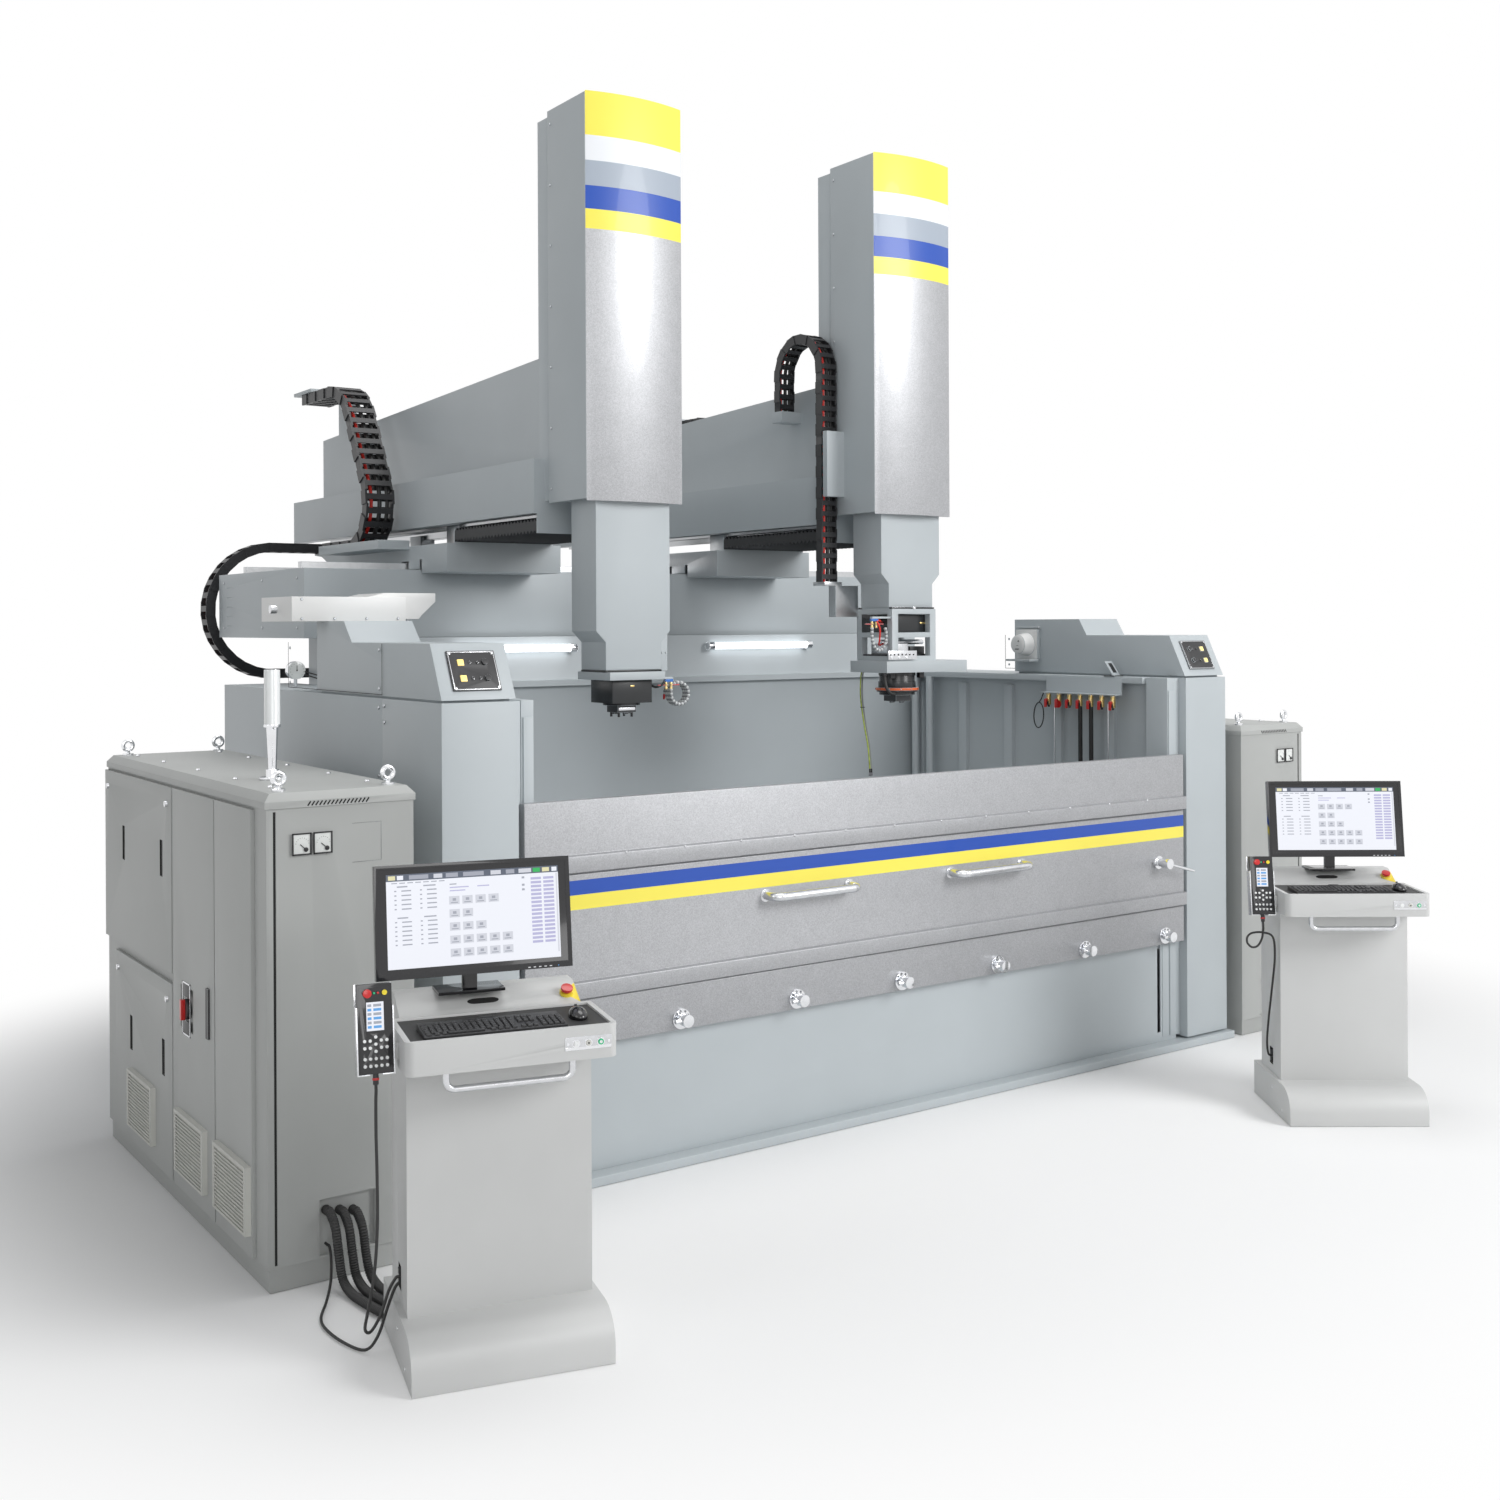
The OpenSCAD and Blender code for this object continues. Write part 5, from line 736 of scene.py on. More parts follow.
for side in ("left", "right"):
    dressed(side + "_cabinet", cabinet_looks, edge=0.0015, choose_face=cabinet_face(side))
dressed("cabinet_covers", cover_looks, edge=0.001, choose_face=cover_face)
dressed("cabinet_door", cover_looks, edge=0.0012, choose_face=bay_door_face)
dressed("lifting_eyes", [bright_chrome], edge=0)
lens_foot, lens_top = 1.9615, 2.150
dressed("signal_tower", [bright_chrome, clear_lens], edge=0.0008,
        choose_face=lambda centre, normal: lens_foot < centre.z < lens_top)
print("cabinets dressed")
# %% [markdown]
# ## Pods, lamps and the valves in the tank
# The pods on the side housings carry a black panel with two lit yellow keys. The left pod's neighbour is a
# pressure gauge and the right one has a white smoke and flame detector. Under the right edge of the tank
# hang seven brass ball valves with red levers.

# %% Pods with their panels
pod_x, pod_front, pod_middle_z = 2.2125, -1.065, 2.1525
panel_lean = math.radians(90) - math.atan2(0.110, 0.225)
panel_half, panel_deep, panel_skin = (0.107, 0.089), (0.0004, 0.02), 0.0081
pod_looks = [body_paint, black_plastic, lit_yellow, white_paint, bright_chrome, meter_white]


def pod_place(side):
    return Matrix.Translation((side * pod_x, pod_front, pod_middle_z)) @ Matrix.Rotation(panel_lean, 4, "X")


def pod_face(side):
    back = pod_place(side).inverted()

    def pick(centre, normal):
        x, y, z = back @ centre
        if abs(x) < panel_half[0] and abs(y) < panel_half[1] and panel_deep[0] < z < panel_deep[1]:
            return 2 if z > 0.0085 and x * side > 0 else 1
        if side > 0 and centre.x < 2.0262:
            return 3
        if side < 0 and centre.y > 0.9 and centre.z > 2.0305:
            return 5 if normal.y < -0.5 and centre.y < 0.979 else 4
        return 0
    return pick


def rim(shape, low, high, width, levels, material, place=None):
    """A flat rectangular rim: two long bars and two side bars between the same levels."""
    (x0, y0), (x1, y1) = low, high
    for a, b, c, d in ((x0, x1, y1 - width, y1), (x0, x1, y0, y0 + width),
                       (x0, x0 + width, y0, y1), (x1 - width, x1, y0, y1)):
        block(shape, (a, c, levels[0]), (b, d, levels[1]), material, place)


for side, node in ((-1, "left_control_pod"), (1, "right_control_pod")):
    place = pod_place(side)
    dressed(node, pod_looks, edge=0.002, choose_face=pod_face(side))
    shape = bmesh.new()
    rim(shape, (-0.101, -0.0835), (0.101, 0.0835), 0.003, (panel_skin, 0.0094), 0, place)
    for x, y in [(x, y) for x in (-0.093, 0.093) for y in (-0.076, 0.076)]:
        rod(shape, (x, y, panel_skin), (x, y, 0.0105), 0.0048, 0, 16, place)
    for x, y in [(x * side, y) for x in (-0.022, 0.012) for y in (-0.035, 0.035)]:
        rod(shape, (x, y, panel_skin), (x, y, 0.0125), 0.0055, 1, 16, place)
    finished(f"pod_trim_{node}", shape, [satin_chrome, black_plastic], "machine", edge=0.0004)
gauge_z, dial_y, mark_ring = 2.1155, 0.9755, 0.034
mark = Vector((0.0012, 0, 0.0012))
shape = bmesh.new()
rod(shape, (-pod_x, dial_y + 0.001, gauge_z), (-pod_x, dial_y, gauge_z), 0.004, 0, 16)
block(shape, (-pod_x - 0.0015, dial_y + 0.0007, gauge_z), (-pod_x + 0.0015, dial_y, gauge_z + 0.0245), 0)
for k in range(11):
    a = math.radians(-130 + 26 * k)
    at = Vector((-pod_x + mark_ring * math.sin(a), dial_y + 0.0011, gauge_z + mark_ring * math.cos(a)))
    block(shape, at - mark - Vector((0, 0.0006, 0)), at + mark, 0)
finished("gauge_marks", shape, [black_plastic], "machine", edge=0)
detector = Vector((1.9490, 0.075, 2.2088))
disc_face, slot_face = 1.9405, 1.9440
shape = bmesh.new()
turned_part(shape, detector, (-1, 0, 0), [(0, 0.056), (0.004, 0.050), (0.006, 0.030), (0.0065, 0.001)], 0)
block(shape, (disc_face, 0.055, 2.176), (slot_face, 0.088, 2.184), 1)
block(shape, (disc_face, 0.058, 2.199), (slot_face, 0.080, 2.203), 1)
rod(shape, (disc_face, 0.060, 2.228), (slot_face, 0.060, 2.228), 0.006, 1, 16)
block(shape, (1.9500, -0.027, 2.106), (2.0240, 0.177, 2.118), 2)
block(shape, (2.0320, -0.020, 2.305), (2.0500, 0.170, 2.318), 2)
finished("detector_front", shape, [white_paint, black_plastic, body_paint], "machine",
         edge=0.001)
print("pods made")

# %% Valves, pipes and lamps
pipe_x, pipe_low, valve_pitch, first_valve_y = 1.900, 1.925, 0.0832857, -0.774
valves_without_hose = (2, 3)
down = (0, 0, -1)
nut_profile = [(0.0, 0.0155), (0.008, 0.0155), (0.010, 0.012), (0.016, 0.012)]
body_profile = [(0, 0.012), (0.004, 0.0145), (0.014, 0.0145), (0.018, 0.012)]
boot_profile = [(0, 0.009), (0.006, 0.011), (0.020, 0.008), (0.034, 0.006)]
lamp_middles, lamp_half, lamp_y, lamp_z, lamp_radius = (-0.957, 0.718), 0.3465, 1.044, 2.210, 0.0215


def valve_face(centre, normal):
    if centre.z > pipe_low + 0.0005:
        return 0
    if centre.x < pipe_x - 0.0168:
        return 2
    return 3 if centre.z < 1.872 else 1


def lamp_face(centre, normal):
    inside = any(near(centre.x, x, lamp_half) for x in lamp_middles)
    return 0 if inside and math.hypot(centre.y - lamp_y, centre.z - lamp_z) < lamp_radius else 1


def changer_face(centre, normal):
    if centre.x < -2.5465 or centre.z < 2.3615 and centre.x > -2.0:
        return 1
    return 2 if centre.x > -2.0005 and centre.z < 2.43 and normal.z < 0.5 and abs(normal.y) < 0.9 else 0


dressed("valve_manifold", [body_paint, turned_brass, red_plastic, black_rubber], edge=0.0008,
        choose_face=valve_face)
shape = bmesh.new()
for k in range(7):
    spot = Vector((pipe_x, first_valve_y + valve_pitch * (k + 0.5), pipe_low))
    turned_part(shape, spot, down, nut_profile, 0, 6)
    turned_part(shape, spot + Vector((0, 0, -0.020)), down, body_profile, 1, 8)
    if k not in valves_without_hose:
        turned_part(shape, spot + Vector((0, 0, -0.0502)), down, boot_profile, 2, 16)
    block(shape, spot + Vector((-0.027, -0.004, -0.075)), spot + Vector((-0.022, 0.004, -0.030)), 3)
finished("valve_bodies", shape, [ceramic_white, turned_brass, black_plastic, red_plastic], "machine",
         edge=0.0006)
dressed("work_lights", [lamp_tube, bright_chrome], edge=0.0005, choose_face=lamp_face)
dressed("tool_changer", [white_paint, satin_chrome, black_plastic], edge=0.002, choose_face=changer_face)
dressed("door_hardware", [bright_chrome, satin_chrome], edge=0.0012, choose_face=lambda c, n: c.z > 1.0)
dressed("door_lever", [bright_chrome], edge=0.0015)
dressed("main_switch", [black_plastic, red_plastic], edge=0.001, choose_face=lambda c, n: c.x < -3.2060)
print("valves and lamps made")

# %% [markdown]
# ## Energy chains
# The CAD model holds every link of the energy chains. Through the gaps between the links one sees the
# cables: a red one and some black ones. Each cable is a tube along the same straights and bends as its chain.
# A chain joins two bodies, but here it and its cables stay fixed where they are drawn.

# %% Cables in the chains
straight_step, turn_step = 0.02, 6


def chain_route(start, heading, segments):
    x, y = start
    a = math.radians(heading)
    line = [(x, y)]
    for size, turn in segments:
        if turn == 0:
            count = max(1, round(size / straight_step))
            for _ in range(count):
                x, y = x + size / count * math.cos(a), y + size / count * math.sin(a)
                line.append((x, y))
        else:
            count = max(2, round(abs(turn) / turn_step))
            bend = math.radians(turn) / count
            for _ in range(count):
                chord = 2 * size * math.sin(abs(bend) / 2)
                x, y = x + chord * math.cos(a + bend / 2), y + chord * math.sin(a + bend / 2)
                a += bend
                line.append((x, y))
    return line


def offset_route(line, away):
    out = []
    for i, (x, y) in enumerate(line):
        ax, ay = line[max(i - 1, 0)]
        bx, by = line[min(i + 1, len(line) - 1)]
        size = math.hypot(bx - ax, by - ay)
        out.append((x - (by - ay) / size * away, y + (bx - ax) / size * away))
    return out


def along_beam(y):
    return lambda p, w: (p[0], y - w, p[1])


def beside_head(x):
    return lambda p, w: (x + w, p[0], p[1])


beam_run = ((-1.430, 2.815), 180, [(0.350, 0), (0.380, 180), (0.780, 0)])
ram_run = ((2.415, 3.690), 180, [(0.415, 0), (0.330, 60), (0.450, 0), (0.230, 120), (0.420, 0)])
head_run = ((-0.255, 2.560), 90, [(1.124, 0), (0.185, -180), (0.184, 0)])
# Name; fixed body and level; moved body and level; run; plane; height and width of the links.
chains = [
    ("beam_chain", "machine", 2.090, "saddle_left", 2.790, beam_run, along_beam(2.635), 0.056, 0.110),
    ("ram_chain_1", "saddle_left", 2.860, "ram_left", 3.640, ram_run, beside_head(-1.580), 0.060, 0.170),
    ("ram_chain_2", "saddle_right", 2.860, "ram_right", 3.640, ram_run, beside_head(0.970), 0.060, 0.170),
    ("head_chain_2", "ram_right", 3.500, "quill_right", 2.620, head_run, beside_head(0.223), 0.050, 0.104)]
# Across and away from the middle, and radius, as shares of the links; then the finish.
cables = [(-0.22, 0.10, 0.16, 0), (0.05, 0.0, 0.20, 1), (0.30, -0.05, 0.17, 1)]
for name, fixed, start_z, moved, end_z, run, plane, high, wide in chains:
    body = (fixed, (0, 0, start_z), moved, (0, 0, end_z))
    dressed(name, [black_plastic], edge=0, body=body)
    middle_line = chain_route(*run)
    shape = bmesh.new()
    for across, away, radius, look in cables:
        line = [plane(p, across * wide) for p in offset_route(middle_line, away * high)]
        tube(shape, line, radius * high, look, 10)
    finished(name + "_cables", shape, [red_hose, black_rubber], body, edge=0, angle=60)
print("chains with cables:", len(chains))

# %% [markdown]
# ## Flushing hoses and leads at the chucks
# A flushing valve on each quill feeds a hose of pale ball-and-socket segments that holds any bend. The hose
# is one segment, copied along the route, in two shades. The right chuck has two leads that hang into the
# tank and a black hose, and red tubes go from its valve into the open tool frame.

# %% Hose segments
segment_pitch, segment_start = 0.0096, (0, 0, -0.0056)
segment_profile = [(0, 0.0052), (0.0018, 0.0078), (0.0046, 0.0090), (0.0078, 0.0086), (0.0100, 0.0064),
                   (0.0112, 0.0058)]
fitting_profile = [(0, 0.0055), (0.004, 0.0055), (0.004, 0.0075), (0.012, 0.0075), (0.014, 0.006),
                   (0.022, 0.006), (0.024, 0.0078), (0.034, 0.0078), (0.036, 0.0055)]
nozzle_profile = [(0.003, 0.0062), (0.012, 0.0070), (0.026, 0.0045), (0.030, 0.0030)]
segment = bmesh.new()
turned_part(segment, segment_start, (0, 0, 1), segment_profile, 0, 16)
segment_model = model("hose_segment_model", segment)
grey_segment = finish("grey hose segments", (0.26, 0.27, 0.28), 0.4, drift=0.06, grain=700, height=0.00002)


def segmented_hose(name, line, node):
    even = even_steps([Vector(p) for p in line], segment_pitch)
    spots = []
    for i, p in enumerate(even):
        along = (even[min(i + 1, len(even) - 1)] - even[max(i - 1, 0)]).normalized()
        spots.append((p, along, Vector((0, 1, 0))))
    for shade, first, look in (("_pale", 0, hose_plastic), ("_grey", 1, grey_segment)):
        copies(name + shade, shape_tree, spots[first::2], {"Shape": segment_model}, look, body_of_node[node],
               "hose_plastic", smooth=True, stands_for=[node])
    return spots[-1]


def flush_valve(name, at, bracket, node):
    def from_here(x, y, z):
        return Vector(at) + Vector((x, y, z))

    shape = bmesh.new()
    block(shape, *bracket, 0)
    block(shape, from_here(-0.020, -0.009, -0.014), from_here(0.020, 0.009, 0), 1)
    rod(shape, from_here(-0.024, 0, -0.007), from_here(0.024, 0, -0.007), 0.0065, 1, 20)
    for s in (-1, 1):
        turned_part(shape, from_here(s * 0.014, 0, -0.014), down, fitting_profile, 2, 12)
        near_end, far_end = sorted((s * 0.020, s * 0.060))
        block(shape, from_here(near_end, -0.0035, -0.031), from_here(far_end, 0.0035, -0.026), 3)
        rod(shape, from_here(s * 0.014, -0.009, -0.0285), from_here(s * 0.014, 0.009, -0.0285), 0.003, 2, 12)
    finished(name, shape, [body_paint, blue_enamel, turned_brass, red_plastic], body_of_node[node],
             edge=0.0006, stands_for=[node])


coil_radius, coil_pitch, loop_wide, loop_deep = 0.052, 0.019, 0.048, 0.075
flush_valve("flush_valve_1", (-0.965, -0.560, 2.081), ((-1.005, -0.570, 2.081), (-0.945, -0.550, 2.091)),
            "flush_hose_1")
coil = [(-0.951, -0.560, 2.0305)] + [
    (-0.951 + coil_radius * (1 - math.cos(a)), -0.560 + coil_pitch * a / math.tau,
     2.011 - coil_radius * math.sin(a)) for a in (math.tau * k / 24 for k in range(73))]
end, end_along, _ = segmented_hose("flush_hose_left", coil, "flush_hose_1")
flush_valve("flush_valve_2", (0.290, -0.565, 2.364), ((0.270, -0.575, 2.364), (0.395, -0.555, 2.374)),
            "flush_hose_2")
loop = [(0.276, -0.565, 2.3135), (0.276, -0.565, 2.294)] + [
    (0.276 + loop_wide * (1 - math.cos(a)), -0.565, 2.274 - loop_deep * math.sin(a))
    for a in (math.radians(7 * k) for k in range(31))]
segmented_hose("flush_hose_right", loop, "flush_hose_2")
shape = bmesh.new()
turned_part(shape, end, end_along, nozzle_profile, 0, 16)
finished("flush_nozzle_left", shape, [red_plastic], body_of_node["flush_hose_1"], edge=0)
print("hoses made")

# %% Leads, tubes and the perforated angle
chuck_top = 2.081


def at_chuck(points, dx=0.0, dy=0.0):
    return [(head_x["right"] + dx + x / 1000, dy + y / 1000, chuck_top + z / 1000) for x, y, z in points]


def soft_tube(shape, points, radius, material, steps=8, sides=12):
    tube(shape, smooth_route(points, steps), radius, material, sides)


lead_points = [(-60, 0, 36), (-62, 14, 35), (-72, 30, 14), (-84, 34, -30), (-88, 32, -141), (-80, 14, -281),
               (-70, -6, -401), (-66, -16, -521)]
arc_points = [(-180, -560, -0.3), (-180, -560, -36), (-176, -568, -76), (-158, -574, -103),
              (-135, -570, -111), (-118, -560, -109)]
lead_green = finish("yellow-green lead", (0.42, 0.52, 0.06), 0.4, drift=0.3, drift_scale=60, height=0.00001)
lead_grey = finish("grey lead", (0.30, 0.31, 0.32), 0.4, drift=0.05, height=0.00001)
arc_radius, lead_radius, lead_gap, lead_y, lead_steps = 0.0085, 0.0038, 0.012, -0.2937, 8
tie_spots, tie_half = (0.35, 0.62), Vector((0.012, 0.006, 0.002))
arc_nut_profile = [(0, 0.013), (0.014, 0.013), (0.016, 0.0095)]
red_tube_1 = [(0.311, -0.565, 2.357), (0.335, -0.560, 2.352), (0.372, -0.520, 2.346), (0.425, -0.488, 2.342),
              (0.480, -0.465, 2.340)]
red_tube_2 = [(0.300, -0.574, 2.352), (0.318, -0.578, 2.310), (0.330, -0.560, 2.250), (0.360, -0.520, 2.226),
              (0.420, -0.485, 2.232), (0.480, -0.470, 2.244)]
black_tube = [(0.300, -0.556, 2.358), (0.330, -0.540, 2.366), (0.372, -0.505, 2.362), (0.430, -0.480, 2.356)]
body = body_of_node["flush_hose_2"]
line = smooth_route(at_chuck(arc_points), lead_steps)
shape = bmesh.new()
turned_part(shape, line[0], down, arc_nut_profile, 0, 6)
nut = finished("arc_hose_nut", shape, [black_plastic], body, edge=0,
               stands_for=["flush_hose_2"])
cord_piece("arc_hose", line, arc_radius, black_rubber, body, "flush_hose_2", 14,
           far_end="bare", stiffness="stiff", lay="hanging", with_pieces=[nut])
for k, look in enumerate((lead_grey, lead_green)):
    line = smooth_route(at_chuck(lead_points, -lead_gap * k, lead_y), lead_steps)
    low = line[-1]
    shape = bmesh.new()
    rod(shape, low, low - Vector((0, 0, 0.020)), 0.0045, 0, 12)
    block(shape, low + Vector((-0.007, -0.0012, -0.040)), low + Vector((0.007, 0.0012, -0.020)), 1)
    lug = finished(f"chuck_lead_lug_{k + 1}", shape, [black_plastic, satin_chrome], body,
                   edge=0, stands_for=["flush_hose_2"])
    cord_piece(f"chuck_lead_{k + 1}", line, lead_radius, look, body, "flush_hose_2", 12,
               far_end="connector", stiffness="medium", lay="hanging", with_pieces=[lug])
shape = bmesh.new()
for tie in tie_spots:
    spot = line[int(len(line) * tie)] + Vector((lead_gap / 2, 0, 0))
    block(shape, spot - tie_half, spot + tie_half, 0)
finished("lead_ties", shape, [black_plastic], body, edge=0)
shape = bmesh.new()
soft_tube(shape, red_tube_1, 0.0045, 0)
soft_tube(shape, red_tube_2, 0.0045, 0)
soft_tube(shape, black_tube, 0.0060, 1)
finished("flush_tubes", shape, [red_hose, black_rubber], body, edge=0)
angle_front = -0.6060
shape = bmesh.new()
block(shape, (0.352, angle_front, 2.150), (0.545, angle_front + 0.003, 2.196), 0)
block(shape, (0.352, angle_front + 0.003, 2.150), (0.545, -0.5960, 2.153), 0)
# The holes of the perforated angle are discs of painted shade.
for spot in row_of((0.366, angle_front, 2.176), (0.522, angle_front, 2.176), 7):
    rod(shape, spot - Vector((0, 0.0008, 0)), spot + Vector((0, 0.0002, 0)), 0.0055, 1, 16)
for spot in row_of((0.372, angle_front, 2.160), (0.476, angle_front, 2.160), 3):
    rod(shape, spot - Vector((0, 0.0040, 0)), spot, 0.0060, 2, 16)
block(shape, (0.400, -0.580, 2.4145), (0.690, -0.300, 2.4235), 3)
rod(shape, (0.545, -0.590, 2.419), (0.545, -0.580, 2.419), 0.008, 2, 16)
finished("tool_frame_trim", shape, [satin_chrome, painted_opening_shade, bright_chrome, black_enamel], body,
         edge=0.0004)
print("leads and tubes made")

# %% [markdown]
# ## Electrode chucks close up
# The left quill ends in a square black box with the chuck's jaws under it. The right chuck has round black
# flanges with clamping screws round them.

# %% Chuck details
left_x, right_x = head_x["left"], head_x["right"]
collar_profile = [(0, 0.060), (0.010, 0.060), (0.011, 0.052)]
upper_flange = [(0, 0.098), (0.018, 0.098), (0.022, 0.080), (0.046, 0.080), (0.050, 0.100), (0.080, 0.100)]
lower_flange = [(0, 0.1085), (0.008, 0.1085), (0.014, 0.070), (0.024, 0.066)]
ring_z, screw_ring = 1.992, 0.1150
shape = bmesh.new()
block(shape, (left_x - 0.107, -0.545, 1.9720), (left_x + 0.107, -0.345, 2.0795), 0)
block(shape, (left_x - 0.011, -0.5462, 2.048), (left_x + 0.011, -0.5450, 2.056), 3)
for x, y in [(left_x + a, chuck_y + b) for a in (-0.035, 0.035) for b in (-0.035, 0.035)]:
    rod(shape, (x, y, 1.905), (x, y, 1.927), 0.006, 1, 16)
block(shape, (left_x - 0.045, -0.4960, 1.936), (left_x + 0.045, -0.4945, 1.950), 2)
turned_part(shape, (left_x, chuck_y, 1.972), down, collar_profile, 1, 40)
finished("chuck_box_left", shape, [black_enamel, black_plastic, satin_chrome, turned_brass],
         body_of_node["chuck_1"], edge=0.0015)
shape = bmesh.new()
for a in around(12):
    outwards = Vector((math.cos(a), math.sin(a), 0))
    spot = Vector((right_x, chuck_y, ring_z)) + screw_ring * outwards
    rod(shape, spot, spot + 0.0025 * outwards, 0.0035, 1, 12)
for base, profile in ((chuck_top, upper_flange), (1.985, lower_flange)):
    turned_part(shape, (right_x, chuck_y, base), down, profile, 0, 48)
for x, y in ((0.445, -0.520), (0.645, -0.520), (0.640, -0.375)):
    block(shape, (x - 0.016, y - 0.012, 2.050), (x + 0.016, y + 0.012, 2.079), 2)
finished("chuck_flanges_right", shape, [black_enamel, satin_chrome, black_plastic], body_of_node["chuck_2"],
         edge=0.001)
print("chucks made")

# %% [markdown]
# ## Small fittings
# The last pieces are ones that a visitor would notice from a few steps away: the two meters, the frame
# round the main switch, seams and screws of the covers, a strip of painted shade in the gap beside the tank,
# and what fills the windows of the tool frame.

# %% Cabinet fittings
meter_middles, meter_half, meter_foot, meter_head, rim_wide = (0.1255, 0.2025), 0.032, 1.528, 1.606, 0.005
needle_turn, scale_ring, vents, cabinet_wide, roof_z = math.radians(-48), 0.024, 16, 0.55, 1.7498
scale_mark = Vector((0.001, 0.0004, 0.001))


def bars(shape, depth, rows):
    """Upright bars between two depths, each from a low corner to a high one in x and z, with its finish."""
    for x0, x1, z0, z1, look in rows:
        block(shape, (x0, depth[0], z0), (x1, depth[1], z1), look)


def upright_rim(x0, x1, z0, z1, wide, look):
    return [(x0, x1, z0, z0 + wide, look), (x0, x1, z1 - wide, z1, look),
            (x0, x0 + wide, z0, z1, look), (x1 - wide, x1, z0, z1, look)]


def meter(shape, x, front):
    bars(shape, (front - 0.003, front + 0.001),
         upright_rim(x - 0.003, x + 0.067, meter_foot, meter_head, rim_wide, 0))
    rod(shape, (x + 0.047, front - 0.004, 1.547), (x + 0.047, front, 1.547), 0.008, 0, 20)
    needle = Matrix.Translation((x + 0.045, front, 1.549)) @ Matrix.Rotation(needle_turn, 4, "Y")
    block(shape, (-0.0012, -0.003, 0), (0.0012, -0.001, 0.026), 0, needle)
    for a in [math.radians(-80 + 20 * k) for k in range(9)]:
        spot = Vector((x + 0.034 + scale_ring * math.sin(a), front - 0.001, 1.565 + scale_ring * math.cos(a)))
        block(shape, spot - scale_mark, spot + scale_mark, 0)


shape = bmesh.new()
for side in ("left", "right"):
    front = cabinet_front[side] - 0.008
    for middle in meter_middles:
        meter(shape, cabinet_wall[side] + inward[side] * middle - meter_half, front)
    # Slanted slots in the roof's edge, drawn as thin blocks of painted shade.
    for k in range(vents):
        x = cabinet_wall[side] + inward[side] * cabinet_wide * (0.28 + 0.42 * k / vents)
        slant = Matrix.Rotation(math.radians(35 * inward[side]), 4, "Y")
        block(shape, (-0.0026, -0.0006, -0.0095), (0.0026, 0.0002, 0.0095), 2,
              Matrix.Translation((x, front + 0.002, 1.7085)) @ slant)
bars(shape, (-1.4318, -1.4311), [(-2.865, -2.755, 1.625, 1.6265, 1), (-2.865, -2.755, 1.485, 1.4865, 1),
                                 (-2.7565, -2.755, 1.485, 1.6265, 1)])
finished("meter_frames", shape, [black_plastic, zinc_screw, painted_opening_shade], "machine",
         edge=0.0004)
shape = bmesh.new()
for y0, y1, z0, z1, look in upright_rim(-0.579, -0.477, 0.725, 0.935, 0.006, 0) + [
        (-0.573, -0.483, 0.731, 0.782, 1), (-0.573, -0.483, 0.878, 0.929, 1)]:
    block(shape, (door_skin - 0.0025, y0, z0), (door_skin + 0.0004, y1, z1), look)
finished("switch_frame", shape, [satin_chrome, black_plastic], "bay_door", edge=0.0004)
roof_left = {"left": cabinet_wall["left"], "right": cabinet_wall["right"] - cabinet_wide}
roof_spots = [(roof_left[side] + x, cabinet_front[side] + y, roof_z) for side in ("left", "right")
              for x in (0.09, 0.46) for y in (0.22, 0.62, 1.10, 1.60, 2.02)]
screws("roof_screws", roof_spots, (0, 0, 1), "machine", 0.010, 0.006, satin_chrome)
print("cabinet fittings made")

# %% Seams and screws of the housings
seam_and_gap_shade = finish("dark seam and painted gap shade", (0.03, 0.032, 0.034), 0.7, drift=0.1, height=0.00001)
housing_wall, seam_thick, head_half = 2.3800, 0.0009, 0.2605
seam_lines = [(-0.5335, -0.5305, 2.044, 2.262), (0.6200, 0.6230, 2.044, 2.262),
              (-0.5305, 0.6200, 2.044, 2.047)]
cover_corners = [(y, z) for y in (-0.505, 0.590) for z in (2.070, 2.235)]
edge_screws = [(-0.560, z) for z in (1.700, 1.930, 2.000)]
left_only = [(-0.500, z) for z in (1.35, 1.70, 1.99)]
shape = bmesh.new()
for side in (-1, 1):
    low, high = sorted((side * housing_wall, side * (housing_wall + seam_thick)))
    for y0, y1, z0, z1 in seam_lines:
        block(shape, (low, y0, z0), (high, y1, z1), 0)
# A dark strip beside the tank's right end: painted shade for the gap there. The seam lines above are dark
# joints.
block(shape, (2.0120, -1.0400, 0.100), (2.0440, -1.0000, 2.028), 0)
finished("housing_seams", shape, [seam_and_gap_shade], "machine", edge=0)
for name, side, spots in (("left", -1, cover_corners + edge_screws + left_only),
                          ("right", 1, cover_corners + edge_screws)):
    screws(name + "_housing_screws", [(side * (housing_wall + 0.0005), y, z) for y, z in spots],
           (side, 0, 0), "machine", 0.008, 0.004)
ledge_spots = row_of((-1.85, -1.1525, 1.380), (1.70, -1.1525, 1.380), 13)
screws("door_weld_dots", ledge_spots, (0, -1, 0), "door", 0.006, 0.003, satin_chrome)
arm_spots = row_of((-2.50, 0.0998, 2.372), (-2.04, 0.0998, 2.372), 4) + [Vector((-2.50, 0.0998, 2.460))]
screws("changer_screws", arm_spots, (0, -1, 0), "machine", 0.007, 0.004)
for head, middle in head_x.items():
    for letter, side in (("a", -1), ("b", 1)):
        x = middle + side * head_half
        screws(f"{head}_head_screws_{letter}", row_of((x, -0.250, 2.98), (x, -0.250, 4.70), 7), (side, 0, 0),
               "ram_" + head, 0.007, 0.003)
beam_spots = [(-2.1305, y, z) for y in (1.20, 1.75, 2.42) for z in (2.33, 2.59)]
screws("beam_end_screws", beam_spots, (-1, 0, 0), "machine", 0.008, 0.004)
print("seams and screws made")

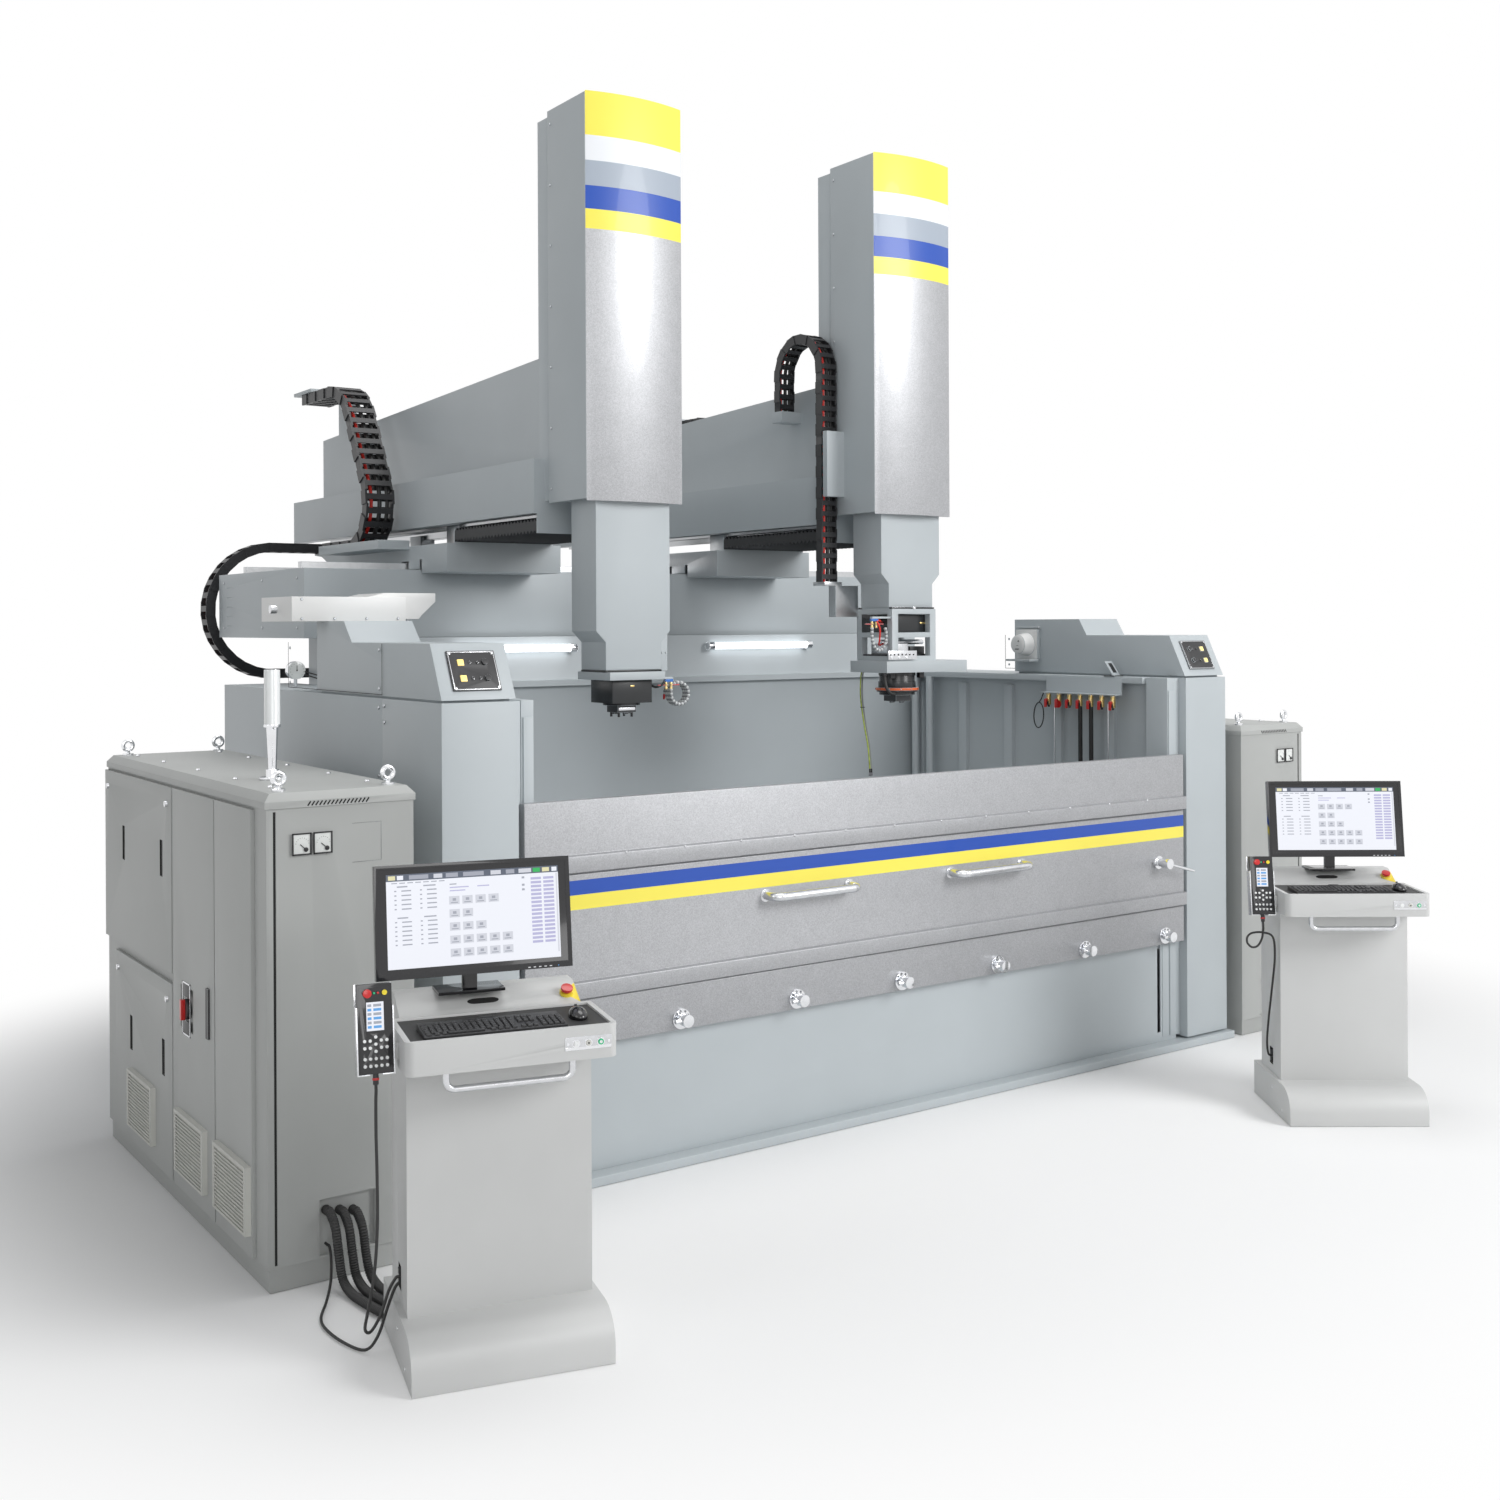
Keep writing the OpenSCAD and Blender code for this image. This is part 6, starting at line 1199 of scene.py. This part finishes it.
# %% Valve row extras, gauge leads and the latch
loop_radius, gauge_lead_radius = 0.0035, 0.0032
loop = [(1.900 + 0.004 * math.cos(a), -0.150 + 0.040 * math.sin(a), 1.790 + 0.075 * math.cos(a))
        for a in (math.radians(12 * k) for k in range(31))]
gauge_leads = [
    [(-2.180, 0.984, 2.095), (-2.120, 0.930, 2.072), (-2.075, 0.850, 2.038), (-2.070, 0.720, 2.0345)],
    [(-2.175, 0.984, 2.110), (-2.105, 0.900, 2.080), (-2.060, 0.820, 2.040), (-2.055, 0.700, 2.0345)]]
shape = bmesh.new()
tube(shape, [(pipe_x, -0.190, pipe_low), (1.902, -0.172, 1.890)] + loop, loop_radius, 0, 8)
rod(shape, (1.886, -0.320, 1.862), (1.892, -0.320, 1.862), 0.022, 1, 24)
for y in (-0.274, -0.690):
    rod(shape, (1.906, y, 0.600), (1.906, y, 1.874), 0.004, 2, 10)
for points in gauge_leads:
    soft_tube(shape, points, gauge_lead_radius, 0, 6, 8)
finished("manifold_extras", shape, [black_rubber, red_plastic, satin_chrome], "machine",
         edge=0)
shape = bmesh.new()
lean = Matrix.Translation((1.965, -0.700, 2.0325)) @ Matrix.Rotation(math.radians(-38), 4, "X")
block(shape, (-0.030, -0.004, 0.000), (0.030, 0.004, 0.105), 0, lean)
block(shape, (-0.016, -0.0055, 0.020), (0.016, -0.0035, 0.090), 1, lean)
block(shape, (1.925, -0.720, 2.0305), (1.999, -0.640, 2.038), 1)
finished("tank_edge_latch", shape, [body_paint, black_plastic], "machine", edge=0.001)
print("valve row extras made")

# %% Tool frame contents and the left quill's edge line
shape = bmesh.new()
block(shape, (0.395, -0.545, 2.292), (0.700, -0.335, 2.386), 0)
block(shape, (0.400, -0.530, 2.146), (0.700, -0.340, 2.176), 1)
block(shape, (0.440, -0.520, 2.176), (0.560, -0.360, 2.232), 2)
block(shape, (0.590, -0.500, 2.176), (0.690, -0.350, 2.216), 1)
rod(shape, (0.410, -0.470, 2.240), (0.700, -0.470, 2.240), 0.013, 2, 20)
block(shape, (0.620, -0.5465, 2.335), (0.660, -0.5450, 2.345), 3)
finished("tool_frame_contents", shape, [black_enamel, black_plastic, satin_chrome, turned_brass],
         body_of_node["quill_2"], edge=0.002)
shape = bmesh.new()
block(shape, (-1.3065, -0.5615, 2.1180), (-1.0035, -0.3300, 2.1265), 0)
block(shape, (-1.0020, -0.5450, 2.1185), (-0.9600, -0.4300, 2.3050), 1)
soft_tube(shape, [(-1.050, -0.520, 2.060), (-1.030, -0.545, 2.044), (-1.005, -0.560, 2.052),
                  (-0.984, -0.560, 2.0725)], 0.006, 2, 6, 10)
finished("left_quill_edge", shape, [black_enamel, body_paint, black_rubber], body_of_node["quill_1"],
         edge=0.001)
screws("left_quill_screws", [(-0.992, -0.5452, 2.205), (-0.970, -0.5452, 2.205)], (0, -1, 0),
       body_of_node["quill_1"], 0.005, 0.003)
print("tool frame filled")

# %% [markdown]
# ## The two consoles
# Both consoles are the same model, set down at different places and turns. Everything on them is drawn in
# the console's own frame, with x along its front and y to its back, and then moved to its place. Which
# face of the CAD console gets which finish is asked in that frame too.

# %% Console bodies
def glowing(shade, colour, light, power=0.9, drift=0.05):
    return finish("lit screen " + shade, colour, 0.3, drift=drift, height=0.000002, glow=(light, power))


lit_white = glowing("white", (0.10, 0.10, 0.11), (0.80, 0.82, 0.88), 0.95, 0.02)
lit_dark = glowing("dark bar", (0.03, 0.035, 0.05), (0.10, 0.12, 0.16), 0.7)
lit_grey = glowing("grey", (0.06, 0.06, 0.07), (0.34, 0.36, 0.42))
lit_key = glowing("key", (0.08, 0.08, 0.09), (0.62, 0.64, 0.70))
lit_violet = glowing("violet", (0.07, 0.07, 0.1), (0.45, 0.44, 0.66))
lit_green = glowing("green", (0.01, 0.08, 0.02), (0.02, 0.42, 0.10))
lit_sand = glowing("sand", (0.08, 0.08, 0.05), (0.75, 0.70, 0.42))
lit_blue = glowing("blue", (0.02, 0.05, 0.09), (0.10, 0.35, 0.75))
console_looks = [console_paint, black_rubber, satin_chrome, bright_chrome, yellow_plastic, gloss_black,
                 painted_opening_shade]


def console_face(place, shift):
    back = place.inverted()

    def pick(centre, normal):
        x, y, z = back @ centre
        up = (back.to_3x3() @ normal).z
        if x < -0.3405 and z > 0.86:
            return 2
        if 1.0645 < z < 1.0695 and up > 0.9 and 0.018 < y < 0.33 and abs(x) < 0.3165:
            return 1
        if z < 0.9695 and abs(x) < 0.225 and y < 0.09 and z > 0.88:
            return 2
        if -0.0031 < y < -0.0005 and z > 1.0:
            return 3
        if math.hypot(x - 0.262, y - 0.372) < 0.026 and 1.085 < z < 1.125 and y > 0.345:
            return 4
        if z > 1.1305 and abs(x - shift) < 0.12:
            return 5
        # A patch round the sockets on the column's left side gets painted shade.
        if -0.2995 < x < -0.285 and 0.315 < y < 0.375 and 0.19 < z < 0.29:
            return 6
        return 0
    return pick


screen_shift = (-0.060, 0.0)
for i in (0, 1):
    dressed(f"console_{i + 1}", console_looks, edge=0.0015,
            choose_face=console_face(console_place[i], screen_shift[i]))
    for k, look in zip("abc", (ceramic_white, filter_plastic, green_plastic)):
        dressed(f"push_button_{i + 1}{k}", [look], edge=0.0006)
    dressed(f"stop_button_{i + 1}", [red_plastic], edge=0.0015)
print("console bodies dressed")

# %% Screens with a generic page
def screen_place(i):
    return (console_place[i] @ Matrix.Translation((screen_shift[i], 0.370, 1.378))
            @ Matrix.Rotation(math.radians(-8), 4, "X"))


lit_looks = [lit_white, lit_dark, lit_grey, lit_key, lit_violet, lit_green, lit_sand]
sheet, bar, grey, key, violet, green, sand = range(len(lit_looks))
view_left, view_top, view_wide, view_high = -0.282, 0.151, 0.564, -0.299
glass_y, layer_step, bezel_y = -0.0680, 0.0003, -0.0698
bar_fields = [(0.012, 0.04, sand), (0.062, 0.035, sheet), (0.13, 0.11, grey), (0.27, 0.05, key),
              (0.34, 0.07, grey), (0.44, 0.12, grey), (0.60, 0.06, key), (0.69, 0.05, grey),
              (0.765, 0.075, key), (0.85, 0.042, green), (0.905, 0.042, sand), (0.962, 0.03, sheet)]
key_rows = [(0.265, 4), (0.405, 2), (0.545, 3), (0.685, 5), (0.825, 5)]


def screen_page(shape, place):
    """Fields of a page: left, top, width and height of each are shares of the view."""
    def put(left, top, wide, high, look, layer=2):
        x, z = view_left + view_wide * left, view_top + view_high * top
        block(shape, (x, glass_y - layer_step * layer, z + view_high * high),
              (x + view_wide * wide, glass_y, z), look, place)

    put(0, 0, 1, 1, sheet, 1)
    put(0, 0, 1, 0.072, bar)
    for left, wide, look in bar_fields:
        put(left, 0.014, wide, 0.045, look, 3)
    for k in range(7):
        put(0.03 + 0.045 * k, 0.088, 0.032, 0.010, grey)
    for top, rows in ((0.17, 5), (0.50, 6)):
        put(0.06, top - 0.045, 0.06, 0.014, grey)
        put(0.21, top - 0.045, 0.07, 0.014, grey)
        for row in range(rows):
            for left, wide in ((0.045, 0.012), (0.085, 0.055), (0.19, 0.012), (0.23, 0.055)):
                put(left, top + 0.048 * row, wide, 0.013, grey)
    for left, top, wide, look in ((0.36, 0.13, 0.04, grey), (0.36, 0.165, 0.11, violet),
                                  (0.52, 0.165, 0.07, violet), (0.36, 0.20, 0.09, violet)):
        put(left, top, wide, 0.012, look)
    for top, count in key_rows:
        for k in range(count):
            left = 0.355 + 0.076 * k
            put(left, top, 0.060, 0.088, key)
            put(left + 0.020, top + 0.022, 0.020, 0.028, grey, 3)
            put(left + 0.010, top + 0.064, 0.040, 0.010, grey, 3)
    for row in range(17):
        for k in range(2):
            put(0.835 + 0.075 * k, 0.115 + 0.043 * row, 0.062, 0.026, violet)
    for top in (0.10, 0.18, 0.23):
        put(0.782, top, 0.016, 0.022, grey)
    put(0.985, 0.08, 0.008, 0.86, key)


for i in (0, 1):
    body, place = f"display_{i + 1}", screen_place(i)
    dressed(f"screen_{i + 1}", [gloss_black], edge=0.002)
    shape = bmesh.new()
    screen_page(shape, place)
    finished(f"screen_page_{i + 1}", shape, lit_looks, body, edge=0)
    shape = bmesh.new()
    for x in [0.17 + 0.018 * k for k in range(5)]:
        block(shape, (x, bezel_y - 0.0008, -0.176), (x + 0.008, bezel_y, -0.173), 0, place)
    rod(shape, (0.272, bezel_y - 0.001, -0.1745), (0.272, bezel_y, -0.1745), 0.0016, 1, 12, place)
    finished(f"screen_marks_{i + 1}", shape, [satin_chrome, lit_blue], body, edge=0)
print("screen pages made")

# %% [markdown]
# ## Keyboards and mice
# A keyboard is a flat wedge with 104 caps in six rows, on a pitch of 19 mm. The caps are copies of one
# tapered block, set by the same tree as the other repeats. The mouse is an oval dome with a wheel.

# %% Keyboards and mice
cap_half, cap_high, cap_top_x, cap_top_y = 0.0080, 0.0055, 0.78, 0.82
tray_top, board_front, board_deep, board_rise = 1.068, 0.036, 0.150, 0.008
key_pitch, row_pitch, top_row_gap, first_key_x, first_row_y = 0.0192, 0.019, 0.006, -0.266, 0.050
board_outline = [(0.036, 1.0682), (0.186, 1.0682), (0.186, 1.0875), (0.180, 1.0878), (0.042, 1.0802),
                 (0.036, 1.0785)]
all_columns = [0.5 + c for c in range(15)] + [16 + c for c in range(3)] + [19.5 + c for c in range(4)]
key_columns = [all_columns] * 6
key_columns[0] = [0.6, 1.9, 3.1, 11.0, 12.2, 13.3, 14.5, 16, 17, 18, 19.5, 20.5, 21.5, 22.5]
key_columns[1] = [c for c in all_columns if c not in (16, 18)]
key_columns[2] = [c for c in all_columns if c not in (16, 17, 18)]
key_columns[5] = [c for c in all_columns if c not in (1.5, 6.5, 11.5) and c < 19]
cap = bmesh.new()
block(cap, (-cap_half, -cap_half, 0), (cap_half, cap_half, cap_high))
for vert in cap.verts:
    if vert.co.z > 0:
        vert.co.x *= cap_top_x
        vert.co.y *= cap_top_y
cap_model = model("keycap_model", cap, edge=0.0006)


def key_spots(place):
    slope = math.atan2(board_rise, board_deep)
    up = place.to_3x3() @ Vector((0, -math.sin(slope), math.cos(slope)))
    side = place.to_3x3() @ Vector((1, 0, 0))
    spots = []
    for row, columns in enumerate(key_columns):
        y = first_row_y + row_pitch * row + (top_row_gap if row == 5 else 0)
        z = tray_top + 0.0125 + board_rise * (y - board_front) / board_deep
        spots += [(place @ Vector((first_key_x + key_pitch * c, y, z)), up, side) for c in columns]
    return spots


def mouse(shape, place):
    """A ball that is drawn out to the mouse's size, narrower at its front and cut flat at its foot."""
    ball = bmesh.ops.create_uvsphere(shape, u_segments=32, v_segments=20, radius=1.0)["verts"]
    for vert in ball:
        x, y, z = vert.co
        narrow, low = 1 - 0.12 * max(0.0, y), 1 - 0.15 * max(0.0, -y)
        vert.co = place @ Vector((0.242 + 0.0305 * x * narrow, 0.150 + 0.052 * y,
                                  1.0683 + max(0.0, 0.006 + 0.029 * z * low)))


for i in (0, 1):
    place = console_place[i]
    shape = bmesh.new()
    prism(shape, board_outline, -0.270, 0.180, "x", 0, place)
    block(shape, (-0.196, 0.0425, 1.0806), (-0.082, 0.0575, 1.0865), 1, place)
    block(shape, (-0.075, 0.180, 1.0780), (-0.030, 0.192, 1.0905), 0, place)
    finished(f"keyboard_{i + 1}", shape, [black_plastic, black_plastic], "machine",
             edge=0.0012, stands_for=["keyboards"])
    copies(f"keycaps_{i + 1}", shape_tree, key_spots(place), {"Shape": cap_model}, black_plastic, "machine",
           "black_plastic", stands_for=["keyboards"])
    shape = bmesh.new()
    mouse(shape, place)
    finished(f"mouse_{i + 1}", shape, [gloss_black], "machine", edge=0,
             stands_for=["keyboards"], angle=60)
    shape = bmesh.new()
    rod(shape, (0.2385, 0.176, 1.099), (0.2455, 0.176, 1.099), 0.0065, 0, 20, place)
    finished(f"mouse_wheel_{i + 1}", shape, [black_rubber], "machine", edge=0.0005)
print("keys on each board:", sum(len(columns) for columns in key_columns))

# %% Plates, screws and the pendants
pendant_looks = [black_plastic, ceramic_white, red_plastic, lit_white, gloss_black, satin_chrome]


pendant_front, pendant_middle, grip_ring = -0.0001, 0.022, 0.0092
lamp_z, key_pitch_z, button_z, tray_skin = 0.243, 0.013, 1.023, 1.0680
lamp_looks = [green_plastic, red_plastic, yellow_plastic, lit_blue, lit_grey, gloss_black]
pendant_lamps = [(-0.002, 0, 0.0035), (0.010, 1, 0.0035), (0.030, 2, 0.008)]
button_marks = [("a", 0.196, 0.0062, 0), ("b", 0.236, 0.0030, 1), ("c", 0.276, 0.0050, 0)]
slot_lean = math.atan2(0.045, 0.085)
slot_round, slot_straight, slot_high = 0.0275, 0.02475, 0.013


def holder_place(i):
    return console_place[i] @ Matrix.Translation(holder_spot) @ Matrix.Rotation(-holder_lean, 4, "X")


def pendant_face(place):
    back = place.inverted()

    def pick(centre, normal):
        x, y, z = back @ centre
        if y < pendant_front:
            return 2 if z > 0.225 else 3 if z > 0.125 else 1
        if -0.021 < z < -0.013 and math.hypot(x, y - pendant_middle) > grip_ring:
            return 2
        return 4 if y < 0.0021 and z > 0 else 0
    return pick


def pendant_front_parts(name, body, holder):
    shape = bmesh.new()
    for x, look, radius in pendant_lamps:
        rod(shape, (x, -0.005, lamp_z), (x, 0.0, lamp_z), radius, look, 16, holder)
    for row in range(6):
        z = 0.137 + key_pitch_z * row
        for x, wide in ((-0.023, 0.012), (-0.005, 0.024)):
            block(shape, (x, -0.0014, z), (x + wide, -0.0010, z + 0.008), 3 + row % 2, holder)
    block(shape, (-0.0285, -0.0008, 0.125), (0.0285, 0.0, 0.221), 5, holder)
    finished(name, shape, lamp_looks, body, edge=0)


def console_screws(name, place):
    shape = bmesh.new()
    for x in (0.170, 0.302):
        rod(shape, (x, -0.0030, button_z), (x, -0.0012, button_z), 0.0042, 0, 16, place)
    for x in (-0.300, -0.150, 0.0, 0.150, 0.300):
        for y in (0.026, 0.316):
            rod(shape, (x, y, tray_skin), (x, y, tray_skin + 0.0018), 0.0038, 0, 16, place)
    for y, z in ((0.270, 0.105), (0.120, 0.040)):
        rod(shape, (-0.3222, y, z), (-0.3200, y, z), 0.0065, 0, 16, place)
    finished(name, shape, [bright_chrome], "machine", edge=0.0005)


def console_openings(name, place):
    """The long slot in the screen's foot as a thin plate of painted shade, and two sockets at the left side
    of the column.
    """
    slope = place @ Matrix.Translation((-0.020, 0.372, 1.0975)) @ Matrix.Rotation(slot_lean, 4, "X")
    shape = bmesh.new()
    slot = [(slot_round * math.cos(a) + math.copysign(slot_straight, math.cos(a)), slot_high * math.sin(a))
            for a in around(32, 0.5)]
    prism(shape, slot, -0.001, 0.0008, "z", 0, slope)
    for z in (0.214, 0.246):
        block(shape, (-0.304, 0.335, z), (-0.2905, 0.357, z + 0.020), 1, place)
    finished(name, shape, [painted_opening_shade, black_plastic], "machine", edge=0)


for i in (0, 1):
    place, holder = console_place[i], holder_place(i)
    dressed(f"pendant_{i + 1}", pendant_looks, edge=0.0012, choose_face=pendant_face(holder))
    pendant_front_parts(f"pendant_lamps_{i + 1}", f"hand_pendant_{i + 1}", holder)
    shape = bmesh.new()
    block(shape, (0.160, -0.0012, 1.002), (0.312, -0.0001, 1.044), 0, place)
    finished(f"button_plate_{i + 1}", shape, [satin_chrome], "machine", edge=0.0004)
    for letter, x, radius, look in button_marks:
        shape = bmesh.new()
        rod(shape, (x, -0.0064, button_z), (x, -0.0058, button_z), radius, look, 20, place)
        finished(f"button_mark_{i + 1}{letter}", shape, [ceramic_white, black_plastic],
                 f"button_{i + 1}{letter}", edge=0)
    console_screws(f"console_screws_{i + 1}", place)
    console_openings(f"console_openings_{i + 1}", place)
print("pendants, plates and screws made")

# %% Plain finishes for the remaining nodes
plain = {"machine_paint": body_paint, "cabinet_paint": cabinet_paint, "console_paint": console_paint,
         "metallic_paint": door_paint, "white_paint": white_paint, "ground_steel": ground_steel,
         "chrome": satin_chrome, "brass": turned_brass, "black_plastic": black_plastic,
         "bellows_cloth": black_cloth, "black_rubber": black_rubber, "hose_plastic": hose_plastic,
         "lamp_glass": lamp_tube, "tower_lens": bright_chrome, "red_plastic": red_plastic,
         "button_plastic": ceramic_white}
for node in nodes:
    nodes[node].data.materials.clear()
    nodes[node].data.materials.append(plain[slot_of_node[node]])
print("plain nodes:", len(nodes))

# %% [markdown]
# ## Floor and light
# The floor near the machine is a pale grey that takes its shadow, and it fades to plain white a few metres
# out, so that it meets the white world without a line. The camera, glossy rays and rays through glass see
# that white world, while the light on the machine comes from a dimmer grey sky and four large soft lamps:
# the front is lit from the right, which leaves the left sides one step darker, as in the picture.

# %% Floor, world and lamps
sky_light, floor_grey, floor_z, floor_half = 0.30, 0.88, -0.002, 60
fade_share, fade_from, fade_to = (0.22, 0.26, 0), 0.75, 1.25


def white_for_sight(tree, seen, lit):
    path = add_node(tree, "ShaderNodeLightPath").outputs
    sight = calculate(tree, "MAXIMUM", path["Is Camera Ray"], path["Is Glossy Ray"])
    sight = calculate(tree, "MAXIMUM", sight, path["Is Transmission Ray"])
    return add_node(tree, "ShaderNodeMixShader", links={0: sight, 1: lit, 2: seen})


world = bpy.data.worlds.new("studio")
world.use_nodes = True
scene.world = world
tree = world.node_tree
tree.nodes.clear()
seen = add_node(tree, "ShaderNodeBackground", {"Color": (1, 1, 1, 1), "Strength": 1.0})
sky = add_node(tree, "ShaderNodeBackground", {"Color": (0.96, 0.98, 1.0, 1), "Strength": sky_light})
mix = white_for_sight(tree, seen.outputs[0], sky.outputs[0])
tree.links.new(mix.outputs[0], add_node(tree, "ShaderNodeOutputWorld").inputs[0])

floor_paint = bpy.data.materials.new("studio floor")
floor_paint.use_nodes = True
tree = floor_paint.node_tree
tree.nodes.clear()
spot = add_node(tree, "ShaderNodeTexCoord").outputs["Object"]
away = add_node(tree, "ShaderNodeVectorMath", {1: fade_share}, {0: spot}, operation="MULTIPLY")
far = add_node(tree, "ShaderNodeVectorMath", links={0: away.outputs[0]}, operation="LENGTH")
fade = add_node(tree, "ShaderNodeMapRange", {"From Min": fade_from, "From Max": fade_to},
                {"Value": far.outputs[1]}, interpolation_type="SMOOTHSTEP")
matt = add_node(tree, "ShaderNodeBsdfDiffuse", {"Color": (floor_grey, floor_grey, floor_grey, 1)})
white = add_node(tree, "ShaderNodeEmission", {"Color": (1, 1, 1, 1), "Strength": 1.0})
sight = white_for_sight(tree, white.outputs[0], matt.outputs[0])
mixed = add_node(tree, "ShaderNodeMixShader",
                 links={0: fade.outputs[0], 1: matt.outputs[0], 2: sight.outputs[0]})
tree.links.new(mixed.outputs[0], add_node(tree, "ShaderNodeOutputMaterial").inputs[0])
mesh = bpy.data.meshes.new("studio_floor")
corners = [(x * floor_half, y * floor_half, floor_z) for x, y in ((-1, -1), (1, -1), (1, 1), (-1, 1))]
mesh.from_pydata(corners, [], [(0, 1, 2, 3)])
mesh.materials.append(floor_paint)
ground = bpy.data.objects.new("studio_floor", mesh)
scene.collection.objects.link(ground)


def soft_lamp(name, spot, aim, size, power):
    light = bpy.data.lights.new(name, "AREA")
    light.shape, light.size, light.energy = "DISK", size, power
    lamp = bpy.data.objects.new(name, light)
    lamp.location = spot
    lamp.rotation_euler = (Vector(aim) - Vector(spot)).to_track_quat("-Z", "Y").to_euler()
    scene.collection.objects.link(lamp)


soft_lamp("front_lamp", spot=(4.5, -11.0, 7.0), aim=(0, 0, 1.8), size=6.0, power=900)
soft_lamp("front_left_lamp", spot=(-6.0, -11.0, 5.0), aim=(-0.5, -0.5, 1.8), size=5.0, power=170)
soft_lamp("left_lamp", spot=(-11.0, -2.0, 6.0), aim=(-1, 0, 2.0), size=5.0, power=80)
soft_lamp("top_lamp", spot=(0.0, -1.0, 11.0), aim=(0, 0, 1.0), size=7.0, power=380)
